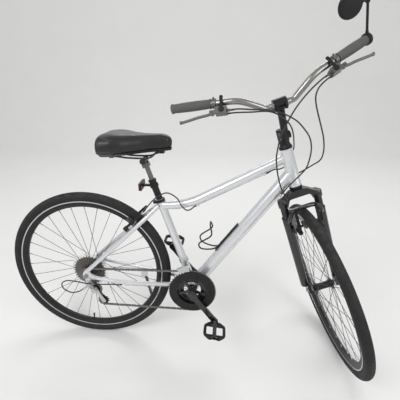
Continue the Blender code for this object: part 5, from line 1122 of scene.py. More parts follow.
piece("headset_top_cover", headset_top(), STEER, BLACK_PLASTIC, "steering", "black_plastic",
      ("headset_cover",))
piece("stem_base", stem_base(), STEER, BLACK_ALLOY, "steering", "black_alloy", ("stem_clamp",),
      edge=0.0007)
piece("stem_tube_and_clamp", stem_arm(), STEER, BLACK_ALLOY, "handlebar", "black_alloy",
      ("stem_arm",), edge=0.0005)
piece("handlebar_tube", bar_tube(), STEER, BAR_ALLOY, "handlebar", "silver_alloy", ("handlebar",))
for hand, side in (("right", -1), ("left", 1)):
    place = STEER @ control_place(side)
    piece(f"grip_{hand}_ribbed", grip(side), STEER, GRIP_RUBBER, "handlebar", "grip_rubber",
          (f"grip_{hand}",), 30.0)
    piece(f"control_{hand}_pod", control_body(side), place, GREY_ALLOY, "handlebar",
          "black_plastic", (f"brake_control_{hand}",), edge=0.0022, segments=3)
    piece(f"control_{hand}_window", gear_window(side), place, MIRROR_GLASS, "handlebar",
          "clear_plastic", edge=0.0005)
    piece(f"lever_{hand}_blade", brake_lever(), place, GREY_ALLOY, f"brake_lever_{hand}",
          "black_alloy", (f"brake_lever_{hand}",))
    piece(f"thumb_lever_{hand}", thumb_lever(side), place, BLACK_PLASTIC, f"shift_lever_{hand}",
          "black_plastic", (f"shift_lever_{hand}",), edge=0.0008)


# Mirror on the end of the left grip

MIRROR_ARM_LENGTH = 0.0900
MIRROR_RADIUS = 0.0390
MIRROR_END = bar_point(BAR_HALF_WIDTH) + bar_direction(1) * 0.004
MIRROR_TOP = (MIRROR_END - bar_direction(1) * 0.008
              + LEVEL_UP * (MIRROR_ARM_LENGTH + GRIP_RADIUS))
MIRROR_BALL_RADIUS = 0.0076


def mirror_stalk():
    out = bar_direction(1)
    shape = bmesh.new()
    collar(shape, MIRROR_END - out * 0.014, out, (0, 0.0120), 0.0169, 0.0195, 40,
           (0.0007, 0.0010))
    root = MIRROR_END - out * 0.008 + LEVEL_UP * (GRIP_RADIUS + 0.001)
    rod(shape, root, root.lerp(MIRROR_TOP, 0.12), 0.0062, 0.0042)
    rod(shape, root, MIRROR_TOP, 0.0040)
    rod(shape, MIRROR_TOP, MIRROR_TOP + LEVEL_UP * 0.0180, 0.0030)
    return shape


def mirror_ball():
    """Ball of the small joint between the stalk and the shell."""
    shape = bmesh.new()
    turns = [math.pi * (step / 16 - 0.5) for step in range(17)]
    turned(shape, [(MIRROR_BALL_RADIUS * math.sin(turn),
                    max(MIRROR_BALL_RADIUS * math.cos(turn), 0.0001)) for turn in turns],
           MIRROR_TOP + LEVEL_UP * 0.0172, LEVEL_UP, 32)
    return shape


def mirror_shell(low, centre):
    """Round back with a rolled edge, on a small socket."""
    shape = bmesh.new()
    turned(shape, [(-0.0030, MIRROR_RADIUS - 0.0026), (-0.0040, MIRROR_RADIUS - 0.0020),
                   (-0.0040, MIRROR_RADIUS - 0.0006), (-0.0030, MIRROR_RADIUS),
                   (-0.0010, MIRROR_RADIUS - 0.0002), (0.0022, MIRROR_RADIUS * 0.95),
                   (0.0046, MIRROR_RADIUS * 0.84), (0.0058, MIRROR_RADIUS * 0.62),
                   (0.0060, 0.0001)], centre, LEVEL_FORWARD, 72)
    rod(shape, low + LEVEL_UP * 0.008, centre + LEVEL_FORWARD * 0.001
        + ACROSS * (MIRROR_RADIUS - 0.004), 0.0040)
    turned(shape, [(0, 0.0034), (0, 0.0064), (0.0010, 0.0070), (0.0140, 0.0070), (0.0160, 0.0056),
                   (0.0160, 0.0034), (0, 0.0034)], low, LEVEL_UP, 32)
    return shape


def mirror_face(centre):
    shape = bmesh.new()
    turned(shape, [(-0.0035, 0.0001), (-0.0035, MIRROR_RADIUS - 0.0030),
                   (-0.0025, MIRROR_RADIUS - 0.0026)], centre, LEVEL_FORWARD, 72)
    return shape


mirror_socket = MIRROR_TOP + LEVEL_UP * 0.0004
mirror_centre = mirror_socket + Vector((0, -MIRROR_RADIUS - 0.014, 0)) + LEVEL_UP * 0.008
piece("mirror_stalk", mirror_stalk(), STEER, BLACK_PLASTIC, "mirror_arm", "black_plastic",
      ("mirror_arm",))
piece("mirror_ball_joint", mirror_ball(), STEER, STEEL, "mirror_head", "black_plastic")
piece("mirror_shell", mirror_shell(mirror_socket, mirror_centre), STEER, BLACK_PLASTIC,
      "mirror_head", "black_plastic", ("mirror_head",))
piece("mirror_face", mirror_face(mirror_centre), STEER, MIRROR_GLASS, "mirror_head",
      "clear_plastic")


# Drive train

CHAIN_PITCH = 0.0127
RING_TEETH = (48, 38, 28)
COG_TEETH = (13, 15, 17, 20, 23, 26, 30, 34)
PULLEY_TEETH = 11
CHAIN_LINE = 0.0555
CRANK_LENGTH = 0.1700
CRANK_ANGLE = math.radians(-54.0)
CRANK_ARM_Y = 0.0750
UPPER_PULLEY = (0.0300, 0.2770)
LOWER_PULLEY = (0.0590, 0.2200)
PEDAL_TILT = math.radians(7.0)
PEDAL_LENGTH = 0.0920
PEDAL_WIDTH = 0.0950
PEDAL_NEAR = CRANK_ARM_Y + 0.0080
ROLLER_RADIUS = 0.0038
CASSETTE_END = 0.0585
OUTER_COG = CASSETTE_END - 0.0068
INNER_COG = 0.0270
COG_BORE = 0.0164


def pitch_radius(teeth):
    return CHAIN_PITCH / (2 * math.sin(math.pi / teeth))


def chain_route():
    """Closed chain line round the sprockets and through the two pulleys."""
    stops = ((REAR_AXLE.x, REAR_AXLE.z, pitch_radius(COG_TEETH[0]), 1),
             (BRACKET.x, BRACKET.z, pitch_radius(RING_TEETH[0]), 1),
             (*LOWER_PULLEY, pitch_radius(PULLEY_TEETH), 1),
             (*UPPER_PULLEY, pitch_radius(PULLEY_TEETH), -1))
    tangents = []
    for (x1, z1, r1, s1), (x2, z2, r2, s2) in zip(stops, stops[1:] + stops[:1]):
        way = Vector((x2 - x1, z2 - z1))
        normal = (math.atan2(way.y, way.x) + math.pi / 2
                  + math.asin((s2 * r2 - s1 * r1) / way.length))
        aside = Vector((math.cos(normal), math.sin(normal)))
        tangents.append((Vector((x1, z1)) + aside * r1 * s1, Vector((x2, z2)) + aside * r2 * s2))
    route = []
    for index, (x, z, radius, turn) in enumerate(stops):
        middle = Vector((x, z))
        enter, leave = tangents[index - 1][1] - middle, tangents[index][0] - middle
        start = math.atan2(enter.y, enter.x)
        swing = (math.atan2(leave.y, leave.x) - start) * -turn % (2 * math.pi)
        steps = max(1, math.ceil(swing / math.radians(2)))
        for step in range(steps + 1):
            at = start - turn * swing * step / steps
            route.append(middle + Vector((math.cos(at), math.sin(at))) * radius)
    return route


def evenly_along(route, pitch):
    """Points a chain pitch apart along the closed route, an even number of them."""
    lengths = [(after - before).length for before, after in zip(route, route[1:] + route[:1])]
    count = 2 * round(sum(lengths) / pitch / 2)
    gap = sum(lengths) / count
    spots, passed, index = [], 0.0, 0
    for number in range(count):
        while passed + lengths[index] < number * gap:
            passed += lengths[index]
            index += 1
        share = (number * gap - passed) / lengths[index]
        spots.append(route[index].lerp(route[(index + 1) % len(route)], share))
    return spots


CHAIN_SPOTS = evenly_along(chain_route(), CHAIN_PITCH)


def link_outline(start, end, waist):
    """Figure-eight outline of a link plate between two pins."""
    way = (end - start).normalized()
    aside = Vector((-way.y, way.x))
    outline = []
    for centre, ahead in ((end, 1), (start, -1)):
        for step in range(-5, 6):
            turn = math.radians(20 * step)
            outline.append(centre + way * ahead * math.cos(turn) * 0.0042
                           + aside * ahead * math.sin(turn) * 0.0042)
        outline.append((start + end) / 2 + aside * ahead * waist)
    return outline


def chain_links():
    shape = bmesh.new()
    count = len(CHAIN_SPOTS)
    for index, here in enumerate(CHAIN_SPOTS):
        there = CHAIN_SPOTS[(index + 1) % count]
        outer = index % 2
        for side in (-1, 1):
            level = -CHAIN_LINE + side * (0.00265 if outer else 0.00175)
            plate(shape, [(spot.x, spot.y) for spot in link_outline(here, there, 0.0029)], 0.0008,
                  Matrix.Translation((0, level, 0)) @ PLATE_FACING_SIDEWAYS)
        rod(shape, (here.x, -CHAIN_LINE - 0.0033, here.y), (here.x, -CHAIN_LINE + 0.0033, here.y),
            0.0018, sides=10)
        rod(shape, (here.x, -CHAIN_LINE - 0.0013, here.y), (here.x, -CHAIN_LINE + 0.0013, here.y),
            ROLLER_RADIUS, sides=14)
    return shape


def gap_turn(centre_x, centre_z, teeth):
    """Turn of a sprocket that puts a gap under the chain roller nearest its middle."""
    radius = pitch_radius(teeth)
    on_it = [spot - Vector((centre_x, centre_z)) for spot in CHAIN_SPOTS
             if abs((spot - Vector((centre_x, centre_z))).length - radius) < 0.0004]
    middle = sum(on_it, Vector((0, 0))) / len(on_it)
    nearest = min(on_it, key=lambda spot: (spot - middle.normalized() * radius).length)
    return math.atan2(nearest.y, nearest.x)


TOOTH_SHAPE = ((0.0, -0.0039), (0.14, -0.0038), (0.26, -0.0026), (0.36, 0.0002), (0.45, 0.0019),
               (0.55, 0.0019), (0.64, 0.0002), (0.74, -0.0026), (0.86, -0.0038))


def sprocket(shape, centre, teeth, level, thick, bore, first_gap=0.0):
    """Toothed ring on a Y axis, at a distance to the right of the middle."""
    radius = pitch_radius(teeth)
    turns, tips = [], []
    for tooth in range(teeth):
        for share, height in TOOTH_SHAPE:
            turns.append(first_gap + 2 * math.pi * (tooth + share) / teeth)
            tips.append(radius + height)
    rings = []
    for side, drop in ((thick * 0.5, 0.0007), (thick * 0.3, 0), (-thick * 0.3, 0),
                       (-thick * 0.5, 0.0007)):
        rings.append([(turn, tip - drop, side) for turn, tip in zip(turns, tips)])
    for side in (-thick * 0.5, thick * 0.5):
        rings.append([(turn, bore, side) for turn in turns])
    skin(shape, [[shape.verts.new((centre[0] + reach * math.cos(turn), -level + side,
                                   centre[2] + reach * math.sin(turn)))
                  for turn, reach, side in ring] for ring in rings], closed=True)


def cassette_cogs():
    shape = bmesh.new()
    depth = (OUTER_COG - INNER_COG) / 7
    start = gap_turn(REAR_AXLE.x, REAR_AXLE.z, COG_TEETH[0])
    for index, teeth in enumerate(COG_TEETH):
        level = CHAIN_LINE if index == 0 else OUTER_COG - (index - 0.5) * depth
        bore = COG_BORE if index < 4 else pitch_radius(teeth) - 0.0150
        sprocket(shape, REAR_AXLE, teeth, level, 0.0021, bore, start)
        if index >= 4:
            for arm in range(5):
                turn = Matrix.Rotation(-2 * math.pi * arm / 5 - 0.3 * index, 4, "Y")
                middle = REAR_AXLE + turn @ Vector(((COG_BORE + bore) / 2, 0, 0))
                block(shape, middle + RIGHTWARD * level, (bore - 0.0130, 0.0017, 0.0080), turn)
        collar(shape, REAR_AXLE, RIGHTWARD, (level - 0.0017, level + 0.0017), COG_BORE, 0.0192, 36)
    turned(shape, [(0.0566, 0.0168), (0.0566, 0.0196), (0.0578, 0.0196), (CASSETTE_END, 0.0188),
                   (CASSETTE_END, 0.0130), (0.0572, 0.0124), (0.0572, 0.0110)], REAR_AXLE,
           RIGHTWARD, 36)
    return shape


def spoke_disc():
    """Clear disc behind the largest cog, with a rolled edge."""
    shape = bmesh.new()
    near = 0.0229
    turned(shape, [(near, 0.0164), (near, 0.0755), (near - 0.0007, 0.0768), (near + 0.0004, 0.0775),
                   (near + 0.0014, 0.0768), (near + 0.0012, 0.0755), (near + 0.0012, 0.0164),
                   (near, 0.0164)], REAR_AXLE, RIGHTWARD, 72)
    return shape


def crank_turn(side):
    return CRANK_ANGLE + (math.pi if side > 0 else 0)


def crank_end(side):
    turn = crank_turn(side)
    return BRACKET + Vector((math.cos(turn), 0, math.sin(turn))) * CRANK_LENGTH


def crank_arm(shape, side):
    """Forged arm: a boss, a waisted blade and the pedal's eye."""
    eye = arc(0.0135, math.radians(-100), math.radians(100), 12)
    boss = arc(0.0180, math.radians(70), math.radians(290), 8)
    blade = [(CRANK_LENGTH - 0.020, 0.0112), (0.090, 0.0108), (0.030, 0.0122)]
    outline = ([(CRANK_LENGTH + x, y) for x, y in eye] + blade + boss
               + [(x, -y) for x, y in blade[::-1]])
    place = (Matrix.Translation(BRACKET + ACROSS * side * CRANK_ARM_Y)
             @ Matrix.Rotation(-crank_turn(side), 4, "Y") @ PLATE_FACING_SIDEWAYS)
    plate(shape, outline, 0.0116, place)
    outward = ACROSS * side
    turned(shape, [(0.0050, 0.0110), (0.0075, 0.0108), (0.0086, 0.0098), (0.0086, 0.0060),
                   (0.0072, 0.0052), (0.0072, 0.0001)], BRACKET + outward * CRANK_ARM_Y, outward,
           36)


def crank_set(side):
    shape = bmesh.new()
    crank_arm(shape, side)
    if side > 0:
        rod(shape, BRACKET + ACROSS * 0.0389, BRACKET + ACROSS * (CRANK_ARM_Y - 0.004), 0.0180,
            0.0165, sides=40)
        return shape
    spider = CHAIN_LINE - 0.0038
    rod(shape, BRACKET + RIGHTWARD * (CRANK_ARM_Y - 0.004), BRACKET + RIGHTWARD * (spider - 0.0023),
        0.0165, 0.0200, sides=40)
    half = [(0.012, -0.0100), (0.030, -0.0066), (0.052, -0.0056), (0.0640, -0.0060),
            (0.0660, -0.0040)]
    for arm in range(5):
        turn = Matrix.Rotation(-CRANK_ANGLE - math.pi / 5 - 2 * math.pi * arm / 5, 4, "Y")
        plate(shape, half + [(x, -y) for x, y in half[::-1]], 0.0034,
              Matrix.Translation(BRACKET + RIGHTWARD * spider) @ turn @ PLATE_FACING_SIDEWAYS)
    return shape


def spindle():
    shape = bmesh.new()
    rod(shape, BRACKET + RIGHTWARD * CHAIN_LINE, BRACKET + ACROSS * (CRANK_ARM_Y - 0.0085), 0.0085,
        sides=28)
    return shape


def rings_and_bolts():
    """Middle and inner chainrings, with the five bolts through them."""
    shape = bmesh.new()
    middle_level = CHAIN_LINE - 0.0075
    small_level = middle_level - 0.0065
    sprocket(shape, BRACKET, RING_TEETH[1], middle_level, 0.0024, 0.0500, 0.05)
    sprocket(shape, BRACKET, RING_TEETH[2], small_level, 0.0024, 0.0365, 0.02)
    for bolt in range(5):
        turn = CRANK_ANGLE + 2 * math.pi * bolt / 5
        post = BRACKET + Vector((math.cos(turn), 0, math.sin(turn))) * 0.0520
        rod(shape, post + RIGHTWARD * (middle_level - 0.0003),
            post + RIGHTWARD * (small_level + 0.0003), 0.0034)
    return shape


def outer_ring():
    shape = bmesh.new()
    sprocket(shape, BRACKET, RING_TEETH[0], CHAIN_LINE, 0.0024, 0.0605,
             gap_turn(BRACKET.x, BRACKET.z, RING_TEETH[0]))
    return shape


def guard():
    """Moulded guard with a rolled rim, raised ribs and five screws."""
    face = CHAIN_LINE + 0.0021
    shape = bmesh.new()
    turned(shape, [(face + 0.0026, 0.0700), (face, 0.0700), (face, 0.0620), (face + 0.0046, 0.0620),
                   (face + 0.0052, 0.0640), (face + 0.0042, 0.0680), (face + 0.0040, 0.0880),
                   (face + 0.0052, 0.0935), (face + 0.0058, 0.0952), (face + 0.0056, 0.0966),
                   (face + 0.0046, 0.0970), (face + 0.0034, 0.0966), (face + 0.0028, 0.0940),
                   (face + 0.0026, 0.0700)], BRACKET, RIGHTWARD, 96)
    for rib in range(30):
        turn = Matrix.Rotation(-2 * math.pi * rib / 30, 4, "Y")
        middle = BRACKET + turn @ Vector((0.0780, 0, 0))
        if rib % 6:
            block(shape, middle + RIGHTWARD * (face + 0.0042), (0.0150, 0.0010, 0.0060), turn)
        else:
            cap_bolt(shape, middle + RIGHTWARD * (face + 0.0040), RIGHTWARD, 0.0048, 0.0020)
    return shape


def bracket_cups():
    shape = bmesh.new()
    for side in (-1, 1):
        turned(shape, [(0.0300, 0.0092), (0.0300, 0.0166), (0.0344, 0.0166), (0.0344, 0.0188),
                       (0.0350, 0.0195), (0.0380, 0.0195), (0.0385, 0.0186), (0.0385, 0.0092),
                       (0.0300, 0.0092)], BRACKET, ACROSS * side, 40)
    return shape


def pedal_place(side):
    return Matrix.Translation(crank_end(side)) @ Matrix.Rotation(PEDAL_TILT, 4, "Y")


def pedal(side):
    """Platform pedal: an eight-sided cage with grip pins round two windows and its axle barrel."""
    shape = bmesh.new()
    middle = side * (PEDAL_NEAR + PEDAL_WIDTH / 2)
    edge, wide = PEDAL_WIDTH / 2 - 0.0062, PEDAL_LENGTH / 2 - 0.0062
    corners = [Vector((x, middle + y, 0)) for x, y in (
        (wide, -edge + 0.018), (wide, edge - 0.018), (wide - 0.019, edge), (-wide + 0.019, edge),
        (-wide, edge - 0.018), (-wide, -edge + 0.018), (-wide + 0.019, -edge),
        (wide - 0.019, -edge))]
    outline = []
    for before, here, after in zip(corners[-1:] + corners, corners, corners[1:] + corners[:1]):
        outline += [here + (before - here).normalized() * 0.0050,
                    here.lerp((before + after) / 2, 0.08),
                    here + (after - here).normalized() * 0.0050]
    sweep(shape, outline, 0.0062, 12, flat=1.28, closed=True, up=(1, 0.001, 0))
    block(shape, (0, middle, 0), (0.0150, PEDAL_WIDTH - 0.014, 0.0150))
    for ahead in (-1, 1):
        for rib in (-1, 1):
            block(shape, (ahead * 0.0240, middle + rib * 0.0270, 0), (0.0330, 0.0040, 0.0100))
        for pin in range(5):
            x, y = ahead * (wide + 0.001), middle + (pin - 2) * 0.0120
            rod(shape, (x, y, -0.0088), (x, y, 0.0088), 0.0013, sides=10)
    return shape


def pedal_axle(side):
    shape = bmesh.new()
    turned(shape, [(CRANK_ARM_Y - 0.0045, 0.0001), (CRANK_ARM_Y - 0.0045, 0.0058),
                   (CRANK_ARM_Y + 0.0062, 0.0058), (CRANK_ARM_Y + 0.0064, 0.0080),
                   (PEDAL_NEAR + 0.0004, 0.0080), (PEDAL_NEAR + 0.0010, 0.0062),
                   (PEDAL_NEAR + 0.0040, 0.0062)], crank_end(side), ACROSS * side, 24)
    return shape


def changer_body():
    """Rear derailleur's two knuckles and the link plates between them."""
    shape = bmesh.new()
    hanger = 0.0729
    turned(shape, [(hanger, 0.0070), (hanger, 0.0085), (0.0800, 0.0092), (0.0862, 0.0090),
                   (0.0870, 0.0080), (0.0870, 0.0044), (0.0858, 0.0038), (0.0858, 0.0001)],
           (0.008, 0, 0.320), RIGHTWARD, 36)
    for drop in (0.0, 1.0):
        start, end = Vector((0.0045, -0.0836, 0.3165)), Vector((0.0245, -0.0786, 0.2860))
        shift = Vector((0.0066, 0.0012, 0.0040)) * drop
        sweep(shape, (start + shift, (start + end) / 2 + shift * 1.1, end + shift), 0.0052, 20,
              flat=0.62, up=ACROSS)
    turned(shape, [(0.0660, 0.0060), (0.0660, 0.0112), (0.0672, 0.0117), (0.0856, 0.0115),
                   (0.0870, 0.0104), (0.0870, 0.0050), (0.0858, 0.0044), (0.0858, 0.0001)],
           (0.030, 0, 0.284), RIGHTWARD, 40)
    sweep(shape, eased([(0.012, -0.0800, 0.307), (0.0, -0.0800, 0.3005),
                        (-0.0115, -0.0800, 0.2925)], 4), 0.0042, 16)
    turned(shape, [(0, 0.0030), (0.001, 0.0042), (0.008, 0.0042), (0.009, 0.0030)],
           (-0.0105, -0.0800, 0.2932), (-0.86, 0, -0.5), 18)
    cap_bolt(shape, (0.006, -0.0845, 0.3045), RIGHTWARD, 0.0034, 0.0022)
    return shape


def changer_cage():
    """Two waisted plates that hold the jockey pulleys, with their bolts."""
    upper, lower = Vector(UPPER_PULLEY), Vector(LOWER_PULLEY)
    way = (lower - upper).normalized()
    aside = Vector((-way.y, way.x))
    outline = []
    for centre, ahead in ((lower, 1), (upper, -1)):
        for step in range(9):
            turn = math.radians(-90 + 180 * step / 8)
            outline.append(centre + way * ahead * math.cos(turn) * 0.0105
                           + aside * ahead * math.sin(turn) * 0.0105)
        outline.append((upper + lower) / 2 + aside * ahead * 0.0062)
    shape = bmesh.new()
    flat = [(spot.x, spot.y) for spot in outline]
    for level in (CHAIN_LINE + 0.0078, CHAIN_LINE - 0.0063):
        plate(shape, flat, 0.0015, Matrix.Translation((0, -level, 0)) @ PLATE_FACING_SIDEWAYS)
    for x, z in (UPPER_PULLEY, LOWER_PULLEY):
        rod(shape, (x, -CHAIN_LINE - 0.0078, z), (x, -CHAIN_LINE + 0.0063, z), 0.0028)
        cap_bolt(shape, (x, -CHAIN_LINE - 0.0084, z), RIGHTWARD, 0.0046, 0.0022)
    return shape


def jockey(x, z):
    shape = bmesh.new()
    sprocket(shape, (x, 0, z), PULLEY_TEETH, CHAIN_LINE, 0.0022, 0.0034,
             gap_turn(x, z, PULLEY_TEETH))
    collar(shape, (x, 0, z), RIGHTWARD, (CHAIN_LINE - 0.0036, CHAIN_LINE + 0.0036), 0.0034,
           0.0062, 28)
    return shape


def arc_outline(inner, outer, start, end):
    return arc(outer, start, end, 12) + arc(inner, start, end, 12)[::-1]


def front_changer():
    """Cage over the chainrings, on a band round the seat tube."""
    shape = bmesh.new()
    collar(shape, seat_point(0.1250), SEAT_AXIS, (-0.008, 0.008), 0.0163, 0.0195, 40,
           (0.0005, 0.0010))
    upright = Matrix.Translation(BRACKET) @ PLATE_FACING_SIDEWAYS
    start, end = math.radians(95), math.radians(120)
    for level in (CHAIN_LINE - 0.0051, CHAIN_LINE + 0.0061):
        plate(shape, arc_outline(0.0998, 0.1220, start, end), 0.0012,
              Matrix.Translation((0, -level, 0)) @ upright)
    plate(shape, arc_outline(0.1198, 0.1224, start - 0.02, end + 0.02), 0.0118,
          Matrix.Translation((0, -CHAIN_LINE - 0.0005, 0)) @ upright)
    block(shape, (0.4080, -0.0330, 0.4020), (0.0130, 0.0350, 0.0050))
    block(shape, (0.4095, -0.0330, 0.3970), (0.0100, 0.0350, 0.0030))
    block(shape, (0.4080, -0.0200, 0.4030), (0.0160, 0.0100, 0.0120))
    cap_bolt(shape, (0.4080, -0.0420, 0.4046), UPRIGHT, 0.0030, 0.0022)
    return shape


piece("chain_links", chain_links(), BIKE, OILED_STEEL, "frame", "steel", ("chain",))
piece("cassette_cogs", cassette_cogs(), BIKE, COG_STEEL, "cassette", "steel", ("cassette",), 25.0)
piece("spoke_disc", spoke_disc(), BIKE, CLEAR_PLASTIC, "rear_wheel", "clear_plastic",
      ("spoke_protector",))
for hand, side in (("right", -1), ("left", 1)):
    body = f"pedal_{hand}"
    piece(f"crank_{hand}_forging", crank_set(side), BIKE, BLACK_PAINT, "cranks", "black_paint",
          (f"crank_{hand}",), edge=0.0020, segments=3)
    piece(f"{body}_platform", pedal(side), BIKE @ pedal_place(side), BLACK_PLASTIC, body,
          "black_plastic", (body,), edge=0.0006)
    piece(f"{body}_axle", pedal_axle(side), BIKE, STEEL, body, "steel")
piece("crank_spindle", spindle(), BIKE, DARK_STEEL, "cranks", "steel")
piece("inner_rings_toothed", rings_and_bolts(), BIKE, DARK_STEEL, "cranks", "steel",
      ("inner_chainrings",), 25.0)
piece("outer_ring_toothed", outer_ring(), BIKE, DARK_STEEL, "cranks", "steel",
      ("outer_chainring",), 25.0)
piece("guard_moulding", guard(), BIKE, BLACK_PLASTIC, "cranks", "black_plastic",
      ("chain_guard",), edge=0.0004)
piece("bracket_cups", bracket_cups(), BIKE, BLACK_ALLOY, "frame", "black_alloy",
      ("bottom_bracket",))
piece("rear_changer_body", changer_body(), BIKE, SILVER_ALLOY, "frame", "silver_alloy",
      ("rear_derailleur_body",), edge=0.0004)
piece("rear_changer_cage", changer_cage(), BIKE, SILVER_ALLOY, "frame", "silver_alloy",
      ("rear_derailleur_cage",), edge=0.0003)
piece("front_changer", front_changer(), BIKE, SILVER_ALLOY, "frame", "silver_alloy",
      ("front_derailleur",), edge=0.0003)
for level, spot in (("upper", UPPER_PULLEY), ("lower", LOWER_PULLEY)):
    piece(f"{level}_jockey_wheel", jockey(*spot), BIKE, BLACK_PLASTIC, f"{level}_pulley",
          "black_plastic", (f"{level}_pulley",), 25.0)


# Seat, brakes, stand and cage

SEATPOST_RADIUS = 0.0135
COLLAR_AT = 0.4950
REFLECTOR_AT = 0.4740
HEAD_AT = 0.5650
SEAT_TILT = Matrix.Rotation(SEAT_ANGLE - math.pi / 2, 4, "Y")
TILT_CENTRE = seat_point(HEAD_AT + 0.014)
BRAKE_PIVOT_RADIUS = 0.2800
BRAKE_TRACK_RADIUS = 0.3035
BRAKE_ARM_LENGTH = 0.1050
BRAKE_ARM_SETBACK = 0.0030
FRONT_BRAKE_PLANE = 0.0720
REAR_BRAKE_PLANE = 0.0400
STAND_PIVOT = Vector((0.2150, 0.0660, 0.2800))
STAND_FOOT = Vector((0.2000, 0.2250, 0.0070)) + REAR_CONTACT
STAND_FOLDED = Vector((-0.980, 0.150, -0.060)).normalized()
REAR_HALF_SPACE = 0.0675
REAR_OUTSIDE = 0.0725


def seatpost_tube():
    """Suspension post: marked tube with a rolled collar and its preload ring."""
    shape = bmesh.new()
    turned(shape, [(0.2950, 0.0100), (0.2950, SEATPOST_RADIUS),
                   (COLLAR_AT - 0.0045, SEATPOST_RADIUS), (COLLAR_AT - 0.0045, 0.0151),
                   (COLLAR_AT - 0.0038, 0.0155),
                   (COLLAR_AT + 0.0038, 0.0155), (COLLAR_AT + 0.0045, 0.0149),
                   (COLLAR_AT + 0.0045, 0.0103), (0.2950, 0.0100)], BRACKET, SEAT_AXIS, 48)
    for groove in range(24):
        turn = Matrix.Rotation(2 * math.pi * groove / 24, 4, SEAT_AXIS)
        block(shape, seat_point(COLLAR_AT) + turn @ Vector((0, 0.0152, 0)),
              (0.0012, 0.0012, 0.0066), SEAT_TILT)
    return shape


def seatpost_head():
    """Sliding shaft, and the clamp that holds the saddle rails with one bolt."""
    shape = bmesh.new()
    turned(shape, [(COLLAR_AT - 0.0440, 0.0001), (COLLAR_AT - 0.0440, 0.0095),
                   (HEAD_AT - 0.012, 0.0095), (HEAD_AT - 0.012, 0.0001)], BRACKET, SEAT_AXIS, 32)
    block(shape, seat_point(HEAD_AT - 0.0060), (0.0260, 0.0290, 0.0150), SEAT_TILT)
    for side in (-1, 1):
        block(shape, seat_point(HEAD_AT - 0.0008) + ACROSS * side * 0.0122,
              (0.0220, 0.0050, 0.0150), SEAT_TILT)
    rod(shape, seat_point(HEAD_AT - 0.0070) - ACROSS * 0.0148, seat_point(HEAD_AT - 0.0070)
        + ACROSS * 0.0148, 0.0040)
    return shape


def reflector_bracket():
    shape = bmesh.new()
    collar(shape, BRACKET, SEAT_AXIS, (REFLECTOR_AT - 0.006, REFLECTOR_AT + 0.006),
           SEATPOST_RADIUS + 0.0003, SEATPOST_RADIUS + 0.0035, 40)
    middle = seat_point(REFLECTOR_AT)
    block(shape, middle - FORWARD * 0.0300, (0.0300, 0.0130, 0.0070))
    for side in (-1, 1):
        block(shape, middle - FORWARD * 0.0185 + ACROSS * side * 0.0052, (0.0090, 0.0024, 0.0080))
    cap_bolt(shape, middle - FORWARD * 0.0190 - ACROSS * 0.0064, RIGHTWARD, 0.0028, 0.0022)
    block(shape, middle - FORWARD * 0.0458, (0.0040, 0.0656, 0.0296))
    return shape


def reflector_lens():
    """Rounded lens with moulded prisms across its face."""
    shape = bmesh.new()
    middle = seat_point(REFLECTOR_AT) - FORWARD * 0.0512
    block(shape, middle, (0.0070, 0.0640, 0.0280))
    for row in range(7):
        for column in range(16):
            spot = middle + Vector((-0.0034, (column - 7.5) * 0.0038, (row - 3) * 0.0038))
            block(shape, spot, (0.0011, 0.0027, 0.0027), Matrix.Rotation(math.pi / 4, 4, "X"))
    return shape


def saddle_rail_pair():
    shape = bmesh.new()
    rod(shape, TILT_CENTRE - ACROSS * 0.029, TILT_CENTRE + ACROSS * 0.029, 0.0110, sides=36)
    rear, front, level = 0.158, 0.328, TILT_CENTRE.z + 0.0132
    for side in (-1, 1):
        line = [(rear + 0.0007, 0.030, 0.8570), (rear + 0.018, 0.0275, 0.8550),
                (rear + 0.045, 0.0220, level), (front - 0.044, 0.0220, level),
                (front - 0.030, 0.0200, 0.8550), (front - 0.016, 0.0150, 0.8660),
                (front - 0.0016, 0.0105, 0.8695)]
        sweep(shape, eased([(x, side * y, z) for x, y, z in line], 6), 0.0035, 20)
    for side in (-1, 1):
        cap_bolt(shape, TILT_CENTRE + ACROSS * side * 0.0288, ACROSS * side, 0.0070, 0.0030)
    return shape


def clamp_collar():
    """Seat tube collar with its slotted lug and the bolt through it."""
    shape = bmesh.new()
    collar(shape, BRACKET, SEAT_AXIS, (SEAT_TUBE_LENGTH - 0.0130, SEAT_TUBE_LENGTH - 0.0010),
           0.0163, 0.0195, 48, (0.0005, 0.0010))
    lug = seat_point(SEAT_TUBE_LENGTH - 0.007) - Vector((0.0210, 0, 0.007))
    for side in (-1, 1):
        block(shape, lug + ACROSS * side * 0.0056, (0.0110, 0.0086, 0.0100), SEAT_TILT)
    rod(shape, lug - ACROSS * 0.0097, lug + ACROSS * 0.0097, 0.0024)
    cap_bolt(shape, lug - ACROSS * 0.0098, RIGHTWARD, 0.0038, 0.0030)
    return shape


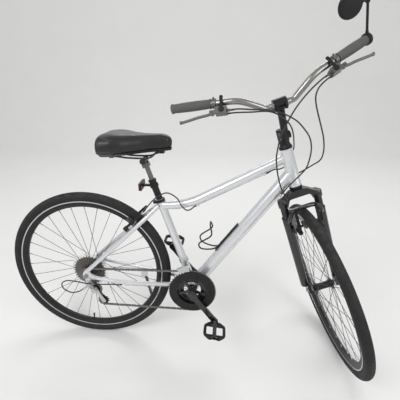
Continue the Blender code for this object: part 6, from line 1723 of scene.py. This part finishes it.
def brake_arm(side, plane, seat):
    """Linear-pull arm with its pivot bolt, spring, pad, pad bolt and dished washers."""
    y = side * BRAKE_POST_SIDE
    height = BRAKE_TRACK_RADIUS - BRAKE_PIVOT_RADIUS + 0.001
    inner = 0.0122 + 0.0020
    shape = bmesh.new()
    turned(shape, [(seat + 0.0004, 0.0054), (seat + 0.0004, 0.0086), (seat + 0.0030, 0.0090),
                   (plane + 0.0015, 0.0090), (plane + 0.0025, 0.0082), (plane + 0.0025, 0.0054),
                   (seat + 0.0004, 0.0054)], (0, y, 0), FORWARD, 32)
    top = BRAKE_ARM_LENGTH - 0.0060
    half = [(-0.0065, -0.006), (-0.0055, 0.014), (-0.0062, height), (-0.0050, 0.050),
            (-0.0042, top - 0.006), (-0.0032, top)]
    plate(shape, half + [(-x, z) for x, z in half[::-1]], 0.0088,
          Matrix.Translation((plane - BRAKE_ARM_SETBACK, y - side * 0.001, 0))
          @ PLATE_FACING_FORWARD)
    rod(shape, (plane - 0.004, y + side * 0.0045, height),
        (plane - 0.004, side * (inner + 0.007), height), 0.0034)
    for reach, radius in ((0.0055, 0.0062), (0.0092, 0.0056)):
        turned(shape, [(0, 0.0034), (0, radius), (0.0016, radius - 0.0010), (0.0016, 0.0034),
                       (0, 0.0034)], (plane - 0.004, y - side * (reach + 0.0035), height),
               ACROSS * side, 24)
    cap_bolt(shape, (plane - 0.004, y + side * 0.0046, height), ACROSS * side, 0.0038, 0.0026)
    cap_bolt(shape, (plane + 0.0018, y, 0), FORWARD, 0.0050, 0.0022)
    pad = bmesh.new()
    block(pad, (plane - 0.009, side * (inner + 0.0066), height), (0.0530, 0.0042, 0.0100))
    for piece in range(4):
        block(pad, (plane - 0.009 + (piece - 1.5) * 0.0136, side * (inner + 0.0025), height),
              (0.0124, 0.0046, 0.0106))
    spring = bmesh.new()
    sweep(spring, eased([(seat + 0.0030, y + side * 0.0098, -0.004),
                         (seat + 0.0034, y + side * 0.0100, 0.012),
                         (seat + 0.0050, y + side * 0.0070, 0.040),
                         (plane - 0.0085, y + side * 0.0020, 0.060)], 5), 0.0009, 8)
    return shape, pad, spring


FRONT_BRAKE_HEIGHT = math.sqrt(BRAKE_PIVOT_RADIUS ** 2 - (FRONT_BRAKE_PLANE - FRONT_AXLE.x) ** 2)
REAR_BRAKE_PLACE = (Matrix.Translation(REAR_AXLE + STAY_DIRECTION * (BRAKE_PIVOT_RADIUS - 0.003))
                    @ Matrix((STAY_OUTWARD, RIGHTWARD, STAY_DIRECTION)).transposed().to_4x4())
BRAKE_PLACES = (("front", STEER @ Matrix.Translation((0, 0, FRONT_BRAKE_HEIGHT)),
                 FRONT_BRAKE_PLANE, 0.0430, 1),
                ("rear", BIKE @ REAR_BRAKE_PLACE, REAR_BRAKE_PLANE, 0.0210, -1))


def stand_leg():
    """Side stand: hinge boss, spring cover, leg and a moulded foot."""
    back = BIKE.inverted()
    foot = back @ STAND_FOOT
    down = (foot - STAND_PIVOT).normalized()
    change = (down - STAND_FOLDED).normalized()
    axis = (ACROSS - change * change.y).normalized()
    near = (0.0004 + 0.0115 * math.sqrt(1 - axis.y ** 2) - 0.0045) / axis.y
    knee = STAND_PIVOT + axis * (near + 0.0065)
    shape = bmesh.new()
    turned(shape, [(near, 0.0001), (near, 0.0110), (near + 0.0006, 0.0115), (near + 0.0122, 0.0115),
                   (near + 0.0130, 0.0108), (near + 0.0130, 0.0060), (near + 0.0118, 0.0054),
                   (near + 0.0118, 0.0001)], STAND_PIVOT, axis, 40)
    line = [knee, knee.lerp(foot, 0.06), knee.lerp(foot, 0.5), foot]
    sweep(shape, line, lambda share: 0.0070 if share > 0.1 else 0.0084, 24)
    rubber = bmesh.new()
    level = back.to_3x3().to_4x4()
    block(rubber, foot + back.to_3x3() @ Vector((0, 0.006, -0.0020)), (0.0220, 0.0400, 0.0082),
          level)
    for rib in range(5):
        block(rubber, foot + back.to_3x3() @ Vector((0, -0.010 + 0.008 * rib, -0.0062)),
              (0.0210, 0.0040, 0.0016), level)
    for ring in range(4):
        rod(rubber, foot.lerp(knee, 0.055 + 0.020 * ring), foot.lerp(knee, 0.066 + 0.020 * ring),
            0.0082)
    return shape, rubber


def cage_wire():
    """Bottle cage: one bent wire on a slotted strip, with its two frame bolts."""
    shape = bmesh.new()
    run = (DOWN_TUBE_END - BRACKET).normalized()
    away = Vector((-run.z, 0, run.x))
    turn = Matrix.Rotation(-math.atan2(run.z, run.x), 4, "Y")

    def at(reach, side, height):
        return BRACKET + run * reach + away * height + ACROSS * side

    half = [(0.215, 0.004, 0.0260), (0.196, 0.014, 0.0420), (0.178, 0.030, 0.0860),
            (0.192, 0.034, 0.1040), (0.255, 0.036, 0.0880), (0.278, 0.020, 0.1110)]
    line = [at(s, y, n) for s, y, n in half] + [at(0.282, 0, 0.1150)]
    line += [at(s, -y, n) for s, y, n in half[::-1]]
    sweep(shape, eased(line, 7), 0.0030, 16)
    seat = DOWN_TUBE_RADIUS + 0.0024
    for side in (-1, 1):
        block(shape, at(0.270, side * 0.0068, seat), (0.1500, 0.0044, 0.0040), turn)
    for reach, length in ((0.202, 0.014), (0.238, 0.012), (0.304, 0.012), (0.338, 0.014)):
        block(shape, at(reach, 0, seat), (length, 0.0120, 0.0036), turn)
    for reach in (0.238, 0.304):
        cap_bolt(shape, at(reach, 0, seat + 0.0016), away, 0.0044, 0.0030)
    return shape


def release_lever(centre, outside):
    """Cam lever of a quick release, with its curved blade and the cup beside the dropout."""
    shape = bmesh.new()
    x, _, z = centre
    middle = outside + 0.0094
    rod(shape, (x - 0.009, middle, z), (x + 0.009, middle, z), 0.0080, sides=36)
    sweep(shape, eased([(x, middle, z), (x - 0.008, middle + 0.005, z - 0.022),
                        (x - 0.016, middle + 0.004, z - 0.050)], 8),
          lambda share: 0.0042 + 0.0008 * math.sin(math.pi * share), 20, flat=0.8, up=ACROSS)
    for end in (-1, 1):
        cap_bolt(shape, (x + end * 0.0084, middle, z), FORWARD * end, 0.0040, 0.0012)
    return shape


def wheel_axle(centre, inner, right_out, left_out):
    """Fixed axle with hexagonal lock nuts and a domed nut at its right end."""
    shape = bmesh.new()
    x, _, z = centre
    middle = Vector((x, 0, z))
    rod(shape, middle + RIGHTWARD * right_out, middle + ACROSS * left_out, 0.0046, sides=24)
    for start, end in ((-inner, -inner + 0.006), (inner - 0.006, inner)):
        rod(shape, middle + ACROSS * start, middle + ACROSS * end, 0.0090, sides=6)
    turned(shape, [(right_out - 0.0080, 0.0046), (right_out - 0.0080, 0.0090),
                   (right_out - 0.0030, 0.0090), (right_out, 0.0066), (right_out, 0.0046)],
           middle, RIGHTWARD, 6)
    turned(shape, [(right_out - 0.0080, 0.0080), (right_out - 0.0080, 0.0090),
                   (right_out - 0.0066, 0.0090), (right_out - 0.0066, 0.0080)], middle,
           RIGHTWARD, 32)
    return shape


piece("seatpost_sleeve", seatpost_tube(), BIKE, BLACK_ALLOY, "seatpost", "black_alloy",
      ("seatpost_outer",), edge=0.0003)
piece("seatpost_clamp_head", seatpost_head(), BIKE, GREY_ALLOY, "seatpost_plunger",
      "black_alloy", ("seatpost_inner",), edge=0.0012)
piece("reflector_bracket", reflector_bracket(), BIKE, BLACK_PLASTIC, "seatpost",
      "black_plastic", ("rear_reflector",), edge=0.0008)
piece("reflector_lens", reflector_lens(), BIKE, RED_LENS, "seatpost", "red_lens", edge=0.0005)
piece("saddle_rail_pair", saddle_rail_pair(), BIKE, DARK_STEEL, "saddle", "steel",
      ("saddle_rails",))
piece("seat_collar", clamp_collar(), BIKE, BLACK_ALLOY, "frame", "black_alloy", ("seat_clamp",),
      edge=0.0004)
for end, place, plane, seat, flip in BRAKE_PLACES:
    for hand, side in (("right", -1), ("left", 1)):
        body = f"{end}_brake_arm_{hand}"
        arm, pad, spring = brake_arm(side * flip, plane, seat)
        piece(f"{body}_forging", arm, place, BLACK_ALLOY, body, "black_alloy", (body,),
              edge=0.0005)
        piece(f"{body}_pad", pad, place, GRIP_RUBBER, body, "grip_rubber", edge=0.0005)
        piece(f"{body}_spring", spring, place, STEEL, body, "steel")
leg, foot_rubber = stand_leg()
piece("stand_leg", leg, BIKE, BLACK_ALLOY, "kickstand", "black_alloy", ("kickstand_leg",))
piece("stand_foot", foot_rubber, BIKE, GRIP_RUBBER, "kickstand", "grip_rubber", edge=0.0006)
piece("bottle_cage_wire", cage_wire(), BIKE, BLACK_PLASTIC, "frame", "black_plastic",
      ("bottle_cage",), edge=0.0004)

for name, centre, place, body, half, out, nut in (
        ("rear", REAR_AXLE, BIKE, "frame", REAR_HALF_SPACE, REAR_OUTSIDE, 0.0125),
        ("front", FRONT_AXLE, STEER, "fork_lowers", 0.0500, 0.0620, 0.009)):
    piece(f"{name}_wheel_axle", wheel_axle(centre, half - 0.0004, out + nut, out + 0.001), place,
          STEEL, body, "steel", (f"{name}_axle",))
    piece(f"{name}_release_lever", release_lever(centre, out), place, BLACK_ALLOY,
          f"{name}_quick_release", "black_alloy", (f"{name}_quick_release",))


# Cables

HOUSING_RADIUS = 0.0025
WIRE_RADIUS = 0.0011
LINE_STEPS = 6
STEER_PLACE = BIKE.inverted() @ STEER


def pod_exit(side, lower_pod):
    """Two points where a cable leaves a control."""
    x, y, z = (-0.0436, 0.0375, side * 0.007) if lower_pod else (-0.0564, 0.030, 0)
    place = STEER_PLACE @ control_place(side)
    return [place @ Vector((x, y, z)), place @ Vector((x - 0.022, y, z))]


def through_stop(stop, first, second):
    centre, run = stop
    return [centre + run * first, centre + run * second]


def cable_piece(name, line, radius, look, bodies, stands_for=(), caps=(False, False)):
    """Housing or wire on one body, or one that runs between two bodies and stays fixed where it is
    drawn, from its first point to its last.
    """
    shape = bmesh.new()
    sweep(shape, line, radius, 14)
    for capped, end, inner in ((caps[0], line[0], line[1]), (caps[1], line[-1], line[-2])):
        if capped:
            into = (Vector(inner) - Vector(end)).normalized()
            turned(shape, [(-0.0004, 0.0001), (-0.0004, 0.0024), (0.0004, 0.0031), (0.0090, 0.0031),
                           (0.0098, 0.0026), (0.0098, 0.0001)], end, into, 20)
    mesh = new_mesh(shape, BIKE)
    if len(bodies) == 1:
        dressed(name, mesh, look, bodies[0], stands_for)
        return
    made = shown(name, mesh, look)
    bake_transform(made)
    if stands_for:
        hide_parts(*stands_for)


def housing_loop(name, node_name, low_body, points, split, low_caps=True):
    """Loop of housing from a control to its stop, in two pieces that part at one of its points."""
    line = eased(points, LINE_STEPS)
    middle = split * LINE_STEPS
    cable_piece(f"{name}_upper_loop", line[middle::-1], HOUSING_RADIUS, CABLE_COVER,
                ("steering", "handlebar"), caps=(False, True))
    cable_piece(f"{name}_lower_loop", line[:middle - 1:-1], HOUSING_RADIUS, CABLE_COVER,
                (low_body, "steering"), (node_name,), caps=(low_caps, False))


def noodle(name, points, body):
    """Bent steel guide tube at the end of a brake housing."""
    cable_piece(name, eased(points, LINE_STEPS), 0.0024, SILVER_ALLOY, (body,),
                caps=(True, False))


def bellows(name, start, end, body):
    """Ribbed rubber boot over the wire between the two brake arms."""
    along = (end - start).normalized()
    length = (end - start).length
    profile = [(0, 0.0001)]
    for fold in range(7):
        at = length * fold / 7
        profile += [(at + 0.0002, 0.0028), (at + length * 0.5 / 7, 0.0041)]
    shape = bmesh.new()
    turned(shape, [*profile, (length, 0.0028), (length, 0.0001)], start, along, 20)
    piece(name, shape, BIKE, GRIP_RUBBER, body, "grip_rubber")


def inner_wire(name, start, end, bodies):
    """Short bare wire on one body, or from one body to another."""
    cable_piece(name, [start, end], WIRE_RADIUS, STEEL, bodies)


def bare_wire(name, line):
    cable_piece(name, line, WIRE_RADIUS, STEEL, ("frame",))


def rear_housing(name, line, far_cap):
    """Housing that stays on the frame."""
    cable_piece(name, eased(line, LINE_STEPS), HOUSING_RADIUS, CABLE_COVER,
                ("frame",), caps=(True, far_cap))


def along_down_tube(turn):
    return [under_stop(BRACKET, DOWN_TUBE_END, reach, DOWN_TUBE_RADIUS, turn)[0]
            for reach in (0.520, 0.300, 0.060)]


def round_bracket(places):
    """Points of a wire under the bracket shell, from (degrees round it, place across)."""
    return [BRACKET + Vector((0.0275 * math.cos(math.radians(turn)), y,
                              0.0275 * math.sin(math.radians(turn)))) for turn, y in places]


FREE_REAR_BRAKE = [(0.652, -0.097, 1.026), (0.703, -0.090, 1.028), (0.734, -0.082, 1.019),
                   (0.764, -0.082, 1.000), (0.793, -0.044, 0.969), (0.819, 0.023, 0.913),
                   (0.829, 0.062, 0.872), (0.812, 0.055, 0.825), (0.797, 0.046, 0.808),
                   (0.774, 0.024, 0.805), (0.753, 0.006, 0.808)]
FREE_REAR_SHIFT = [(0.650, -0.109, 1.035), (0.698, -0.101, 1.033), (0.751, -0.080, 1.021),
                   (0.804, -0.059, 0.995), (0.833, -0.051, 0.968), (0.854, -0.049, 0.941),
                   (0.864, -0.050, 0.910), (0.864, -0.053, 0.875), (0.854, -0.059, 0.835),
                   (0.840, -0.056, 0.812), (0.823, -0.048, 0.787), (0.804, -0.030, 0.754)]
FREE_FRONT_SHIFT = [(0.858, -0.073, 1.099), (0.852, -0.072, 1.075), (0.860, -0.062, 1.045),
                    (0.887, -0.041, 0.984), (0.908, -0.026, 0.934), (0.919, -0.012, 0.884),
                    (0.915, -0.004, 0.852), (0.893, 0.022, 0.822), (0.866, 0.040, 0.795),
                    (0.838, 0.046, 0.775), (0.813, 0.031, 0.757), (0.799, 0.017, 0.739)]
FREE_FRONT_BRAKE = [(0.826, -0.085, 1.088), (0.795, -0.088, 1.046), (0.775, -0.088, 1.008),
                    (0.760, -0.084, 0.969), (0.750, -0.081, 0.935), (0.746, -0.083, 0.904),
                    (0.744, -0.084, 0.876), (0.750, -0.084, 0.833), (0.759, -0.086, 0.797),
                    (0.773, -0.084, 0.760), (0.795, -0.080, 0.724)]
TOP_STOP, REAR_STOP, RIGHT_STOP, LEFT_STOP = STOPS
CATCH_SIDE = BRAKE_POST_SIDE - 0.0072


def rear_brake_cable():
    housing_loop("rear_brake", "rear_brake_cable", "frame",
                 pod_exit(-1, True) + FREE_REAR_BRAKE + through_stop(TOP_STOP, 0.0160, 0.0068), 7)
    bare_wire("rear_brake_wire", through_stop(TOP_STOP, 0.0064, -0.0080)
              + through_stop(REAR_STOP, 0.0080, -0.0064))
    across = REAR_AXLE + STAY_OUTWARD * (REAR_BRAKE_PLANE - BRAKE_ARM_SETBACK)
    over = across + STAY_DIRECTION * (BRAKE_PIVOT_RADIUS + BRAKE_ARM_LENGTH - 0.0055)
    catch = across + STAY_DIRECTION * (BRAKE_PIVOT_RADIUS + BRAKE_ARM_LENGTH - 0.0140)
    route = [(0.438, -0.014, 0.643), (0.424, -0.028, 0.648), (0.405, -0.034, 0.672),
           (0.394, -0.032, 0.694), (0.356, -0.030, 0.717), (0.325, -0.031, 0.708),
           (0.296, -0.036, 0.686), (0.274, -0.048, 0.661)]
    bend = [over + Vector((0.007, -0.058, 0.011)), over + Vector((0.0015, -0.057, 0.003)),
            over + Vector((0, -0.046, 0)), over + Vector((0, -0.026, 0))]
    rear_housing("rear_brake_housing",
                 through_stop(REAR_STOP, -0.0068, -0.0150) + route + bend[:1], False)
    noodle("rear_brake_noodle", bend, "frame")
    bellows("rear_brake_boot", bend[3], over + Vector((0, 0.0060, -0.0030)), "frame")
    inner_wire("rear_brake_inner_wire", over + Vector((0, 0.0040, -0.0025)),
               catch + ACROSS * CATCH_SIDE, ("frame", "rear_brake_arm_left"))


def rear_shift_cable():
    housing_loop("rear_shift", "rear_shift_cable", "frame",
                 pod_exit(-1, False) + FREE_REAR_SHIFT
                 + through_stop(RIGHT_STOP, 0.0220, 0.0068), 8)
    stay = [(0.410, -0.020, 0.2700), (0.330, -0.040, 0.2925), (0.250, -0.055, 0.3015),
            (0.160, -0.064, 0.3090)]
    loop = [(0.150, -0.0655, 0.3100), (0.090, -0.0730, 0.3140), (0.050, -0.0840, 0.3200),
            (0.010, -0.0925, 0.3280), (-0.035, -0.0910, 0.3340), (-0.076, -0.0890, 0.3350),
            (-0.102, -0.0870, 0.3190), (-0.101, -0.0850, 0.2920), (-0.072, -0.0825, 0.2710),
            (-0.040, -0.0805, 0.2750), (-0.0128, -0.0800, 0.2915)]
    bare_wire("rear_shift_wire", through_stop(RIGHT_STOP, 0.0064, -0.0080)
              + along_down_tube(-DOWN_STOP_TURN) + round_bracket(((-50, -0.008), (-80, -0.008)))
              + stay)
    rear_housing("rear_shift_housing", loop, True)


def front_shift_cable():
    housing_loop("front_shift", "front_shift_cable", "frame",
                 pod_exit(1, True) + FREE_FRONT_SHIFT + through_stop(LEFT_STOP, 0.0220, 0.0068), 7)
    rise = [(0.412, -0.003, 0.2800), (0.405, -0.004, 0.3000), (0.399, -0.006, 0.3300),
            (0.397, -0.018, 0.3550), (0.404, -0.030, 0.3800), (0.408, -0.033, 0.3954)]
    bare_wire("front_shift_wire", through_stop(LEFT_STOP, 0.0064, -0.0080)
              + along_down_tube(DOWN_STOP_TURN)
              + round_bracket(((-50, 0.006), (-85, 0.003), (-135, -0.001))) + rise)


def front_brake_cable():
    plane = FRONT_BRAKE_PLANE - BRAKE_ARM_SETBACK
    top = FRONT_BRAKE_HEIGHT + BRAKE_ARM_LENGTH
    bend = [STEER_PLACE @ Vector(point) for point in (
        (plane, -0.0600, top + 0.0100), (plane, -0.0580, top + 0.0010),
        (plane, -0.0460, top - 0.0025), (plane, -0.0260, top - 0.0025))]
    housing_loop("front_brake", "front_brake_cable", "fork_lowers",
                 pod_exit(1, False) + FREE_FRONT_BRAKE + bend[:1], 7, False)
    noodle("front_brake_noodle", bend, "fork_lowers")
    boot_end = STEER_PLACE @ Vector((plane, 0.0060, top - 0.0055))
    bellows("front_brake_boot", bend[3], boot_end, "fork_lowers")
    inner_wire("front_brake_inner_wire", STEER_PLACE @ Vector((plane, 0.0040, top - 0.0052)),
               STEER_PLACE @ Vector((plane, CATCH_SIDE, top - 0.0110)),
               ("fork_lowers", "front_brake_arm_left"))


rear_brake_cable()
rear_shift_cable()
front_shift_cable()
front_brake_cable()


# Saddle

SADDLE_SWELL_LIMIT = 0.004
SADDLE_REAR = 0.1080
SADDLE_LENGTH = 0.2720
SADDLE_STATIONS = ((0.0, 0.90, 0.92), (0.02, 0.98, 0.99), (0.08, 1.0, 1.0), (0.22, 0.98, 0.99),
                   (0.34, 0.82, 0.92), (0.46, 0.55, 0.83), (0.60, 0.29, 0.75), (0.74, 0.13, 0.71),
                   (0.88, 0.03, 0.69), (0.965, -0.10, 0.60), (1.0, -0.38, 0.42))


def saddle_point(share, height_turn, side):
    """Point on the saddle at a share of its length and a turn up its flank."""
    spans = zip(SADDLE_STATIONS, SADDLE_STATIONS[1:])
    for (low, low_width, low_crown), (high, wide, crown) in spans:
        if share <= high:
            part = (share - low) / (high - low)
            width = low_width + (wide - low_width) * part
            rise = low_crown + (crown - low_crown) * part
            break
    half = 0.0260 + width * 0.0770
    edge = 0.8690 + share * SADDLE_LENGTH * 0.0772
    if height_turn < 0:
        return Vector((SADDLE_REAR + share * SADDLE_LENGTH, side * half * (1 + 0.1 * height_turn),
                       edge + 0.25 * rise * 0.069 * (1 + height_turn)))
    lift = 0.25 + 0.75 * math.sin(height_turn) ** 0.65
    return Vector((SADDLE_REAR + share * SADDLE_LENGTH,
                   side * half * max(math.cos(height_turn), 0) ** 0.5,
                   edge + rise * 0.069 * lift))


def saddle_form():
    """Smooth shape of the saddle: broad and square behind, with a long nose."""
    shape = bmesh.new()
    flank = [-1.0, -0.5] + [math.radians(9 * step) for step in range(10)]
    rings = []
    for share in [step / 40 for step in range(41)]:
        right = [saddle_point(share, turn, -1) for turn in flank]
        left = [saddle_point(share, turn, 1) for turn in flank[:-1]]
        rings.append([shape.verts.new(point) for point in right + left[::-1]])
    skin(shape, rings)
    return new_mesh(shape, BIKE)


def puffed(mesh, start_size, cell, frames):
    """Padded form: the shape, shrunk a little and swollen by cloth pressure."""
    centre = sum((v.co for v in mesh.vertices), Vector()) / len(mesh.vertices)
    mesh.transform(Matrix.Translation(centre) @ Matrix.Scale(start_size, 4)
                   @ Matrix.Translation(-centre))
    made = bpy.data.objects.new("padded_form", mesh)
    DRESSED.objects.link(made)
    bpy.context.view_layer.objects.active = made
    remesh = made.modifiers.new("even_faces", "REMESH")
    remesh.mode = "VOXEL"
    remesh.voxel_size = cell
    bpy.ops.object.modifier_apply(modifier=remesh.name)
    before = [v.co.copy() for v in made.data.vertices]
    cloth = made.modifiers.new("swelling", "CLOTH")
    cloth.settings.use_pressure = True
    cloth.settings.uniform_pressure_force = 4.0
    cloth.settings.tension_stiffness = 30
    cloth.settings.compression_stiffness = 30
    cloth.settings.effector_weights.gravity = 0
    cloth.collision_settings.use_collision = False
    for step in range(1, frames + 1):
        bpy.context.scene.frame_set(step)
    bpy.ops.object.modifier_apply(modifier=cloth.name)
    bpy.context.scene.frame_set(1)
    for vertex, start in zip(made.data.vertices, before):
        move = vertex.co - start
        if move.length > SADDLE_SWELL_LIMIT:
            vertex.co = start + move.normalized() * SADDLE_SWELL_LIMIT
    return made


def saddle_cover():
    form = puffed(saddle_form(), 0.975, 0.0045, 20)
    smooth = form.modifiers.new("eased", "SMOOTH")
    smooth.factor = 0.6
    smooth.iterations = 6
    bpy.context.view_layer.objects.active = form
    bpy.ops.object.modifier_apply(modifier=smooth.name)
    mesh = form.data.copy()
    bpy.data.objects.remove(form)
    made = dressed("saddle_padding", mesh, SADDLE_COVER, "saddle", ("saddle",),
                   180.0)
    finer = made.modifiers.new("finer", "SUBSURF")
    finer.levels = 1
    finer.render_levels = 1
    return mesh


def saddle_seams(mesh):
    """Sewn seams: the top panel, the rear corner panels and the piping round the lower edge."""
    surface = BVHTree.FromPolygons([vertex.co for vertex in mesh.vertices],
                                   [face.vertices for face in mesh.polygons])
    shape = bmesh.new()
    stitches = bmesh.new()
    for side in (-1, 1):
        top = [(0.05 + 0.85 * step / 30,
                math.radians(56 - 30 * math.sin(math.pi * min(1, step / 26)) ** 1.2))
               for step in range(31)]
        corner = [(0.05 + 0.045 * step / 12, math.radians(56 - 56 * step / 12))
                  for step in range(13)]
        piping = [(0.015 + 0.96 * step / 50, -0.35) for step in range(51)]
        for path, size in ((top, 0.0013), (corner, 0.0012), (piping, 0.0015)):
            line = []
            for share, turn in path:
                spot, normal, _, _ = surface.find_nearest(BIKE @ saddle_point(share, turn, side))
                line.append(spot + normal * 0.0002)
            sweep(shape, line, size, 8)
            if path is piping:
                continue
            for before, after in zip(line[1:-1], line[2:]):
                spot, normal, _, _ = surface.find_nearest((before + after) / 2)
                aside = (after - before).cross(normal).normalized() * 0.0022
                for way in (-1, 1):
                    start = before.lerp(after, 0.2) + aside * way
                    end = before.lerp(after, 0.8) + aside * way
                    rod(stitches, start + normal * 0.0001, end + normal * 0.0001, 0.0004, sides=6)
    dressed("saddle_seams", new_mesh(shape), SADDLE_COVER, "saddle")
    dressed("saddle_stitches", new_mesh(stitches), GRIP_RUBBER, "saddle")


softened("saddle_base", BLACK_PLASTIC, 0.0005)
saddle_seams(saddle_cover())


# Stage, light and camera

def stage_floor():
    """Pale floor that curves up into a backdrop."""
    profile = [(-2.2, 0.0), (3.0, 0.0)]
    for step in range(1, 13):
        turn = math.radians(7.5 * step)
        profile.append((3.0 + 1.2 * math.sin(turn), 1.2 - 1.2 * math.cos(turn)))
    profile.append((4.2, 6.0))
    shape = bmesh.new()
    rows = [[shape.verts.new((side, y, z)) for y, z in profile] for side in (-7.0, 7.0)]
    for index in range(len(profile) - 1):
        shape.faces.new((rows[0][index], rows[1][index], rows[1][index + 1], rows[0][index + 1]))
    mesh = bpy.data.meshes.new("studio_floor")
    shape.to_mesh(mesh)
    shape.free()
    mesh.shade_smooth()
    made = bpy.data.objects.new("studio_floor", mesh)
    bpy.context.scene.collection.objects.link(made)
    look, tree, shader = new_material("pale_floor")
    mottle = noise(tree, own_place(tree), 3.0)
    tree.links.new(mixed(tree, mottle, (0.86, 0.857, 0.85, 1), (0.90, 0.897, 0.89, 1)),
                   shader.inputs["Base Color"])
    shader.inputs["Roughness"].default_value = 0.6
    mesh.materials.append(look)


def soft_lamp(name, place, aim, width, height, power):
    light = bpy.data.lights.new(name, "AREA")
    light.shape = "RECTANGLE"
    light.size = width
    light.size_y = height
    light.energy = power
    made = bpy.data.objects.new(name, light)
    made.location = place
    made.rotation_euler = (Vector(aim) - Vector(place)).to_track_quat("-Z", "Y").to_euler()
    bpy.context.scene.collection.objects.link(made)


def studio_light():
    soft_lamp("key_softbox", (-1.9, -2.4, 3.0), (0, 0, 0.5), 2.2, 1.6, 60.0)
    soft_lamp("fill_softbox", (2.6, -1.8, 2.0), (0, 0, 0.5), 1.6, 1.6, 24.0)
    soft_lamp("back_strip", (0.4, 2.4, 2.9), (0, 0, 0.6), 3.0, 0.6, 30.0)
    world = bpy.data.worlds.new("pale_room")
    world.use_nodes = True
    sky = world.node_tree.nodes["Background"]
    sky.inputs["Color"].default_value = (1.0, 1.0, 1.0, 1)
    sky.inputs["Strength"].default_value = 0.58
    bpy.context.scene.world = world


CAMERA_PLACE = Vector((0.5683, -1.1497, 1.1320))
CAMERA_YAW = math.radians(4.547)
CAMERA_PITCH = math.radians(21.39)
CAMERA_ROLL = math.radians(-0.06)
SENSOR_WIDTH = 36.0
FOCAL_LENGTH = 28.35


def photo_camera():
    """The photograph's view, measured against the bicycle itself."""
    data = bpy.data.cameras.new("photo_view")
    data.sensor_width = SENSOR_WIDTH
    data.lens = FOCAL_LENGTH
    made = bpy.data.objects.new("photo_view", data)
    turn = (Matrix.Rotation(CAMERA_YAW, 4, "Z")
            @ Matrix.Rotation(math.pi / 2 - CAMERA_PITCH, 4, "X")
            @ Matrix.Rotation(CAMERA_ROLL, 4, "Z"))
    made.matrix_world = BIKE @ Matrix.Translation(CAMERA_PLACE) @ turn
    bpy.context.scene.collection.objects.link(made)
    bpy.context.scene.camera = made


stage_floor()
studio_light()
photo_camera()
bpy.context.scene.view_settings.view_transform = "Standard"
